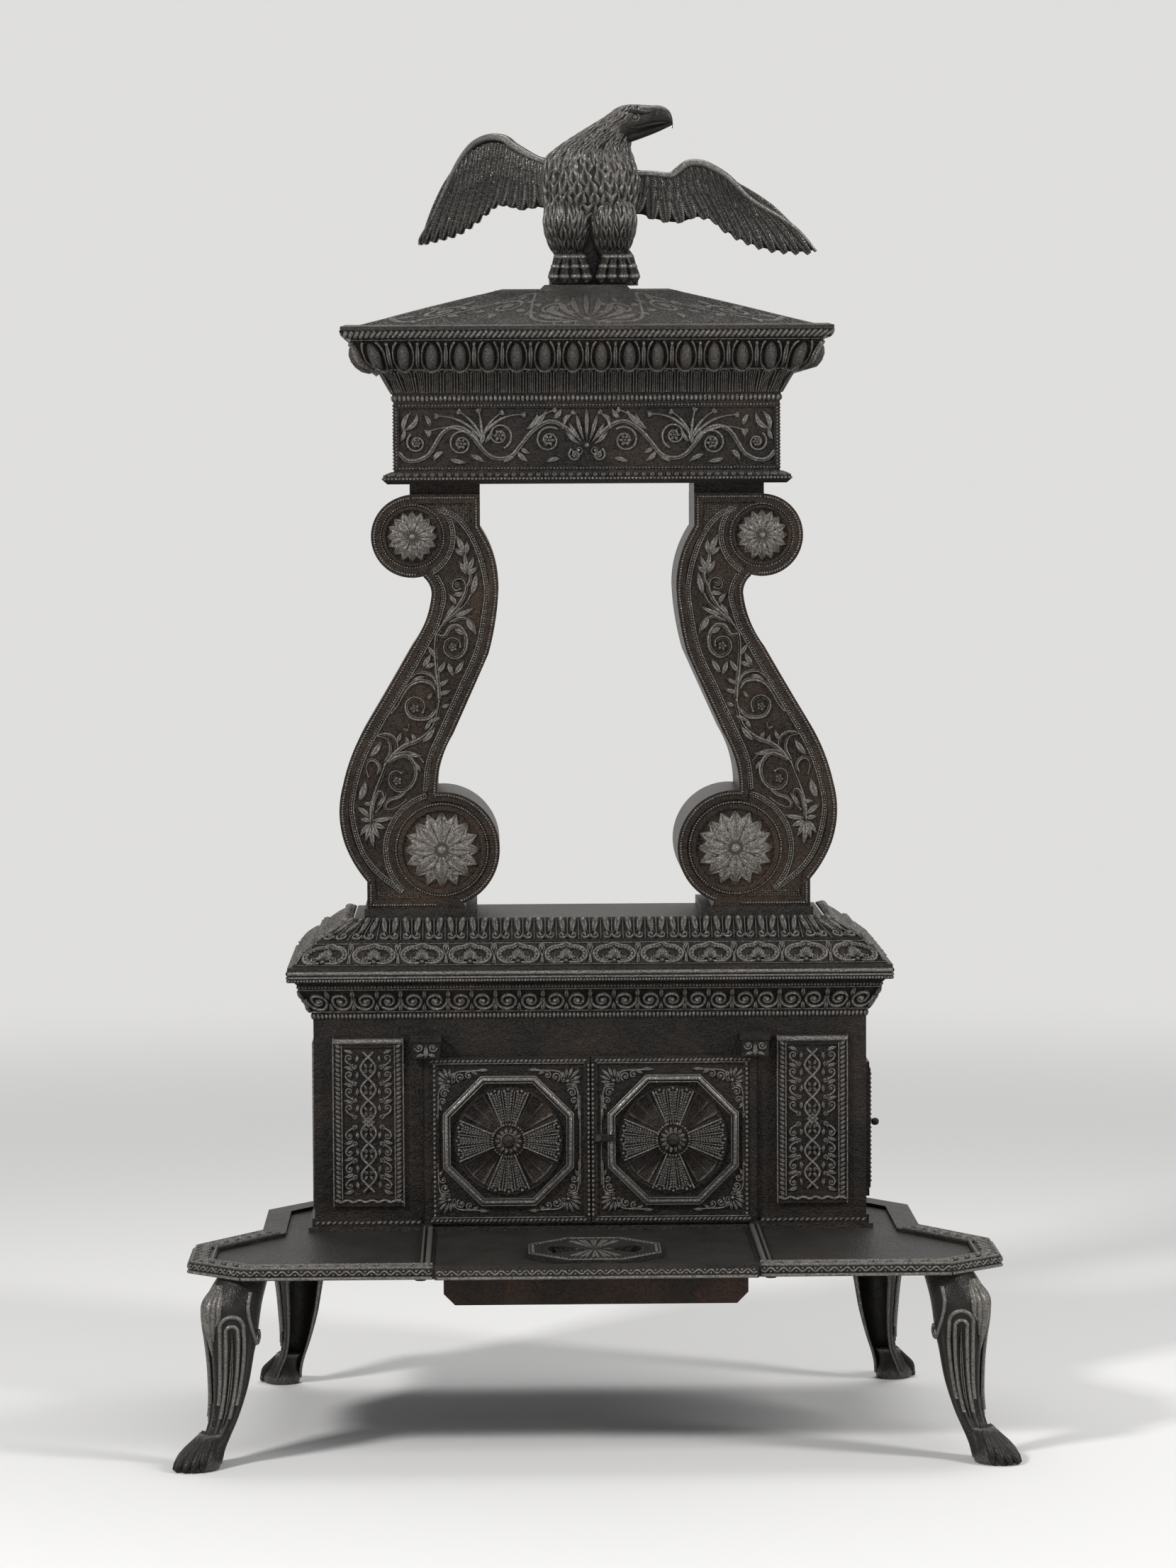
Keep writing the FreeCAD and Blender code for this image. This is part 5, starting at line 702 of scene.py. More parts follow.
class Band:
    """A stretch of a mould's profile: lays drawings on its front and ends, mitred at the corners."""

    def __init__(self, stations, hold=0.8):
        self.stations = np.array(stations)
        self.hold = hold
        steps = np.diff(self.stations, axis=0)
        run = np.hypot(steps[:, 1], steps[:, 2])
        self.marks = np.concatenate([[0], np.cumsum(run)])
        self.high = self.marks[-1]
        tilt = np.arctan2(steps[:, 2], steps[:, 1])
        middles = (self.marks[1:] + self.marks[:-1]) / 2
        self.tilt_at = lambda v: np.interp(v, middles, tilt)
        self.middle = np.array([np.interp(self.high / 2, self.marks, self.stations[:, i]) for i in range(3)])

    def length(self, end):
        return 2 * (self.middle[1] if end else self.middle[0])

    def mitred(self, u, half, middle):
        """Places across a band: true to scale up to its hold, drawn to the mitre near the corners."""
        hold = self.hold * middle
        beyond = np.maximum(np.abs(u) - hold, 0)
        return np.sign(u) * (np.minimum(np.abs(u), hold) + beyond * (half - hold) / (middle - hold))

    def place(self, end):
        """Lays u across, v up the profile and the height square to it; end is -1, 1 or 0 for the front."""
        def lay(points):
            u, v, h = points.T
            half_x, half_y, z = (np.interp(v, self.marks, self.stations[:, i]) for i in range(3))
            tilt = self.tilt_at(v)
            out = h * np.sin(tilt)
            up = z - h * np.cos(tilt)
            if end:
                across = self.mitred(u, half_y, self.middle[1])
                return np.column_stack([end * (half_x + out), CORE + end * across, up])
            across = self.mitred(u, half_x, self.middle[0])
            return np.column_stack([across, CORE - half_y - out, up])
        return lay


def run_of(relief, length, pitch, motif):
    """Repeats a motif a whole number of times along a length."""
    count = max(1, int(round(length / pitch)))
    step = length / count
    for i in range(count):
        motif(relief, (i + 0.5 - count / 2) * step, step)


STRETCHES = ((0, "front"), *NAMED_SIDES)


def dressed(name, band, pitch, motif, slot="black_iron"):
    """A row of one motif on the front and the ends of a band."""
    for end, label in STRETCHES:
        drawing = Relief()
        run_of(drawing, band.length(end), pitch, lambda r, u, w: motif(r, u, w, band.high))
        drawing.laid(f"{name}_{label}", band.place(end), slot=slot)


def small_bead(relief, u, wide, high):
    """A bead as high as its band."""
    relief.dome((u, high / 2), wide * 0.46, high * 0.42, wide * 0.45, 6, rings=((1.0, None), (0.72, 0.72)))


def foot_bead(relief, u, wide, high):
    """A small bead at the foot of a rim."""
    relief.dome((u, high * 0.12), wide * 0.5, high * 0.11, 1.4 * MM, 6)


def tongue(relief, u, wide, high):
    """A fluted tongue: four ribs under a round arch."""
    reach = wide * 0.4
    top = high - reach
    arch = arc((u, top), reach, 180, 0, wide / 8)
    relief.stroke(np.vstack([(u - reach, high * 0.04), arch, (u + reach, high * 0.04)]),
                  wide * 0.05, wide * 0.12)
    for share in (-0.5, -0.17, 0.17, 0.5):
        x = u + share * reach
        relief.stroke([(x, high * 0.05), (x, high * 0.5), (x, top + reach * 0.55)], wide * 0.042, wide * 0.09)


def egg(relief, u, wide, high):
    """An egg in its shell, with a dart beside it."""
    middle = high * 0.52
    # The egg gets a weak share of the wear and painted highlight
    relief.dome((u, middle), wide * 0.25, high * 0.42, high * 0.3, 14, rub_and_highlight=0.3)
    shell = arc((0, 0), 1, 118, 422, 0.12) * (wide * 0.36, high * 0.5) + (u, middle)
    relief.stroke(shell, wide * 0.045, high * 0.13)
    dart = u + wide * 0.5
    relief.leaf((dart, high * 0.92), (dart, high * 0.06), wide * 0.085, high * 0.2)
    relief.dome((dart, high * 0.9), wide * 0.07, wide * 0.07, high * 0.16, 8)


def rope(relief, u, wide, high):
    """One strand of a twisted band."""
    relief.stroke([(u - wide * 0.55, high * 0.1), (u, high * 0.5), (u + wide * 0.55, high * 0.9)],
                  wide * 0.36, np.array([0.25, 0.42, 0.25]) * wide)


def running_scroll(relief, u, wide, high):
    """A pair of spirals turned back to back, with a leaf in each gap."""
    radius = high * 0.43
    for side in SIDES:
        centre = (u + side * wide * 0.24, high * 0.5)
        line = spiral(centre, radius, radius * 0.2, 90 - 70 * side, -620 * side, 44)
        relief.stroke(line, high * 0.062, high * 0.13)
        relief.dome(centre, radius * 0.26, radius * 0.26, high * 0.2, 8)
    for end in (0, 0.5):
        relief.leaf((u + wide * end, high * 0.98), (u + wide * end, high * 0.55), wide * 0.05, high * 0.15)
        relief.leaf((u + wide * end, high * 0.02), (u + wide * end, high * 0.42), wide * 0.05, high * 0.15)


def leaf_wave(relief, u, wide, high):
    """Three slanted leaves of a running wave."""
    relief.leaf((u - wide * 0.45, high * 0.24), (u + wide * 0.4, high * 0.78), high * 0.2, high * 0.17, 0.2)
    relief.leaf((u + wide * 0.02, high * 0.12), (u + wide * 0.52, high * 0.4), high * 0.12, high * 0.14, -0.2)
    relief.leaf((u - wide * 0.5, high * 0.62), (u - wide * 0.08, high * 0.92), high * 0.11, high * 0.14, 0.2)


ARCH = ((0.06, 0.10), (0.27, 0.10), (0.41, 0.30), (0.42, 0.56), (0.30, 0.78), (0.13, 0.86), (0.0, 0.98))


def arch_palmette(relief, u, wide, high):
    """A palmette with two curls, inside a pair of leafy bows that meet in a point."""
    for side in SIDES:
        bow = smooth([(u + side * across * wide, up * high) for across, up in ARCH], wide / 30)
        relief.stroke(bow, wide * 0.03, high * 0.15)
        for point in even(bow[len(bow) // 4:], wide * 0.075):
            inward = np.array([u, high * 0.42]) - point
            inward /= np.linalg.norm(inward)
            relief.leaf(point + inward * wide * 0.015, point + inward * wide * 0.105, wide * 0.036,
                        high * 0.15)
        relief.curl((u + side * wide * 0.17, high * 0.26), high * 0.13, 90 - 60 * side, -470 * side,
                    high * 0.04, high * 0.16)
        relief.stroke([(u + side * wide * 0.48, high * 0.06), (u + side * wide * 0.49, high * 0.4),
                       (u + side * wide * 0.44, high * 0.8)], wide * 0.018, high * 0.1)
    for angle in (-54, -32, -14, 0, 14, 32, 54):
        way = np.array([math.sin(math.radians(angle)), math.cos(math.radians(angle))])
        root = np.array([u, high * 0.16])
        relief.leaf(root + way * high * 0.06, root + way * high * (0.62 - abs(angle) * 0.0042), wide * 0.042,
                    high * 0.19, fat=0.62)
    relief.dome((u, high * 0.14), wide * 0.055, high * 0.08, high * 0.22, 9)
    for across, tip in ((0.5, 0.6), (0.44, 0.74), (0.56, 0.74)):
        relief.leaf((u + wide * 0.5, high * 1.0), (u + wide * across, high * tip), wide * 0.034, high * 0.15)


def upright_leaf(relief, u, wide, high):
    """A tongue leaf with a rib, and a thin dart beside it."""
    relief.leaf((u, high * 0.02), (u, high * 0.98), wide * 0.36, wide * 0.24, fat=0.5)
    relief.stroke([(u + wide / 2, high * 0.05), (u + wide / 2, high * 0.6), (u + wide / 2, high * 0.95)],
                  wide * 0.06, wide * 0.2)


def curled_leaf(relief, u, wide, high):
    """A pair of tall leaves whose tips curl over beside a rib."""
    relief.stroke([(u, high * 0.1), (u, high * 0.5), (u, high * 0.94)], wide * 0.03, high * 0.1)
    for side in SIDES:
        relief.leaf((u + side * wide * 0.08, high * 0.3), (u + side * wide * 0.2, high * 0.98), wide * 0.14,
                    high * 0.13, -0.2 * side, fat=0.62)
        relief.leaf((u + side * wide * 0.26, high * 0.24), (u + side * wide * 0.4, high * 0.96), wide * 0.14,
                    high * 0.12, 0.2 * side, fat=0.6)
        relief.dome((u + side * wide * 0.3, high * 0.84), wide * 0.13, high * 0.13, high * 0.2, 9)
        relief.curl((u + side * wide * 0.24, high * 0.2), wide * 0.19, 90 + 90 * side, 430 * side,
                    wide * 0.045, high * 0.13)
    relief.stroke([(u + wide * 0.5, high * 0.04), (u + wide * 0.5, high * 0.5), (u + wide * 0.5, high * 0.9)],
                  wide * 0.025, high * 0.08)


def line_on(name, band, share, half_width, height, slot="black_iron"):
    """A fine raised line along a band, front and ends."""
    for end, label in STRETCHES:
        drawing = Relief()
        half = band.length(end) / 2
        drawing.stroke(even([(-half, band.high * share), (half, band.high * share)], 20 * MM),
                       half_width, height)
        drawing.laid(f"{name}_{label}", band.place(end), slot=slot)


def body_cornice():
    lap = high("body_cornice").x - BODY_HALF_X
    half_depth = CORE - BODY_FACE
    level = low("body_cornice").z
    stations = profile(BODY_CORNICE, BODY_HALF_X, half_depth, lap, lap, level, high("body_cornice").z - level)
    dressed("cornice_foot_beads", Band(stations[0:2]), 4.4 * MM, small_bead)
    ovolo = Band(stations[1:4])
    dressed("cornice_scrolls", ovolo, 52 * MM, running_scroll)
    line_on("cornice_low_line", ovolo, 0.03, 0.9 * MM, 1.2 * MM)
    line_on("cornice_high_line", ovolo, 0.98, 0.9 * MM, 1.2 * MM)
    dressed("cornice_head_beads", Band(stations[3:5]), 3.6 * MM, small_bead)


LID_RIM = 8 * MM
LID_RUN_X = 73 * MM
LID_RUN_Y = 46.5 * MM
LID_RISE = 58 * MM


def lid():
    """Two tiers of leaves over a beaded rim. The upper tier's slope stands over the casting's step."""
    half_depth = CORE - LID_LOW.y
    level = LID_LOW.z + LID_RIM
    stations = profile(LID_SLOPE, LID_HIGH.x, half_depth, -LID_RUN_X, -LID_RUN_Y, level, LID_RISE)
    rim = Band(profile(((0, 0), (0, 1)), LID_HIGH.x, half_depth, 0, 0, LID_LOW.z, LID_RIM + 0.14 * LID_RISE))
    dressed("lid_rim_beads", rim, 3.4 * MM, foot_bead, "grey_iron")
    line_on("lid_rim_line", rim, 0.33, 1.3 * MM, 1.6 * MM, "grey_iron")
    line_on("lid_rim_roll", rim, 0.62, 2.4 * MM, 1.8 * MM, "grey_iron")
    lower = Band(stations[2:5])
    dressed("lid_palmettes", lower, 51 * MM, arch_palmette, "grey_iron")
    line_on("lid_low_line", lower, 0.0, 1.1 * MM, 1.8 * MM, "grey_iron")
    line_on("lid_shelf_line", lower, 1.02, 1.2 * MM, 2.4 * MM, "grey_iron")
    slope = ((0.42, 0.585), (0.55, 0.70), (0.93, 0.955), (0.985, 0.995))
    upper = Band(profile(slope, LID_HIGH.x, half_depth, -LID_RUN_X, -LID_RUN_Y, level, LID_RISE))

    def leaves_on_slope(relief, u, wide, high):
        relief.grid(np.array([[(u - wide / 2 + wide * i / 4, high * j / 8, 0) for i in range(5)]
                              for j in range(9)]))
        curled_leaf(relief, u, wide, high)

    dressed("lid_leaves", upper, 25 * MM, leaves_on_slope, "grey_iron")


def entablature():
    half_x, half_y = FRIEZE_HIGH.x, CORE - FRIEZE_LOW.y
    base_low, base_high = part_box("entablature_base")
    lap = base_high.x - half_x
    base = profile(BASE_PLATE, half_x, half_y, lap, lap, base_low.z, base_high.z - base_low.z)
    dressed("base_mould_leaves", Band(base[2:4]), 9 * MM, upright_leaf)
    dressed("base_mould_beads", Band(base[1:3]), 4 * MM, small_bead)
    lap = CORNICE_HIGH.x - half_x
    stations = profile(CORNICE, half_x, half_y, lap, lap, CORNICE_LOW.z, CORNICE_HIGH.z - CORNICE_LOW.z)
    dressed("cavetto_foot_beads", Band(stations[0:2]), 5 * MM, small_bead)
    dressed("cavetto_tongues", Band(stations[1:5]), 15.2 * MM, tongue)
    eggs = Band(stations[4:8])
    dressed("egg_and_dart", eggs, 31 * MM, egg)
    line_on("egg_low_line", eggs, 0.02, 1.0 * MM, 1.6 * MM)
    line_on("egg_high_line", eggs, 0.98, 0.9 * MM, 1.4 * MM)
    dressed("cornice_rope", Band(stations[8:10]), 6 * MM, rope)


# Frieze

FRIEZE_RECESS = 2 * MM
FRIEZE_BORDER = 6 * MM
# Half of the vine: the middle of each scroll across and up from the middle of the frieze, radius, start, turn
FRIEZE_SCROLLS = (
    (187.0, -6.6, 11.5, 60, -560), (138.0, -7.5, 14.5, 120, -600), (96.0, 1.5, 15.0, 250, -600),
    (42.0, -4.0, 15.5, 130, -600), (13.0, -20.0, 7.5, 60, -500),
)
FRIEZE_STEM = (
    (206, -16), (198, -24), (188, -25), (175, -19), (167, -7), (160, 4), (150, 11), (138, 11), (127, 4),
    (117, -9), (106, -20), (94, -23), (82, -19), (73, -8), (61, 6), (47, 16), (35, 17), (22, 10), (12, 0),
)
# Root, tip, half width and bend of each leaf
FRIEZE_LEAVES = (
    ((200, 8), (186, 27), 3.2, 0.4), ((201, 6), (192, 28), 3.0, -0.3), ((204, -4), (200, 10), 2.6, 0.2),
    ((116, -8), (113, 8), 3.0, 0.05), ((118, -6), (126, 8), 2.4, -0.15), ((112, -6), (103, 9), 2.4, 0.15),
    ((172, 12), (178, 24), 2.8, 0.2),
    ((170, 8), (174, -2), 2.4, 0.2), ((158, -16), (168, -27), 3.0, 0.3), ((150, -24), (132, -28), 2.8, 0.1),
    ((128, -20), (112, -28), 2.8, -0.1), ((76, -16), (64, -27), 3.0, 0.2), ((72, -12), (62, -18), 2.6, 0.2),
    ((66, 8), (54, 27), 3.0, 0.3), ((60, 12), (44, 30), 2.8, 0.2), ((36, 20), (28, 31), 3.0, 0.2),
    ((26, 16), (16, 24), 2.8, -0.2), ((30, -24), (46, -28), 2.8, 0.1), ((80, -22), (92, -29), 2.6, 0.2),
)
# Tendrils of the spray between the scrolls: root, tip and bow
FRIEZE_TENDRILS = (
    ((117, -6), (176, 5), 0.34), ((116, -2), (166, 23), 0.26), ((116, 0), (141, 28), 0.18),
    ((115, 2), (119, 30), 0.06), ((113, 2), (92, 27), -0.2), ((112, 4), (68, 24), -0.28),
    ((58, 14), (34, 29), -0.2), ((26, 8), (14, 27), -0.25),
)


def frieze_scrolls(relief, scrolls, leaves, hearts=True):
    """Scrolls with a flower in each, and the leaves beside them."""
    for u, v, radius, start, turn in scrolls:
        centre = (u * MM, v * MM)
        relief.curl(centre, radius * MM, start, turn, 1.4 * MM, 3.0 * MM, button=False)
        relief.petals(centre, 1.5 * MM, radius * 0.5 * MM, 6, 1.7 * MM, 2.8 * MM, lobes=False)
        if hearts:
            relief.dome(centre, 1.7 * MM, 1.7 * MM, 3.6 * MM, 8)
    for root, tip, half_width, bend in leaves:
        relief.leaf(np.array(root) * MM, np.array(tip) * MM, half_width * MM, 3.0 * MM, bend)


def frieze_half(relief):
    """The vine from the frieze's end to its middle: stem, scrolls, leaves and a spray of tendrils."""
    stem = smooth(np.array(FRIEZE_STEM) * MM, 2.5 * MM)
    relief.stroke(stem, 1.6 * MM, 3.0 * MM)
    relief.stroke(shifted(stem, 2.4 * MM), 0.8 * MM, 2.2 * MM)
    frieze_scrolls(relief, FRIEZE_SCROLLS, FRIEZE_LEAVES)
    for root, tip, bow in FRIEZE_TENDRILS:
        line = bowed(np.array(root) * MM, np.array(tip) * MM, bow)
        relief.vine(line, 1.9 * MM, 3.2 * MM, tail=0.5)
        way = (line[-1] - line[-2]) / np.linalg.norm(line[-1] - line[-2])
        across = np.array([-way[1], way[0]])
        for side in SIDES:
            tip = line[-1] + 2 * MM * way + across * side * 3.2 * MM
            relief.leaf(line[-1] - 4 * MM * way, tip, 1.3 * MM, 2.8 * MM)


def palmette(relief, foot, reach, spread, leaves, half_width, height):
    """A fan of leaves over a double curl, longest in the middle; spread is its half angle in degrees."""
    foot = np.array(foot)
    for i in range(leaves):
        share = (i / (leaves - 1) - 0.5) * 2
        angle = math.radians(spread * share)
        way = np.array([math.sin(angle), math.cos(angle)])
        tip = foot + way * reach * (1 - 0.34 * abs(share))
        relief.leaf(foot + way * reach * 0.16, tip, half_width, height, bend=-0.12 * share, fat=0.6)
    relief.dome(foot + (0, reach * 0.1), half_width * 1.2, half_width * 1.4, height * 1.3, 10)
    for side in SIDES:
        centre = foot + (side * reach * 0.2, -reach * 0.02)
        relief.curl(centre, reach * 0.14, 90 - 90 * side, -400 * side, half_width * 0.35, height * 0.9)


def frame_of_beads(relief, half_wide, half_high, pitch=3.6 * MM, radius=1.25 * MM):
    corners = rectangle(half_wide, half_high)
    for a, b in zip(corners, corners[1:] + corners[:1]):
        relief.beads([a, b], pitch, radius, radius * 1.25)


def frieze():
    middle = (FRIEZE_LOW.z + FRIEZE_HIGH.z) / 2
    half = Relief()
    frieze_half(half)
    whole = Relief()
    whole.both_ways(half)
    end_half = Relief()
    frieze_scrolls(end_half, FRIEZE_SCROLLS[3:], FRIEZE_LEAVES[-5:-1], hearts=False)
    end = Relief()
    end.both_ways(end_half)
    for drawing in (whole, end):
        palmette(drawing, (0, -14 * MM), 46 * MM, 50, 7, 2.4 * MM, 3.2 * MM)
    half_high = (FRIEZE_HIGH.z - FRIEZE_LOW.z) / 2 - FRIEZE_BORDER / 2
    half_wide = (high("frieze_left").y - low("frieze_left").y) / 2 - FRIEZE_BORDER / 2
    edge, end_edge = Relief(), Relief()
    frame_of_beads(edge, FRIEZE_HIGH.x - FRIEZE_BORDER / 2, half_high)
    frame_of_beads(end_edge, half_wide, half_high)
    whole.laid("frieze_vine", front_sheet(FRIEZE_LOW.y + FRIEZE_RECESS, z=middle))
    edge.laid("frieze_frame_beads", front_sheet(FRIEZE_LOW.y, z=middle))
    for side, name in NAMED_SIDES:
        x = FRIEZE_HIGH.x * side
        end.laid(f"frieze_end_vine_{name}", end_sheet(x - FRIEZE_RECESS * side, side, CORE, middle))
        end_edge.laid(f"frieze_end_beads_{name}", end_sheet(x, side, CORE, middle))


# Firebox front

PANEL_X = 245 * MM
PANEL_WIDE = 79 * MM
PANEL_HIGH = 187 * MM
PANEL_SILL = 23 * MM
PANEL_BORDER = 11 * MM
PANEL_RECESS = 2 * MM
# The chain of ovals up the middle of a panel
OVAL_PITCH = 24 * MM
CHAIN_REACH = 78 * MM


def c_scroll(relief, inner, outer, small, large):
    """Two spirals joined by a bow on their outer side."""
    inner, outer = np.array(inner), np.array(outer)
    relief.curl(outer, large, -60, 430, 1.15 * MM, 2.8 * MM)
    relief.curl(inner, small, 60, -430, 1.0 * MM, 2.5 * MM)
    middle = (outer + inner) / 2 + (large * 1.25, 0)
    bow = smooth([outer + (large, -large * 0.2), middle, inner + (small, small * 0.3)], 1.5 * MM)
    relief.stroke(bow, 1.25 * MM, 2.8 * MM)


def panel_quarter(relief):
    """A quarter of the front panels' relief, to the right of and above its middle."""
    for i in range(4):
        v = (10 + 18.5 * i) * MM
        c_scroll(relief, (14.5 * MM, v - 4 * MM), (21 * MM, v + 5.5 * MM), 3.2 * MM, 4.4 * MM)
        relief.leaf((17 * MM, v + 10 * MM), (27.5 * MM, v + 14 * MM), 2.3 * MM, 2.7 * MM, 0.2)
        relief.leaf((13 * MM, v + 1 * MM), (12 * MM, v + 9.5 * MM), 1.9 * MM, 2.5 * MM, 0.1)
    for i in range(3):
        v = (i + 0.5) * OVAL_PITCH
        relief.curl((3.0 * MM, v - 3 * MM), 2.5 * MM, 0, -360, 0.85 * MM, 2.6 * MM)
        relief.leaf((1.2 * MM, v), (4.2 * MM, v + 6 * MM), 1.5 * MM, 2.5 * MM, -0.2)


def panels():
    quarter = Relief()
    panel_quarter(quarter)
    field = Relief()
    field.four_ways(quarter)
    v = np.linspace(-CHAIN_REACH, CHAIN_REACH, 120)
    for side in SIDES:
        u = side * 8.2 * MM * np.sin(np.pi * v / OVAL_PITCH)
        field.stroke(np.column_stack([u, v]), 1.5 * MM, 3.0 * MM)
    field.petals((0, 0), 1.5 * MM, 7.5 * MM, 8, 1.9 * MM, 3.4 * MM, lobes=False)
    field.dome((0, 0), 2.2 * MM, 2.2 * MM, 4.2 * MM, 10)
    border = Relief()
    half_wide, half_high = PANEL_WIDE / 2, PANEL_HIGH / 2
    for side in SIDES:
        u = side * (half_wide - PANEL_BORDER * 0.55)
        for v in np.arange(-half_high + 6 * MM, half_high - 5 * MM, 5.2 * MM):
            border.leaf((u - side * 2.8 * MM, v - 2.0 * MM), (u + side * 3.0 * MM, v + 2.4 * MM),
                        1.9 * MM, 2.5 * MM)
        for across, reach, half_width in (
            (u - side * 4.2 * MM, half_high - 8 * MM, 0.8 * MM),
            (side * (half_wide - 0.9 * MM), half_high, 0.9 * MM),
        ):
            border.stroke([(across, -reach), (across, 0), (across, reach)], half_width, 1.5 * MM)
    top = half_high - 4.2 * MM
    border.stroke([(-half_wide + MM, top), (0, top), (half_wide - MM, top)], 3.4 * MM, 2.6 * MM)
    wave_u = np.linspace(-half_wide + 2 * MM, half_wide - 2 * MM, 60)
    wave_v = -half_high + 5.5 * MM + 1.1 * MM * np.sin(wave_u / (2.2 * MM))
    border.stroke(np.column_stack([wave_u, wave_v]), 1.7 * MM, 2.2 * MM)
    middle = BODY_LOW.z + PANEL_SILL + PANEL_HIGH / 2
    for side, name in NAMED_SIDES:
        field.laid(f"panel_{name}_relief", front_sheet(BODY_LOW.y + PANEL_RECESS, PANEL_X * side, middle))
        border.laid(f"panel_{name}_border", front_sheet(BODY_LOW.y, PANEL_X * side, middle))
    foot = Relief()
    level = BODY_LOW.z + 4.5 * MM
    for side in SIDES:
        run = [(side * 190 * MM, level), (side * (BODY_HALF_X - 3 * MM), level)]
        for point in even(run, 6.2 * MM):
            foot.leaf(point - (2.6 * MM, 1.6 * MM), point + (2.6 * MM, 1.6 * MM), 1.5 * MM, 1.5 * MM)
    foot.laid("body_foot_leaves", front_sheet(BODY_LOW.y + 2 * MM))


# Doors

DOOR_LOW, DOOR_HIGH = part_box("door_right")
DOOR_BACK = DOOR_HIGH.y
DOOR_FRONT = DOOR_BACK - 7 * MM
FRAME_FRONT = DOOR_FRONT - 2 * MM
BLADE_FRONT = DOOR_FRONT - 3 * MM
RING_FRONT = DOOR_FRONT - 5 * MM
BOSS_FRONT = DOOR_FRONT - 5.5 * MM
FAN_X = 90.8 * MM
FAN_HALF_ACROSS = 72.5 * MM
FAN_RING_WIDE = 9 * MM


def octagon(half_across):
    """Corners of an octagon with flats square to the axes."""
    radius = half_across / math.cos(math.pi / 8)
    return round_about((0, 0), radius, math.pi / 8 + np.arange(8) * math.pi / 4)


BARB_HIGH = 2.2 * MM


def feather_column(relief, angle, start, end, spread):
    """A rib with small barbs on both sides, from the hub outward."""
    relief.stroke([polar(angle, start), polar(angle, (start + end) / 2), polar(angle, end)],
                  np.array([0.45, 0.6, 0.75]) * MM, BARB_HIGH, RIB)
    for radius in np.arange(start + 2 * MM, end - 1.5 * MM, 3.0 * MM):
        for side in SIDES:
            root = polar(angle + side * spread * 0.12, radius)
            tip = polar(angle + side * spread * 0.86, radius + 3.0 * MM)
            relief.leaf(root, tip, 0.62 * MM + radius * 0.012, BARB_HIGH * 0.95, bend=-0.12 * side, fat=0.55)


# Angles of the fan's feathers and ridges and of each blade's edge from its middle, in degrees
FEATHER_ANGLE = 15.2
RIDGE_ANGLE = 7.6
EDGE_ANGLE = 22.9


def door_fan(relief):
    for quarter in range(4):
        middle = quarter * math.pi / 2
        for step in (-1, 0, 1):
            centre = middle + step * math.radians(FEATHER_ANGLE)
            feather_column(relief, centre, 19 * MM, 54 * MM, math.radians(6.6))
            for part, radius in ((-1, 55.4), (0, 57.0), (1, 55.4)):
                spot = polar(centre + part * math.radians(4.6), radius * MM)
                relief.dome(spot, 1.9 * MM, 1.9 * MM, 2.6 * MM, 7)
        for step in SIDES:
            ridge = middle + step * math.radians(RIDGE_ANGLE)
            relief.stroke([polar(ridge, radius * MM) for radius in (18, 37, 56)],
                          np.array([0.45, 0.6, 0.8]) * MM, BARB_HIGH)
            edge = middle + step * math.radians(EDGE_ANGLE)
            relief.stroke([polar(edge, radius * MM) for radius in (17.5, 38, 58.5)], 1.15 * MM, 3.0 * MM)


def door_corners(relief):
    """Palmettes and loops in the corners round the octagon."""
    bend = Relief()
    bend.curl((12.5 * MM, -3.0 * MM), 5.2 * MM, 200, -470, 1.15 * MM, 2.6 * MM)
    bend.curl((20.5 * MM, -8.0 * MM), 4.4 * MM, 20, 450, 1.05 * MM, 2.5 * MM)
    loop = np.array([(7, 1), (12, 4), (18, 1), (26, -6.5), (33, -13)]) * MM
    bend.stroke(smooth(loop, MM), 1.1 * MM, 2.6 * MM)
    bend.leaf((25 * MM, -7 * MM), (28 * MM, -15 * MM), 1.9 * MM, 2.5 * MM, 0.2)
    bend.leaf((31 * MM, -11 * MM), (40 * MM, -20 * MM), 1.9 * MM, 2.5 * MM, 0.1)
    part = Relief()
    palmette(part, (0, 1 * MM), 20 * MM, 64, 7, 1.8 * MM, 2.8 * MM)
    part.both_ways(bend)
    relief.in_corners(part, (63.5 * MM, 63.5 * MM))


SHUTTER_THICK = 3 * MM
SHUTTER_RIB = 1.8 * MM
BLADE_HALF = math.radians(24)


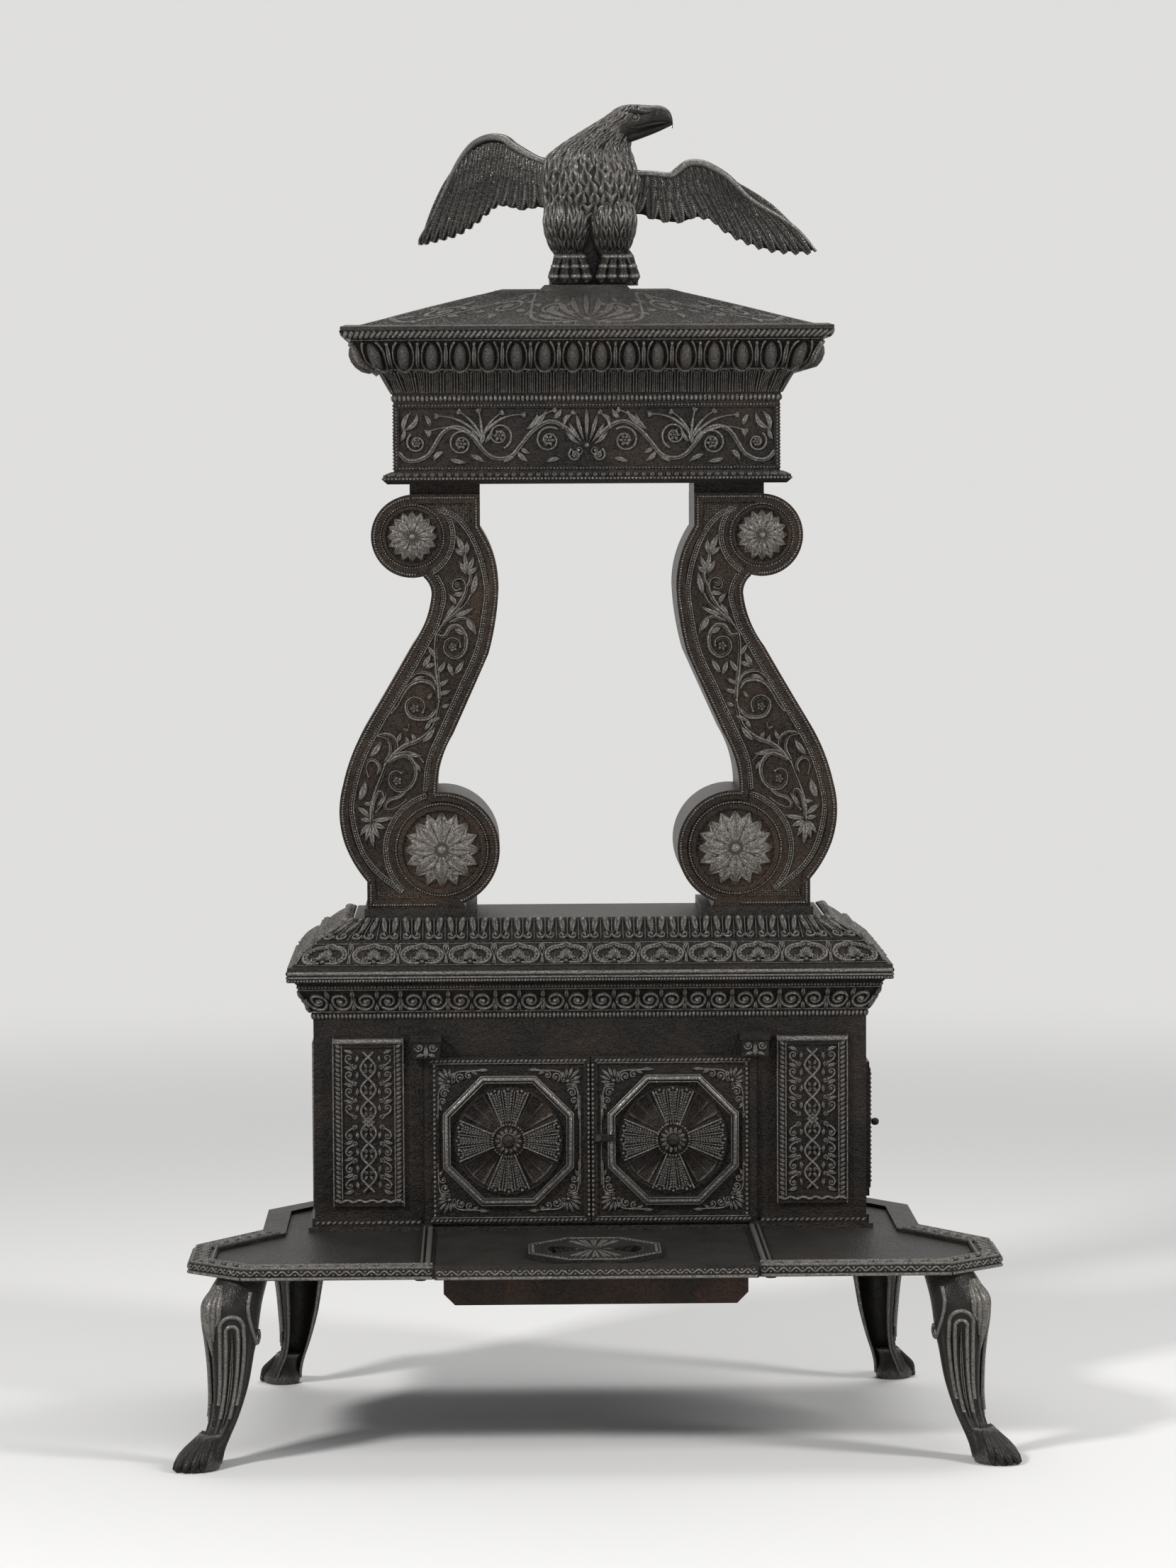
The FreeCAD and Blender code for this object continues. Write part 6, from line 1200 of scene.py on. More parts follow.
def shutter_mesh(relief):
    """The turning shutter: four ribbed and feathered blades between a hub and a rim."""
    back = SHUTTER_RIB - SHUTTER_THICK
    for quarter in range(4):
        middle = quarter * math.pi / 2 + math.pi / 4
        angles = np.linspace(middle - BLADE_HALF, middle + BLADE_HALF, 73)
        share = (angles - middle) / BLADE_HALF
        ribs = np.cos(share * math.pi * 1.5) ** 12 + (np.abs(share) > 0.9)
        rows = []
        for radius in np.linspace(13 * MM, 60 * MM, 48):
            barbs = 0.4 * (0.5 + 0.5 * np.cos(radius / MM * 2.1 + np.abs(np.sin(share * math.pi * 1.5)) * 4))
            level = np.clip(np.maximum(ribs, barbs), 0, 1) * SHUTTER_RIB
            if radius > 56 * MM or radius < 15 * MM:
                level = np.full(len(angles), SHUTTER_RIB)
            rows.append(np.column_stack([radius * np.cos(angles), radius * np.sin(angles), level]))
        top = np.array(rows)
        relief.grid(np.swapaxes(top, 0, 1)[:, ::-1][::-1])
        edge = np.vstack([top[0], top[1:, -1], top[-1][::-1][1:], top[:-1, 0][::-1][:-1]])
        below = edge.copy()
        below[:, 2] = back
        relief.grid(np.stack([np.vstack([edge, edge[:1]]), np.vstack([below, below[:1]])], axis=1))
    for inner, outer in ((2.6 * MM, 17 * MM), (56.6 * MM, 61 * MM)):
        angles = np.linspace(0, 2 * math.pi, 73)
        loops = [(inner, back), (inner, SHUTTER_RIB), (outer, SHUTTER_RIB), (outer, back), (inner, back)]
        relief.grid(np.array([[(r * math.cos(a), r * math.sin(a), h) for r, h in loops] for a in angles]))


def doors():
    fan_z = (DOOR_LOW.z + DOOR_HIGH.z) / 2
    half_wide, half_high = (DOOR_HIGH.x - DOOR_LOW.x) / 2, (DOOR_HIGH.z - DOOR_LOW.z) / 2
    fan, corners, ring_mould, boss, edge = Relief(), Relief(), Relief(), Relief(), Relief()
    door_fan(fan)
    door_corners(corners)
    for up in SIDES:
        for across in SIDES:
            corners.stroke([(across * 79 * MM, up * reach * MM) for reach in (50, 20, 0)], 0.8 * MM, 1.4 * MM)
    centre_line = octagon(FAN_HALF_ACROSS - FAN_RING_WIDE / 2)
    ring_mould.stroke(centre_line, 3.2 * MM, 2.8 * MM, closed=True)
    ring_mould.stroke(octagon(FAN_HALF_ACROSS - 0.9 * MM), 0.9 * MM, 1.6 * MM, closed=True)
    ring_mould.stroke(octagon(FAN_HALF_ACROSS - FAN_RING_WIDE + 0.9 * MM), 0.9 * MM, 1.4 * MM, closed=True)
    # Beads on all but the three upper sides
    for i in (3, 4, 5, 6, 7):
        for point in even([centre_line[i], centre_line[(i + 1) % 8]], 4.6 * MM):
            ring_mould.dome(point, 1.7 * MM, 1.7 * MM, 3.4 * MM, 7)
    boss.petals((0, 0), 7.5 * MM, 15.0 * MM, 14, 1.9 * MM, 2.8 * MM, lobes=False)
    boss.ring((0, 0), 8.2 * MM, 1.0 * MM, 1.8 * MM)
    fan.beads(arc((0, 0), 17.8 * MM, 0, 345), 3.4 * MM, 1.6 * MM, 2.6 * MM, 8)
    for up in SIDES:
        v = up * (half_high - 3.5 * MM)
        for point in even([(-half_wide + 8 * MM, v), (half_wide - 8 * MM, v)], 5.0 * MM):
            edge.leaf(point - (2.2 * MM, 1.5 * MM), point + (2.2 * MM, 1.5 * MM), 1.4 * MM, 1.5 * MM)
        reach, line_v = half_wide - 8 * MM, v - up * 3 * MM
        edge.stroke([(-reach, line_v), (0, line_v), (reach, line_v)], 0.6 * MM, 1.2 * MM)
    blade = Relief()
    shutter_mesh(blade)
    for side, name in NAMED_SIDES:
        body = f"{name}_door"
        x = FAN_X * side
        fan.laid(f"door_{name}_fan", front_sheet(BLADE_FRONT, x, fan_z), body)
        corners.laid(f"door_{name}_corners", front_sheet(DOOR_FRONT, x, fan_z), body)
        ring_mould.laid(f"door_{name}_octagon", front_sheet(RING_FRONT, x, fan_z), body, material=GLOSS_IRON)
        boss.laid(f"door_{name}_boss", front_sheet(BOSS_FRONT, x, fan_z), body)
        border = Relief()
        border.merged(edge)
        for across in SIDES:
            # The row on the outer side stands further in, clear of the hinge
            inward = across * (half_wide - (10.5 if across == side else 3.5) * MM)
            for point in even([(inward, -half_high + 9 * MM), (inward, half_high - 9 * MM)], 5.4 * MM):
                border.dome(point, 1.7 * MM, 2.3 * MM, 1.7 * MM, 7)
        border.laid(f"door_{name}_border", front_sheet(FRAME_FRONT, x, fan_z), body)
        front = low(f"shutter_{name}").y + SHUTTER_RIB
        turning = blade.laid(f"shutter_{name}_ribbed", front_sheet(front, x, fan_z),
                             f"{name}_shutter", "rusty_iron")
        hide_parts(f"shutter_{name}")


# Capitals

def capitals():
    for _, name in NAMED_SIDES:
        near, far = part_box(f"capital_{name}")
        x, z = (near.x + far.x) / 2, (near.z + far.z) / 2
        part = Relief()
        part.curl((7.5 * MM, 2 * MM), 4.8 * MM, 0, -450, 1.2 * MM, 2.4 * MM)
        part.leaf((2 * MM, -6 * MM), (11 * MM, -9 * MM), 2.0 * MM, 2.2 * MM, 0.2)
        drawing = Relief()
        drawing.both_ways(part)
        drawing.leaf((0, -9.5 * MM), (0, 5 * MM), 2.8 * MM, 2.6 * MM)
        drawing.laid(f"capital_{name}_scrolls", front_sheet(near.y + 2 * MM, x, z - 2 * MM))
        slab = Relief()
        slab.stroke([(-16 * MM, 0), (0, 0), (16 * MM, 0)], 2.2 * MM, 0.9 * MM)
        slab.laid(f"capital_{name}_slab", front_sheet(near.y + 0.9 * MM, x, far.z - 3 * MM),
                  material=GLOSS_IRON)


# Hearth

HEARTH_RIM = 26 * MM
HEARTH_TOP = 210 * MM
# The plate's outline on one side, from the slide's edge round to the back
HEARTH_PLAN = np.array([(172.5, -243.385), (373, -243.385), (430, -192.385), (430, -89.385),
                        (362, 8.615)]) * MM
SLIDE_WIDE = 336 * MM
REGISTER_BORDER = 212.6 * MM
REGISTER_TOP = 212.3 * MM
REGISTER_RISE = 1.2 * MM
# Place across and half width in millimetres of the two guides beside the slide
GUIDES = ((177.5, 3.0), (184.0, 1.4))


def floor_sheet(level, y=0.0, side=1):
    """A level sheet: u runs outward on the side given, v runs to the back."""
    return sheet((0, y, level), (side, 0, 0), (0, 1, 0), (0, 0, 1))


def edge_mould(relief, length):
    """A wave with a bead in every turn, over a plain roll, down the hearth's edge."""
    relief.stroke(even([(-length / 2, -9.4 * MM), (length / 2, -9.4 * MM)], 12 * MM), 2.0 * MM, 2.4 * MM)
    waves = max(2, round(length / (13 * MM)))
    level = -3.7 * MM

    def sway(u):
        return np.sin(u / length * 2 * math.pi * waves)

    u = np.linspace(-length / 2, length / 2, waves * 8 + 1)
    relief.stroke(np.column_stack([u, level + 2.0 * MM * sway(u)]), 1.2 * MM, 2.2 * MM)
    for turn in range(2 * waves):
        centre = ((turn + 0.5) / (2 * waves) - 0.5) * length
        across = -1.6 * MM if sway(centre) > 0 else 1.6 * MM
        relief.dome((centre, level + across), 1.7 * MM, 1.4 * MM, 2.4 * MM, 8)


def rim_stretch(length):
    """A wave of leaves between two lines."""
    part = Relief()
    run_of(part, length - 6 * MM, 19 * MM, lambda r, u, w: leaf_wave(r, u, w, HEARTH_RIM * 0.8))
    for v in (2.2 * MM, HEARTH_RIM - 2.2 * MM):
        part.stroke(even([(-length / 2, v), (length / 2, v)], 12 * MM), 1.5 * MM, 2.6 * MM)
    return part


def hearth():
    """A wave of leaves round the rim, and a wave with beads and a roll on its edge."""
    for side, name in NAMED_SIDES:
        rim = Relief()
        for count, (a, b) in enumerate(zip(HEARTH_PLAN, HEARTH_PLAN[1:]), start=1):
            length = np.linalg.norm(b - a)
            way = (b - a) / length
            inward = np.array([-way[1], way[0]])
            middle = (a + b) / 2
            rim.merged(rim_stretch(length), sheet((*middle, 0), (*way, 0), (*inward, 0), (0, 0, 1)))
            lip = Relief()
            edge_mould(lip, length)
            face = sheet((side * middle[0], middle[1], HEARTH_TOP), (side * way[0], way[1], 0), (0, 0, 1),
                         (-side * inward[0], -inward[1], 0))
            lip.laid(f"hearth_lip_{name}_{count}", face, slot="grey_iron")
        for x, half_width in GUIDES:
            guide = [(x * MM, HEARTH_PLAN[0][1] + 2 * MM), (x * MM, BODY_FACE - 6 * MM)]
            rim.stroke(even(guide, 12 * MM), half_width * MM, 2.2 * MM)
        rim.laid(f"hearth_rim_{name}", floor_sheet(HEARTH_TOP, side=side), slot="grey_iron")
    lip = Relief()
    edge_mould(lip, SLIDE_WIDE)
    lip.laid("slide_lip", front_sheet(low("hearth_slide").y + 1.1 * MM, z=HEARTH_TOP), "slide", "grey_iron")
    register()


def register():
    """Beads round the register's octagon, and feathers and leaves on its turning plate."""
    y = (low("hearth_register").y + high("hearth_register").y) / 2
    border = Relief()
    outline = octagon(66 * MM)
    for i in range(8):
        for point in even([outline[i], outline[(i + 1) % 8]], 5.6 * MM):
            border.dome(point, 2.0 * MM, 2.0 * MM, 0.9 * MM, 8)
    border.stroke(octagon(70 * MM), 1.2 * MM, 0.8 * MM, closed=True)
    border.laid("register_border", floor_sheet(REGISTER_BORDER, y), "slide", "grey_iron")
    disc = Relief()
    for quarter in range(4):
        middle = math.pi / 2 * quarter
        if quarter % 2:
            for step in (-2, -1, 0, 1, 2):
                feather_column(disc, middle + step * math.radians(13), 12 * MM, 54 * MM, math.radians(5))
        else:
            turn = math.degrees(middle)
            # Each arc and inner leaf lies twice in its place, which keeps it as dark as the plate
            for _ in SIDES:
                disc.stroke(arc((0, 0), 52.5 * MM, turn - 30, turn + 30), 1.0 * MM, REGISTER_RISE)
                disc.leaf(polar(middle, 9 * MM), polar(middle, 20 * MM), 3.4 * MM, REGISTER_RISE)
    whole = Relief()
    whole.merged(disc, lambda p: np.column_stack([p[:, :2], np.minimum(p[:, 2], REGISTER_RISE)]))
    whole.laid("register_feathers", floor_sheet(REGISTER_TOP, y), "register", "grey_iron")


# Body ends and feed door

def ends():
    """A plain framed end on the left, and a beaded border on the feed door in the right one."""
    half_wide, half_high = 84 * MM, 92 * MM
    drawing = Relief()
    frame_of_beads(drawing, half_wide - 6 * MM, half_high - 6 * MM, 5 * MM, 1.5 * MM)
    drawing.stroke(rectangle(half_wide, half_high), 1.6 * MM, 2.2 * MM, closed=True)
    drawing.laid("left_end_frame", end_sheet(-BODY_HALF_X, -1, CORE, 322 * MM))
    near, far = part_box("feed_door")
    drawing = Relief()
    frame_of_beads(drawing, 44 * MM, 60 * MM, 5 * MM, 1.4 * MM)
    part = Relief()
    palmette(part, (0, 0), 20 * MM, 60, 5, 1.8 * MM, 1.6 * MM)
    drawing.in_corners(part, (20 * MM, 34 * MM))
    drawing.ring((0, 0), 14 * MM, 1.4 * MM, 1.5 * MM)
    place = end_sheet(far.x, 1, (near.y + far.y) / 2 - 4 * MM, (near.z + far.z) / 2)
    drawing.laid("feed_door_relief", place, "feed_door")


# Roof

# Half width, half depth and level of the slope's lower and upper edge, in millimetres
ROOF_SLOPE = ((256, 124, 1200), (92, 42, 1243))
# Half of the front's ornament: places across in shares of a scale, places up in shares of the slope
ROOF_SCALE = 0.94 * MM
ROOF_SCROLLS = ((38, 0.45, 15, 200, -520), (92, 0.5, 16, 30, 520), (148, 0.36, 15, 160, -520))
ROOF_STEM = ((44, 0.14), (66, 0.55), (92, 0.86), (120, 0.5), (150, 0.12), (178, 0.2))


def roof():
    """Worn acanthus scrolls on the front slope and plain leaves on the ends."""
    slope = Band(np.array(ROOF_SLOPE) * MM, hold=0)

    def at(across, up):
        return np.array([across * ROOF_SCALE, up * slope.high])

    half = Relief()
    for across, up, radius, start, turn in ROOF_SCROLLS:
        centre = at(across, up)
        half.curl(centre, radius * MM, start, turn, 2.2 * MM, 1.8 * MM)
        for angle in range(0, 360, 60):
            way = polar(math.radians(angle + 20), 1)
            half.leaf(centre + way * radius * 1.05 * MM, centre + way * (radius + 13) * MM,
                      3.6 * MM, 1.7 * MM, 0.3)
    stem = smooth([(6 * MM, slope.high * 0.1), *(at(*place) for place in ROOF_STEM)], 3 * MM)
    half.stroke(stem, 2.2 * MM, 1.7 * MM)
    whole = Relief()
    whole.both_ways(half)
    palmette(whole, (0, slope.high * 0.08), slope.high * 0.82, 66, 9, 3.8 * MM, 2.0 * MM)
    cast = Relief()
    pebbles(cast, -170 * MM, 170 * MM, 3 * MM, slope.high - 4 * MM, 7)
    leaves = Relief()
    for u in (-54, -18, 18, 54):
        leaves.leaf((u * MM, slope.high * 0.1), (u * MM, slope.high * 0.85), 7 * MM, 1.8 * MM)
    for name, drawing, end in (("front_scrolls", whole, 0), ("pebbles", cast, 0), ("left_leaves", leaves, -1),
                               ("right_leaves", leaves, 1)):
        drawing.laid(f"roof_{name}", slope.place(end), slot="grey_iron", material=ROOF_IRON)


# Forms through sections

def skin(rings):
    """Points and faces of a closed form through rings that have the same number of points."""
    rings = np.array(rings)
    count, around = rings.shape[:2]
    faces = []
    for i in range(count - 1):
        for j in range(around):
            k = (j + 1) % around
            faces.append((i * around + j, i * around + k, (i + 1) * around + k, (i + 1) * around + j))
    faces.append(tuple(range(around))[::-1])
    faces.append(tuple((count - 1) * around + j for j in range(around)))
    return rings.reshape(-1, 3), faces


def tube(path, radii, sides, step):
    """A round limb along a path in space."""
    rows = smooth(np.column_stack([np.array(path, float), radii]), step)
    along = np.gradient(rows[:, :3], axis=0)
    along /= np.linalg.norm(along, axis=1)[:, None]
    aside = np.cross(along, (0.0, 0.0, 1.0))
    flat = np.linalg.norm(aside, axis=1) < 0.05
    aside[flat] = np.cross(along[flat], (1.0, 0.0, 0.0))
    aside /= np.linalg.norm(aside, axis=1)[:, None]
    across = np.cross(aside, along)
    angles = np.linspace(0, 2 * math.pi, sides, endpoint=False)
    rings = [row[:3] + row[3] * (np.outer(np.cos(angles), a) + np.outer(np.sin(angles), b))
             for row, a, b in zip(rows, aside, across)]
    return skin(rings)


class Trunk:
    """A form through level ellipses, with feathers or ribs laid on it."""

    def __init__(self, stations, step=3 * MM):
        self.rows = smooth(np.array(stations, float) * MM, step)
        self.marks = np.linspace(0, 1, len(self.rows))
        self.high = np.linalg.norm(np.diff(self.rows[:, :3], axis=0), axis=1).sum()

    def at(self, angle, share):
        x, y, z, half_x, half_y = (np.interp(share, self.marks, column) for column in self.rows.T)
        return np.column_stack([x + half_x * np.cos(angle), y + half_y * np.sin(angle), z])

    def body(self, around=44):
        angles = np.linspace(0, 2 * math.pi, around, endpoint=False)
        return skin([self.at(angles, np.full(around, mark)) for mark in self.marks])

    def radius(self, share):
        half_wide, half_deep = (np.interp(share, self.marks, self.rows[:, i]) for i in (3, 4))
        return (half_wide + half_deep) / 2

    def spot(self, angle, share):
        """Lays a small drawing round one place: u runs round the form, v up it and height out of it."""
        radius = self.radius(share)

        def lay(p):
            angles, shares = angle + p[:, 0] / radius, np.clip(share + p[:, 1] / self.high, 0, 1)
            here = self.at(angles, shares)
            round_way = self.at(angles + 0.02, shares) - here
            up_way = (self.at(angles, np.clip(shares + 0.01, 0, 1))
                      - self.at(angles, np.clip(shares - 0.01, 0, 1)))
            out = np.cross(round_way, up_way)
            out /= np.maximum(np.linalg.norm(out, axis=1), 1e-12)[:, None]
            return here + out * p[:, 2:]

        return lay


def feather(relief, root, tip, half_width, height, bend=0.0, barb=2.6 * MM):
    """A long feather with a raised shaft and slanting barbs."""
    length = np.linalg.norm(np.subtract(tip, root))
    steps = max(10, int(length / (barb / 2.4)))
    share = np.linspace(0, 1, steps)
    line = bowed(root, tip, bend, steps)
    left = sides_of(line)[1]
    width = (half_width * np.minimum(1, 0.55 + share * 1.2)
             * np.sqrt(np.clip(1 - (share - 0.02) ** 6, 0.02, 1)))
    across = np.array([-1, -0.86, -0.6, -0.34, -0.13, 0, 0.13, 0.34, 0.6, 0.86, 1])
    rows = np.zeros((steps, len(across), 3))
    for j, place in enumerate(across):
        rows[:, j, :2] = line + left * (width * place)[:, None]
        barbs = 0.2 * np.sin(2 * math.pi * (share * length + abs(place) * half_width * 0.9) / barb)
        dish = 1.25 if place == 0 else 0.62 + 0.3 * abs(place) - 0.35 * place * place
        edge = 0.35 if abs(place) == 1 else 1
        rows[:, j, 2] = height * (dish + (barbs if 0 < abs(place) < 1 else 0)) * edge * (0.65 + 0.35 * share)
    rows[:, 0, 2] = rows[:, -1, 2] = -SINK
    rows[-1, :, 2] = -SINK
    relief.grid(rows)


# Eagle

EAGLE_FOOT = low("eagle_body").z
# Sections in millimetres about the eagle's feet: middle across, forward and up, half width and half depth
EAGLE_TRUNK = (
    (6, 0, 64, 30, 22), (6, 0, 80, 46, 34), (6.5, -1, 100, 50.5, 41), (6.5, -1, 122, 50.5, 43),
    (6, -1, 138, 47, 39), (10, -2, 150, 39.5, 33), (19, -6, 161, 32, 27), (31, -11, 173, 24, 22),
    (42, -15, 183, 18, 18), (50, -18, 192, 13.5, 14), (55, -19, 197.5, 7, 8),
)
EAGLE_THIGH = (
    (0, -3, 34, 13, 12), (0, -8, 46, 18.5, 19), (0, -14, 60, 23, 25), (0, -16, 74, 24, 27),
    (0, -13, 87, 21, 24), (0, -7, 97, 13, 16),
)
THIGH_X = (-19.5, 31.5)
EAGLE_HEEL = ((-2, 0, 23, 17), (-3, 10, 23, 18), (-3, 22, 18, 15), (-3, 34, 13, 12), (-3, 46, 14, 13))
EAGLE_TAIL = ((6, 16, 0, 32, 12), (6, 16, 30, 34, 13), (6, 15, 60, 32, 13), (6, 12, 88, 28, 12))
# Place across, height, half height and half depth of each section, from the neck to the hook of the beak
EAGLE_HEAD = (
    (24, 166, 17, 16), (36, 174, 18.5, 16.5), (47, 180, 18, 16), (57, 182.5, 16, 14.5), (67, 184.5, 13.5, 12),
    (75, 186, 11.5, 9.5), (82, 187, 10.5, 8), (89, 186.5, 9, 6.5), (94.5, 184, 7, 5), (97.5, 179.5, 4.4, 3.4),
    (98, 175, 2.2, 1.9), (97, 172.5, 0.8, 0.7),
)
HEAD_FORWARD = -18


def eagle_base(points):
    """From millimetres about the eagle's feet to its place on the roof."""
    return np.array(points, float) * MM + np.array([0, CORE, EAGLE_FOOT])


def scales(form, trunk, start, end, pitch, half_width, length, height, seed):
    """Rows of overlapping feathers that point down a form."""
    random = np.random.default_rng(seed)
    rows = max(2, int(trunk.high * (end - start) / pitch))
    for i in range(rows):
        share = start + (end - start) * i / (rows - 1)
        around = max(5, int(2 * math.pi * trunk.radius(share) / (half_width * 1.75)))
        for j in range(around):
            angle = 2 * math.pi * (j + 0.5 * (i % 2)) / around + random.uniform(-0.05, 0.05)
            one = Relief()
            size = random.uniform(0.85, 1.15)
            sway = random.uniform(-0.22, 0.22) * length
            one.leaf((-sway * 0.5, length * 0.5), (sway, -length * 0.5 * size), half_width * size, height,
                     bend=random.uniform(-0.25, 0.25), fat=0.6)
            form.merged(one, trunk.spot(angle, share))


def eagle_foot(form, x):
    """A scaly ankle over four knuckled toes with claws."""
    form.add(*Trunk([(x, *section) for section in EAGLE_HEEL]).body(24))
    for offset in (-17, -6, 6, 17):
        path = [(x + offset * 0.45, -9, 40), (x + offset * 0.72, -15, 31), (x + offset * 0.95, -21, 20),
                (x + offset * 1.08, -25, 9), (x + offset * 1.08, -29, 1.2)]
        form.add(*tube(np.array(path) * MM, np.array([3.6, 5.4, 4.6, 5.8, 1.6]) * MM, 12, 1.5 * MM))
        for (across, forward, up), size in zip(path[1:4], (6.1, 5.4, 6.4)):
            rings = ((-4, 1), (-2.5, size * 0.8), (0, size), (2.5, size * 0.8), (4, 1))
            knob = Trunk([(across, forward - 1, up + lift, half, half) for lift, half in rings], MM)
            form.add(*knob.body(12))


# Middle lines, in millimetres: across, place out from the middle of the head, and height
JAW = ((48, 0, 163), (62, 0, 167), (78, 0, 171.5), (89, 0, 175), (96, 0, 177.5))
BROW = ((38, 14, 187), (50, 14.5, 190), (62, 13, 189), (74, 9, 189.5))
BEAK_LIP = ((46, 14, 172.5), (58, 13, 172.5), (70, 10, 175), (82, 6.5, 177.5), (91, 3.5, 178))


def eagle_head(form):
    """The skull and beak through sections, with a jaw, brows, lips and eyes."""
    around = 28
    angles = np.linspace(0, 2 * math.pi, around, endpoint=False)
    rings = []
    for across, up, high_half, deep in smooth(np.array(EAGLE_HEAD) * MM, 2 * MM):
        forward = HEAD_FORWARD * MM + deep * np.cos(angles)
        rings.append(np.column_stack([np.full(around, across), forward, up + high_half * np.sin(angles)]))
    form.add(*skin(rings))

    def limb(line, face, radii, sides, step):
        path = np.array([(across, HEAD_FORWARD + face * out, up) for across, out, up in line])
        form.add(*tube(path * MM, np.array(radii) * MM, sides, step * MM))

    limb(JAW, 1, (7, 6.2, 4.6, 3.2, 2.4), 14, 2)
    for face in SIDES:
        limb(BROW, face, (1.4, 3.0, 2.8, 1.2), 10, 1.5)
        limb(BEAK_LIP, face, (1.0, 1.9, 1.9, 1.6, 1.0), 10, 1.5)
        eye = Relief()
        eye.dome((0, 0), 3.2 * MM, 2.8 * MM, 2.6 * MM, 14)
        eye.ring((0, 0), 4.4 * MM, 0.9 * MM, 1.6 * MM)
        place = (56 * MM, (HEAD_FORWARD + face * 13.7) * MM, 183.5 * MM)
        form.merged(eye, sheet(place, (-face, 0, 0), (0, 0, 1), (0, face, 0)))


WING_TURN = {"left": math.radians(42), "right": math.radians(10)}
WING_HALF_THICK = 1.6 * MM
# Wing outlines from the root out, in millimetres along the wing and up from the eagle's feet
WINGS = {
    "left": {
        "root": -38,
        "top": ((0, 138), (20, 144), (38, 152), (54, 160), (68, 168), (90, 170), (112, 163), (130, 148),
                (144, 130), (160, 106), (178, 80), (194, 62), (196, 54)),
        "low": ((188, 54), (166, 57), (140, 62), (116, 72), (96, 84), (80, 92), (60, 90), (40, 86),
                (20, 88), (0, 90)),
        "fan": 14,
    },
    "right": {
        "root": 50,
        "top": ((0, 126), (22, 126), (46, 124), (56, 130), (66, 137), (78, 138), (92, 134), (112, 122),
                (138, 98), (172, 78), (194, 62), (213, 41)),
        "low": ((204, 37), (184, 37), (158, 40), (134, 48), (114, 58), (100, 70), (78, 76), (56, 70),
                (34, 72), (14, 78), (0, 84)),
        "fan": 15,
    },
}


def wing_feathers(relief, outline):
    """Three layers: long flight feathers, then two rows of coverts under a rolled top edge."""
    top = smooth(np.array(outline["top"]) * MM, 1.5 * MM)
    base = smooth(np.array(outline["low"][::-1]) * MM, 1.5 * MM)
    count = outline["fan"]

    def on(line, share):
        return line[int(np.clip(share, 0, 1) * (len(line) - 1))]

    for i in range(count):
        share = i / (count - 1)
        root = on(top, 0.08 + 0.42 * share)
        tip = on(base, 0.04 + 0.96 * share ** 0.9)
        root = root + (tip - root) * 0.12
        feather(relief, root, tip + (tip - root) * 0.02, (8.6 - 2.2 * share) * MM, 3.6 * MM, 0.1 * share)
    for depth, first, last, rise, half_width in ((0.60, 0.04, 0.52, 4.4, 6.2), (0.36, 0.04, 0.56, 5.4, 5.4)):
        rows = count + 2
        for i in range(rows):
            share = i / (rows - 1)
            root = on(top, first + (last - first) * share)
            tip = on(base, 0.02 + 0.80 * share)
            start = root + (tip - root) * 0.10
            end = root + (tip - root) * (depth - 0.06 * share)
            feather(relief, start, end, half_width * MM * (1 - 0.2 * share), rise * MM, 0.06, 2.2 * MM)
    width = np.interp(np.linspace(0, 1, len(top)), [0, 0.35, 0.7, 1], [3.2, 4.6, 3.6, 1.6]) * MM
    relief.stroke(top - (0, 2.4 * MM), width, width * 1.35)


def wing_sheet(name, outline, face):
    """One face of a wing; the other face is its mirror image through the wing's plane."""
    side = -1 if name == "left" else 1
    turn = WING_TURN[name]
    right = np.array([side * math.cos(turn), math.sin(turn), 0.0])
    out = np.array([side * math.sin(turn), -math.cos(turn), 0.0]) * face
    origin = np.array([outline["root"] * MM, CORE, EAGLE_FOOT]) + out * WING_HALF_THICK
    return sheet(origin, right, (0, 0, 1), out)


def wings():
    for name, outline in WINGS.items():
        form = Relief()
        plate = smooth(np.array(outline["top"] + outline["low"]) * MM, 3 * MM, closed=True)[:-1]
        middle = plate.mean(axis=0)
        inner = middle + (plate - middle) * 0.97
        flat = Relief()
        flat.add(*skin([np.column_stack([inner, np.full(len(inner), level)])
                        for level in (-2 * WING_HALF_THICK, 0)]))
        form.merged(flat, wing_sheet(name, outline, 1))
        drawing = Relief()
        wing_feathers(drawing, outline)
        for face in SIDES:
            form.merged(drawing, wing_sheet(name, outline, face))
        made = form.laid(f"eagle_wing_{name}_feathered", lambda p: p, material=GLOSS_IRON)
        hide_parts(f"eagle_wing_{name}")


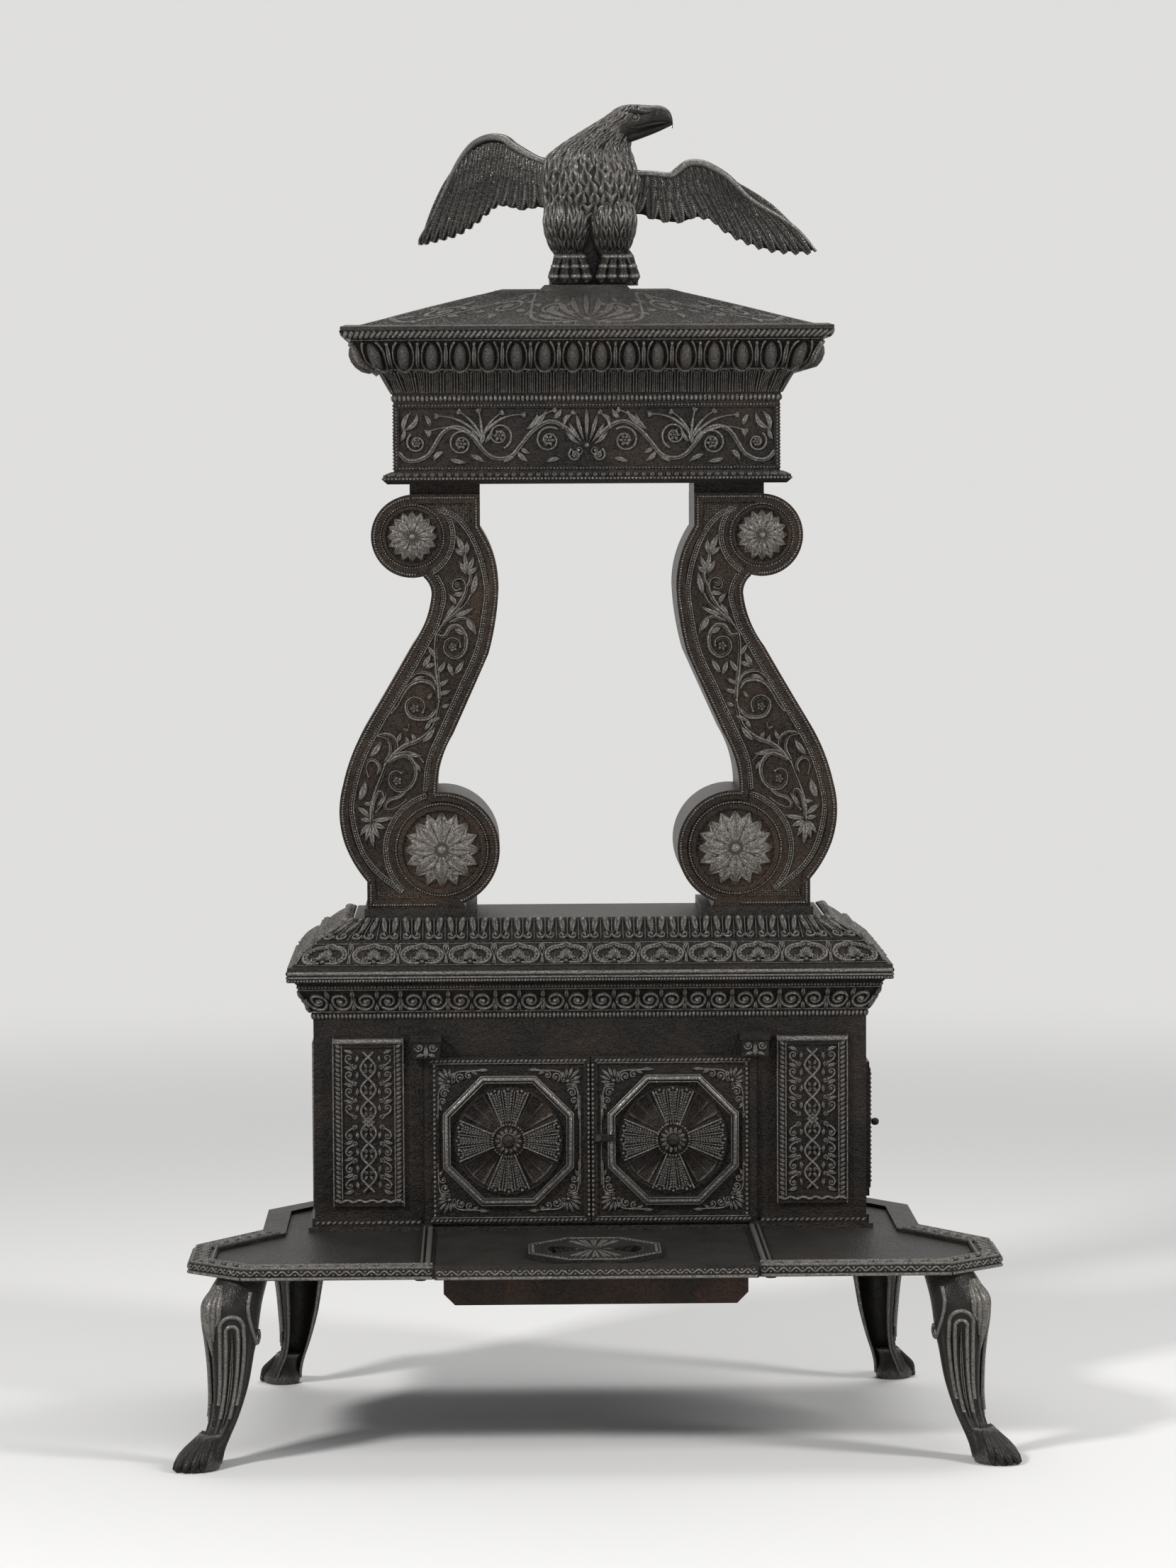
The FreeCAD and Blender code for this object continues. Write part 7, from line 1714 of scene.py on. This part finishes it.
def eagle():
    form = Relief()
    trunk = Trunk(EAGLE_TRUNK)
    form.add(*trunk.body())
    scales(form, trunk, 0.02, 0.50, 9.0 * MM, 6.8 * MM, 18 * MM, 3.8 * MM, 1)
    scales(form, trunk, 0.47, 0.93, 6.0 * MM, 3.6 * MM, 17 * MM, 3.0 * MM, 2)
    for i, x in enumerate(THIGH_X):
        thigh = Trunk([(x + a, y, z, half_x, half_y) for a, y, z, half_x, half_y in EAGLE_THIGH])
        form.add(*thigh.body(32))
        scales(form, thigh, 0.22, 0.9, 8 * MM, 4.2 * MM, 19 * MM, 3.2 * MM, 3 + i)
        scales(form, thigh, 0.05, 0.2, 5 * MM, 2.6 * MM, 9 * MM, 1.6 * MM, 5 + i)
        eagle_foot(form, x + (3 if x < 0 else 5))
    tail = Trunk(EAGLE_TAIL)
    form.add(*tail.body(40))
    for i in range(-3, 4):
        one = Relief()
        feather(one, (0, 40 * MM), (0, -42 * MM), 6 * MM, 2.6 * MM)
        form.merged(one, tail.spot(math.pi / 2 + i * 0.33, 0.5))
    eagle_head(form)
    made = form.laid("eagle_feathered", lambda p: eagle_base(p / MM), material=GLOSS_IRON)
    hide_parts("eagle_body")


# Legs

LEG_HIGH = low("hearth_plate").z
LEG_REACH = 81 * MM
KNEE_WIDE = 62 * MM
LEG_SHELL = 0.82
# Height, reach and width of the leg as shares of the leg's height, its reach and the knee's width
LEG_SECTIONS = (
    (1.00, 0.00, 0.86), (0.93, 0.10, 0.94), (0.86, 0.18, 1.00), (0.77, 0.205, 0.97), (0.66, 0.20, 0.89),
    (0.55, 0.21, 0.79), (0.44, 0.235, 0.70), (0.34, 0.28, 0.60), (0.25, 0.345, 0.52), (0.17, 0.44, 0.48),
    (0.10, 0.55, 0.52), (0.03, 0.64, 0.60),
)
LEG_EAR = ((-11, 186), (-9, 168), (-3, 150), (5, 134), (12, 129), (16, 136), (12, 143))
# Sections of the paw in millimetres: place outward, across and up, half width and half depth
PAW = (
    (61, 0, 0, 22, 19), (61, 0, 6, 24, 21), (60, 0, 13, 22, 19), (56, 0, 20, 18, 16), (50, 0, 28, 15, 14),
    (44, 0, 36, 14, 14),
)
# Angles of its toes in degrees
TOES = (-62, -40, -20, 0, 20, 40, 62)
LEG_ANGLES = {"front": -40.0, "rear": 58.0}


class Leg:
    """A cabriole leg in its own frame: x leans outward, y lies across and z is up from the floor."""

    def __init__(self):
        rows = smooth(np.array(LEG_SECTIONS), 0.02)
        self.levels = rows[::-1, 0] * LEG_HIGH
        self.reach = rows[::-1, 1] * LEG_REACH
        self.half = rows[::-1, 2] * KNEE_WIDE / 2

    def at(self, angle, z, scale=1.0):
        half = np.interp(z, self.levels, self.half) * scale
        reach = np.interp(z, self.levels, self.reach)
        return np.column_stack([reach + half * np.cos(angle), half * np.sin(angle), z])

    def shell(self, form):
        levels = np.linspace(self.levels[0], LEG_HIGH, 80)
        rings = []
        for z in levels:
            share = z / LEG_HIGH
            spread = math.radians(np.interp(share, [0, 0.6, 0.75, 1], [116, 116, 128, 134]))
            angles = np.linspace(-spread, spread, 65)
            fluted = np.interp(share, [0.12, 0.22, 0.66, 0.74], [0, 1, 1, 0])
            depth = 1.9 * MM * fluted * (0.5 - 0.5 * np.cos(angles * 11)) * (np.abs(angles) < 1.72)
            half = np.interp(z, self.levels, self.half)
            outer = self.at(angles, np.full(65, z), 1 - depth / half)
            inner = self.at(angles[::-1], np.full(65, z), LEG_SHELL - 0.03)
            rings.append(np.vstack([outer, inner]))
        form.add(*skin(rings))

    def wrap(self, angle):
        """Lays a drawing: u runs round the leg from an angle, v is height over the floor."""
        def lay(p):
            half = np.interp(p[:, 1], self.levels, self.half)
            angles = angle + p[:, 0] / half
            return self.at(angles, p[:, 1], 1 + p[:, 2] / half)
        return lay

    def ornament(self, form):
        knee = Relief()
        for u, tip, width in ((0, 118, 6.0), (-7.5, 134, 4.2), (7.5, 134, 4.2), (-13.5, 148, 3.6),
                              (13.5, 148, 3.6)):
            line = smooth(np.array([(u * 0.35, 192), (u * 0.9, 176), (u, 158), (u * 0.55, tip)]) * MM, 2 * MM)
            thick = width * MM * np.sin(np.linspace(0.5, 2.9, len(line)))
            knee.stroke(line, thick, thick * 0.95, ROUND)
        form.merged(knee, self.wrap(0.0))
        for side in SIDES:
            arch = Relief()
            for half_width, top, foot, width in ((12.6, 161, 66, 2.5), (6.2, 151, 52, 2.3)):
                spring = top - half_width
                bend = arc((0, spring * MM), half_width * MM, 0, 180, 1.5 * MM)
                limb = np.array([(half_width * 0.75, foot), (half_width, spring * 0.8)]) * MM
                line = np.vstack([limb, bend, limb[::-1] * (-1, 1)])
                arch.stroke(smooth(line, 2 * MM), width * MM, 2.5 * MM)
            arch.leaf((0, 46 * MM), (0, 146 * MM), 1.9 * MM, 2.3 * MM)
            form.merged(arch, self.wrap(side * 0.92))
            ear = Relief()
            ear.stroke(smooth(np.array(LEG_EAR) * MM, 2 * MM) * (side, 1), 2.2 * MM, 2.6 * MM)
            form.merged(ear, self.wrap(side * 1.75))

    def paw(self, form):
        form.add(*Trunk(PAW).body(32))
        for angle in TOES:
            x, y = polar(math.radians(angle), 1)
            reach = 31.5 - abs(angle) * 0.075
            path = [(47 + x * 3, y * 9, 37), (54 + x * 9, y * 14, 26), (60 + x * 16, y * 19.5, 15),
                    (60 + x * (reach - 6), y * (reach - 8), 7.2), (60 + x * reach, y * (reach - 4), 1.6)]
            form.add(*tube(np.array(path) * MM, np.array([2.2, 3.6, 4.6, 5.2, 1.5]) * MM, 12, 2 * MM))


def legs():
    pattern = Relief()
    leg = Leg()
    leg.shell(pattern)
    leg.ornament(pattern)
    leg.paw(pattern)
    for end in ("front", "rear"):
        for side, name in NAMED_SIDES:
            angle = math.radians(LEG_ANGLES[end] if side > 0 else 180 - LEG_ANGLES[end])
            along = np.array([math.cos(angle), math.sin(angle), 0])
            across = np.array([-math.sin(angle), math.cos(angle), 0]) * side
            points = sheet((0, 0, 0), along, across, (0, 0, 1))(np.vstack(pattern.points))
            near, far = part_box(f"leg_{end}_{name}")
            # The toes end where the frame's toes end
            shift_x = far.x - points[:, 0].max() if side > 0 else near.x - points[:, 0].min()
            shift_y = near.y - points[:, 1].min() if end == "front" else far.y - points[:, 1].max()
            place = sheet((shift_x, shift_y, 0), along, across, (0, 0, 1))
            made = pattern.laid(f"leg_{end}_{name}_cabriole", place, material=GLOSS_IRON)
            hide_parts(f"leg_{end}_{name}")


# Camera and studio

CAMERA_PLACE = (-0.109, -5.1684, 1.054)
CAMERA_YAW = math.radians(-1.19)
CAMERA_PITCH = math.radians(90 - 3.9)
CAMERA_ROLL = -0.005


def camera():
    """The photograph's viewpoint: a long lens a little left of the stove."""
    data = bpy.data.cameras.new("camera")
    data.sensor_fit = "VERTICAL"
    data.sensor_height = 36.0
    data.lens = 108.9
    data.clip_end = 50.0
    thing = bpy.data.objects.new("camera", data)
    bpy.context.scene.collection.objects.link(thing)
    turn = (Matrix.Rotation(CAMERA_YAW, 4, "Z") @ Matrix.Rotation(CAMERA_PITCH, 4, "X")
            @ Matrix.Rotation(CAMERA_ROLL, 4, "Z"))
    thing.matrix_world = Matrix.Translation(CAMERA_PLACE) @ turn
    bpy.context.scene.camera = thing


def lamp(name, place, target, size, power):
    data = bpy.data.lights.new(name, "AREA")
    data.shape = "RECTANGLE"
    data.size, data.size_y = size
    data.energy = power
    thing = bpy.data.objects.new(name, data)
    bpy.context.scene.collection.objects.link(thing)
    way = Vector(target) - Vector(place)
    thing.matrix_world = Matrix.Translation(place) @ way.to_track_quat("-Z", "Y").to_matrix().to_4x4()


FLOOR_HALF = 9.0
FLOOR_NEAR = 1.3
FLOOR_FAR = 4.2
PALE = (0.74, 0.735, 0.725)


def background_rays(tree):
    """Camera, glossy and transmission rays see the background's own tone."""
    path = node_of(tree, "ShaderNodeLightPath")
    seen = path.outputs["Is Camera Ray"]
    for ray in ("Is Glossy Ray", "Is Transmission Ray"):
        either = node_of(tree, "ShaderNodeMath", operation="MAXIMUM")
        tree.links.new(seen, either.inputs[0])
        tree.links.new(path.outputs[ray], either.inputs[1])
        seen = either.outputs[0]
    return seen


def studio():
    """Soft lamps on both sides, a pale floor and the same pale tone behind."""
    middle = (0, 0, 0.75)
    lamp("key", (-2.6, -2.5, 3.0), middle, (0.6, 0.6), 120)
    lamp("side_right", (2.9, -1.5, 2.3), middle, (0.5, 1.8), 70)
    lamp("front", (-0.3, -4.6, 0.9), (0, 0, 0.4), (2.4, 1.0), 26)
    lamp("top", (0.3, 0.9, 3.4), middle, (2.4, 1.2), 50)
    world = bpy.data.worlds.new("studio")
    bpy.context.scene.world = world
    world.use_nodes = True
    tree = world.node_tree
    tree.nodes.clear()
    out = node_of(tree, "ShaderNodeOutputWorld")
    soft = node_of(tree, "ShaderNodeBackground", Color=(0.9, 0.93, 1.0, 1), Strength=0.22)
    pale = node_of(tree, "ShaderNodeBackground", Color=(*PALE, 1), Strength=1.0)
    choose = node_of(tree, "ShaderNodeMixShader")
    tree.links.new(background_rays(tree), choose.inputs["Fac"])
    tree.links.new(soft.outputs[0], choose.inputs[1])
    tree.links.new(pale.outputs[0], choose.inputs[2])
    tree.links.new(choose.outputs[0], out.inputs["Surface"])
    floor_mesh = bpy.data.meshes.new("floor")
    floor_mesh.from_pydata([(x, y, 0) for x, y in rectangle(FLOOR_HALF, FLOOR_HALF)], [], [(0, 1, 2, 3)])
    floor = bpy.data.objects.new("floor", floor_mesh)
    bpy.context.scene.collection.objects.link(floor)
    floor_mesh.materials.append(floor_finish())


def floor_finish():
    """Matt and pale near the stove, passing into the background's own tone far from it."""
    material = bpy.data.materials.new("floor")
    material.use_nodes = True
    tree = material.node_tree
    tree.nodes.clear()
    link = tree.links.new
    out = node_of(tree, "ShaderNodeOutputMaterial")
    matt = node_of(tree, "ShaderNodeBsdfDiffuse", Color=(0.8, 0.79, 0.77, 1))
    glow = node_of(tree, "ShaderNodeEmission", Color=(*PALE, 1), Strength=1.0)
    place = node_of(tree, "ShaderNodeTexCoord")
    distance = node_of(tree, "ShaderNodeVectorMath", operation="LENGTH")
    link(place.outputs["Object"], distance.inputs[0])
    share = node_of(tree, "ShaderNodeMapRange", interpolation_type="SMOOTHSTEP")
    share.inputs["From Min"].default_value = FLOOR_NEAR
    share.inputs["From Max"].default_value = FLOOR_FAR
    link(distance.outputs["Value"], share.inputs["Value"])
    seen = node_of(tree, "ShaderNodeMath", operation="MULTIPLY")
    link(share.outputs["Result"], seen.inputs[0])
    link(background_rays(tree), seen.inputs[1])
    choose = node_of(tree, "ShaderNodeMixShader")
    link(seen.outputs[0], choose.inputs["Fac"])
    link(matt.outputs[0], choose.inputs[1])
    link(glow.outputs[0], choose.inputs[2])
    link(choose.outputs[0], out.inputs["Surface"])
    return material


bpy.context.scene.view_settings.view_transform = "Standard"
dress_nodes()
columns()
body_cornice()
lid()
entablature()
frieze()
panels()
doors()
capitals()
hearth()
ends()
roof()
eagle()
wings()
legs()
camera()
studio()
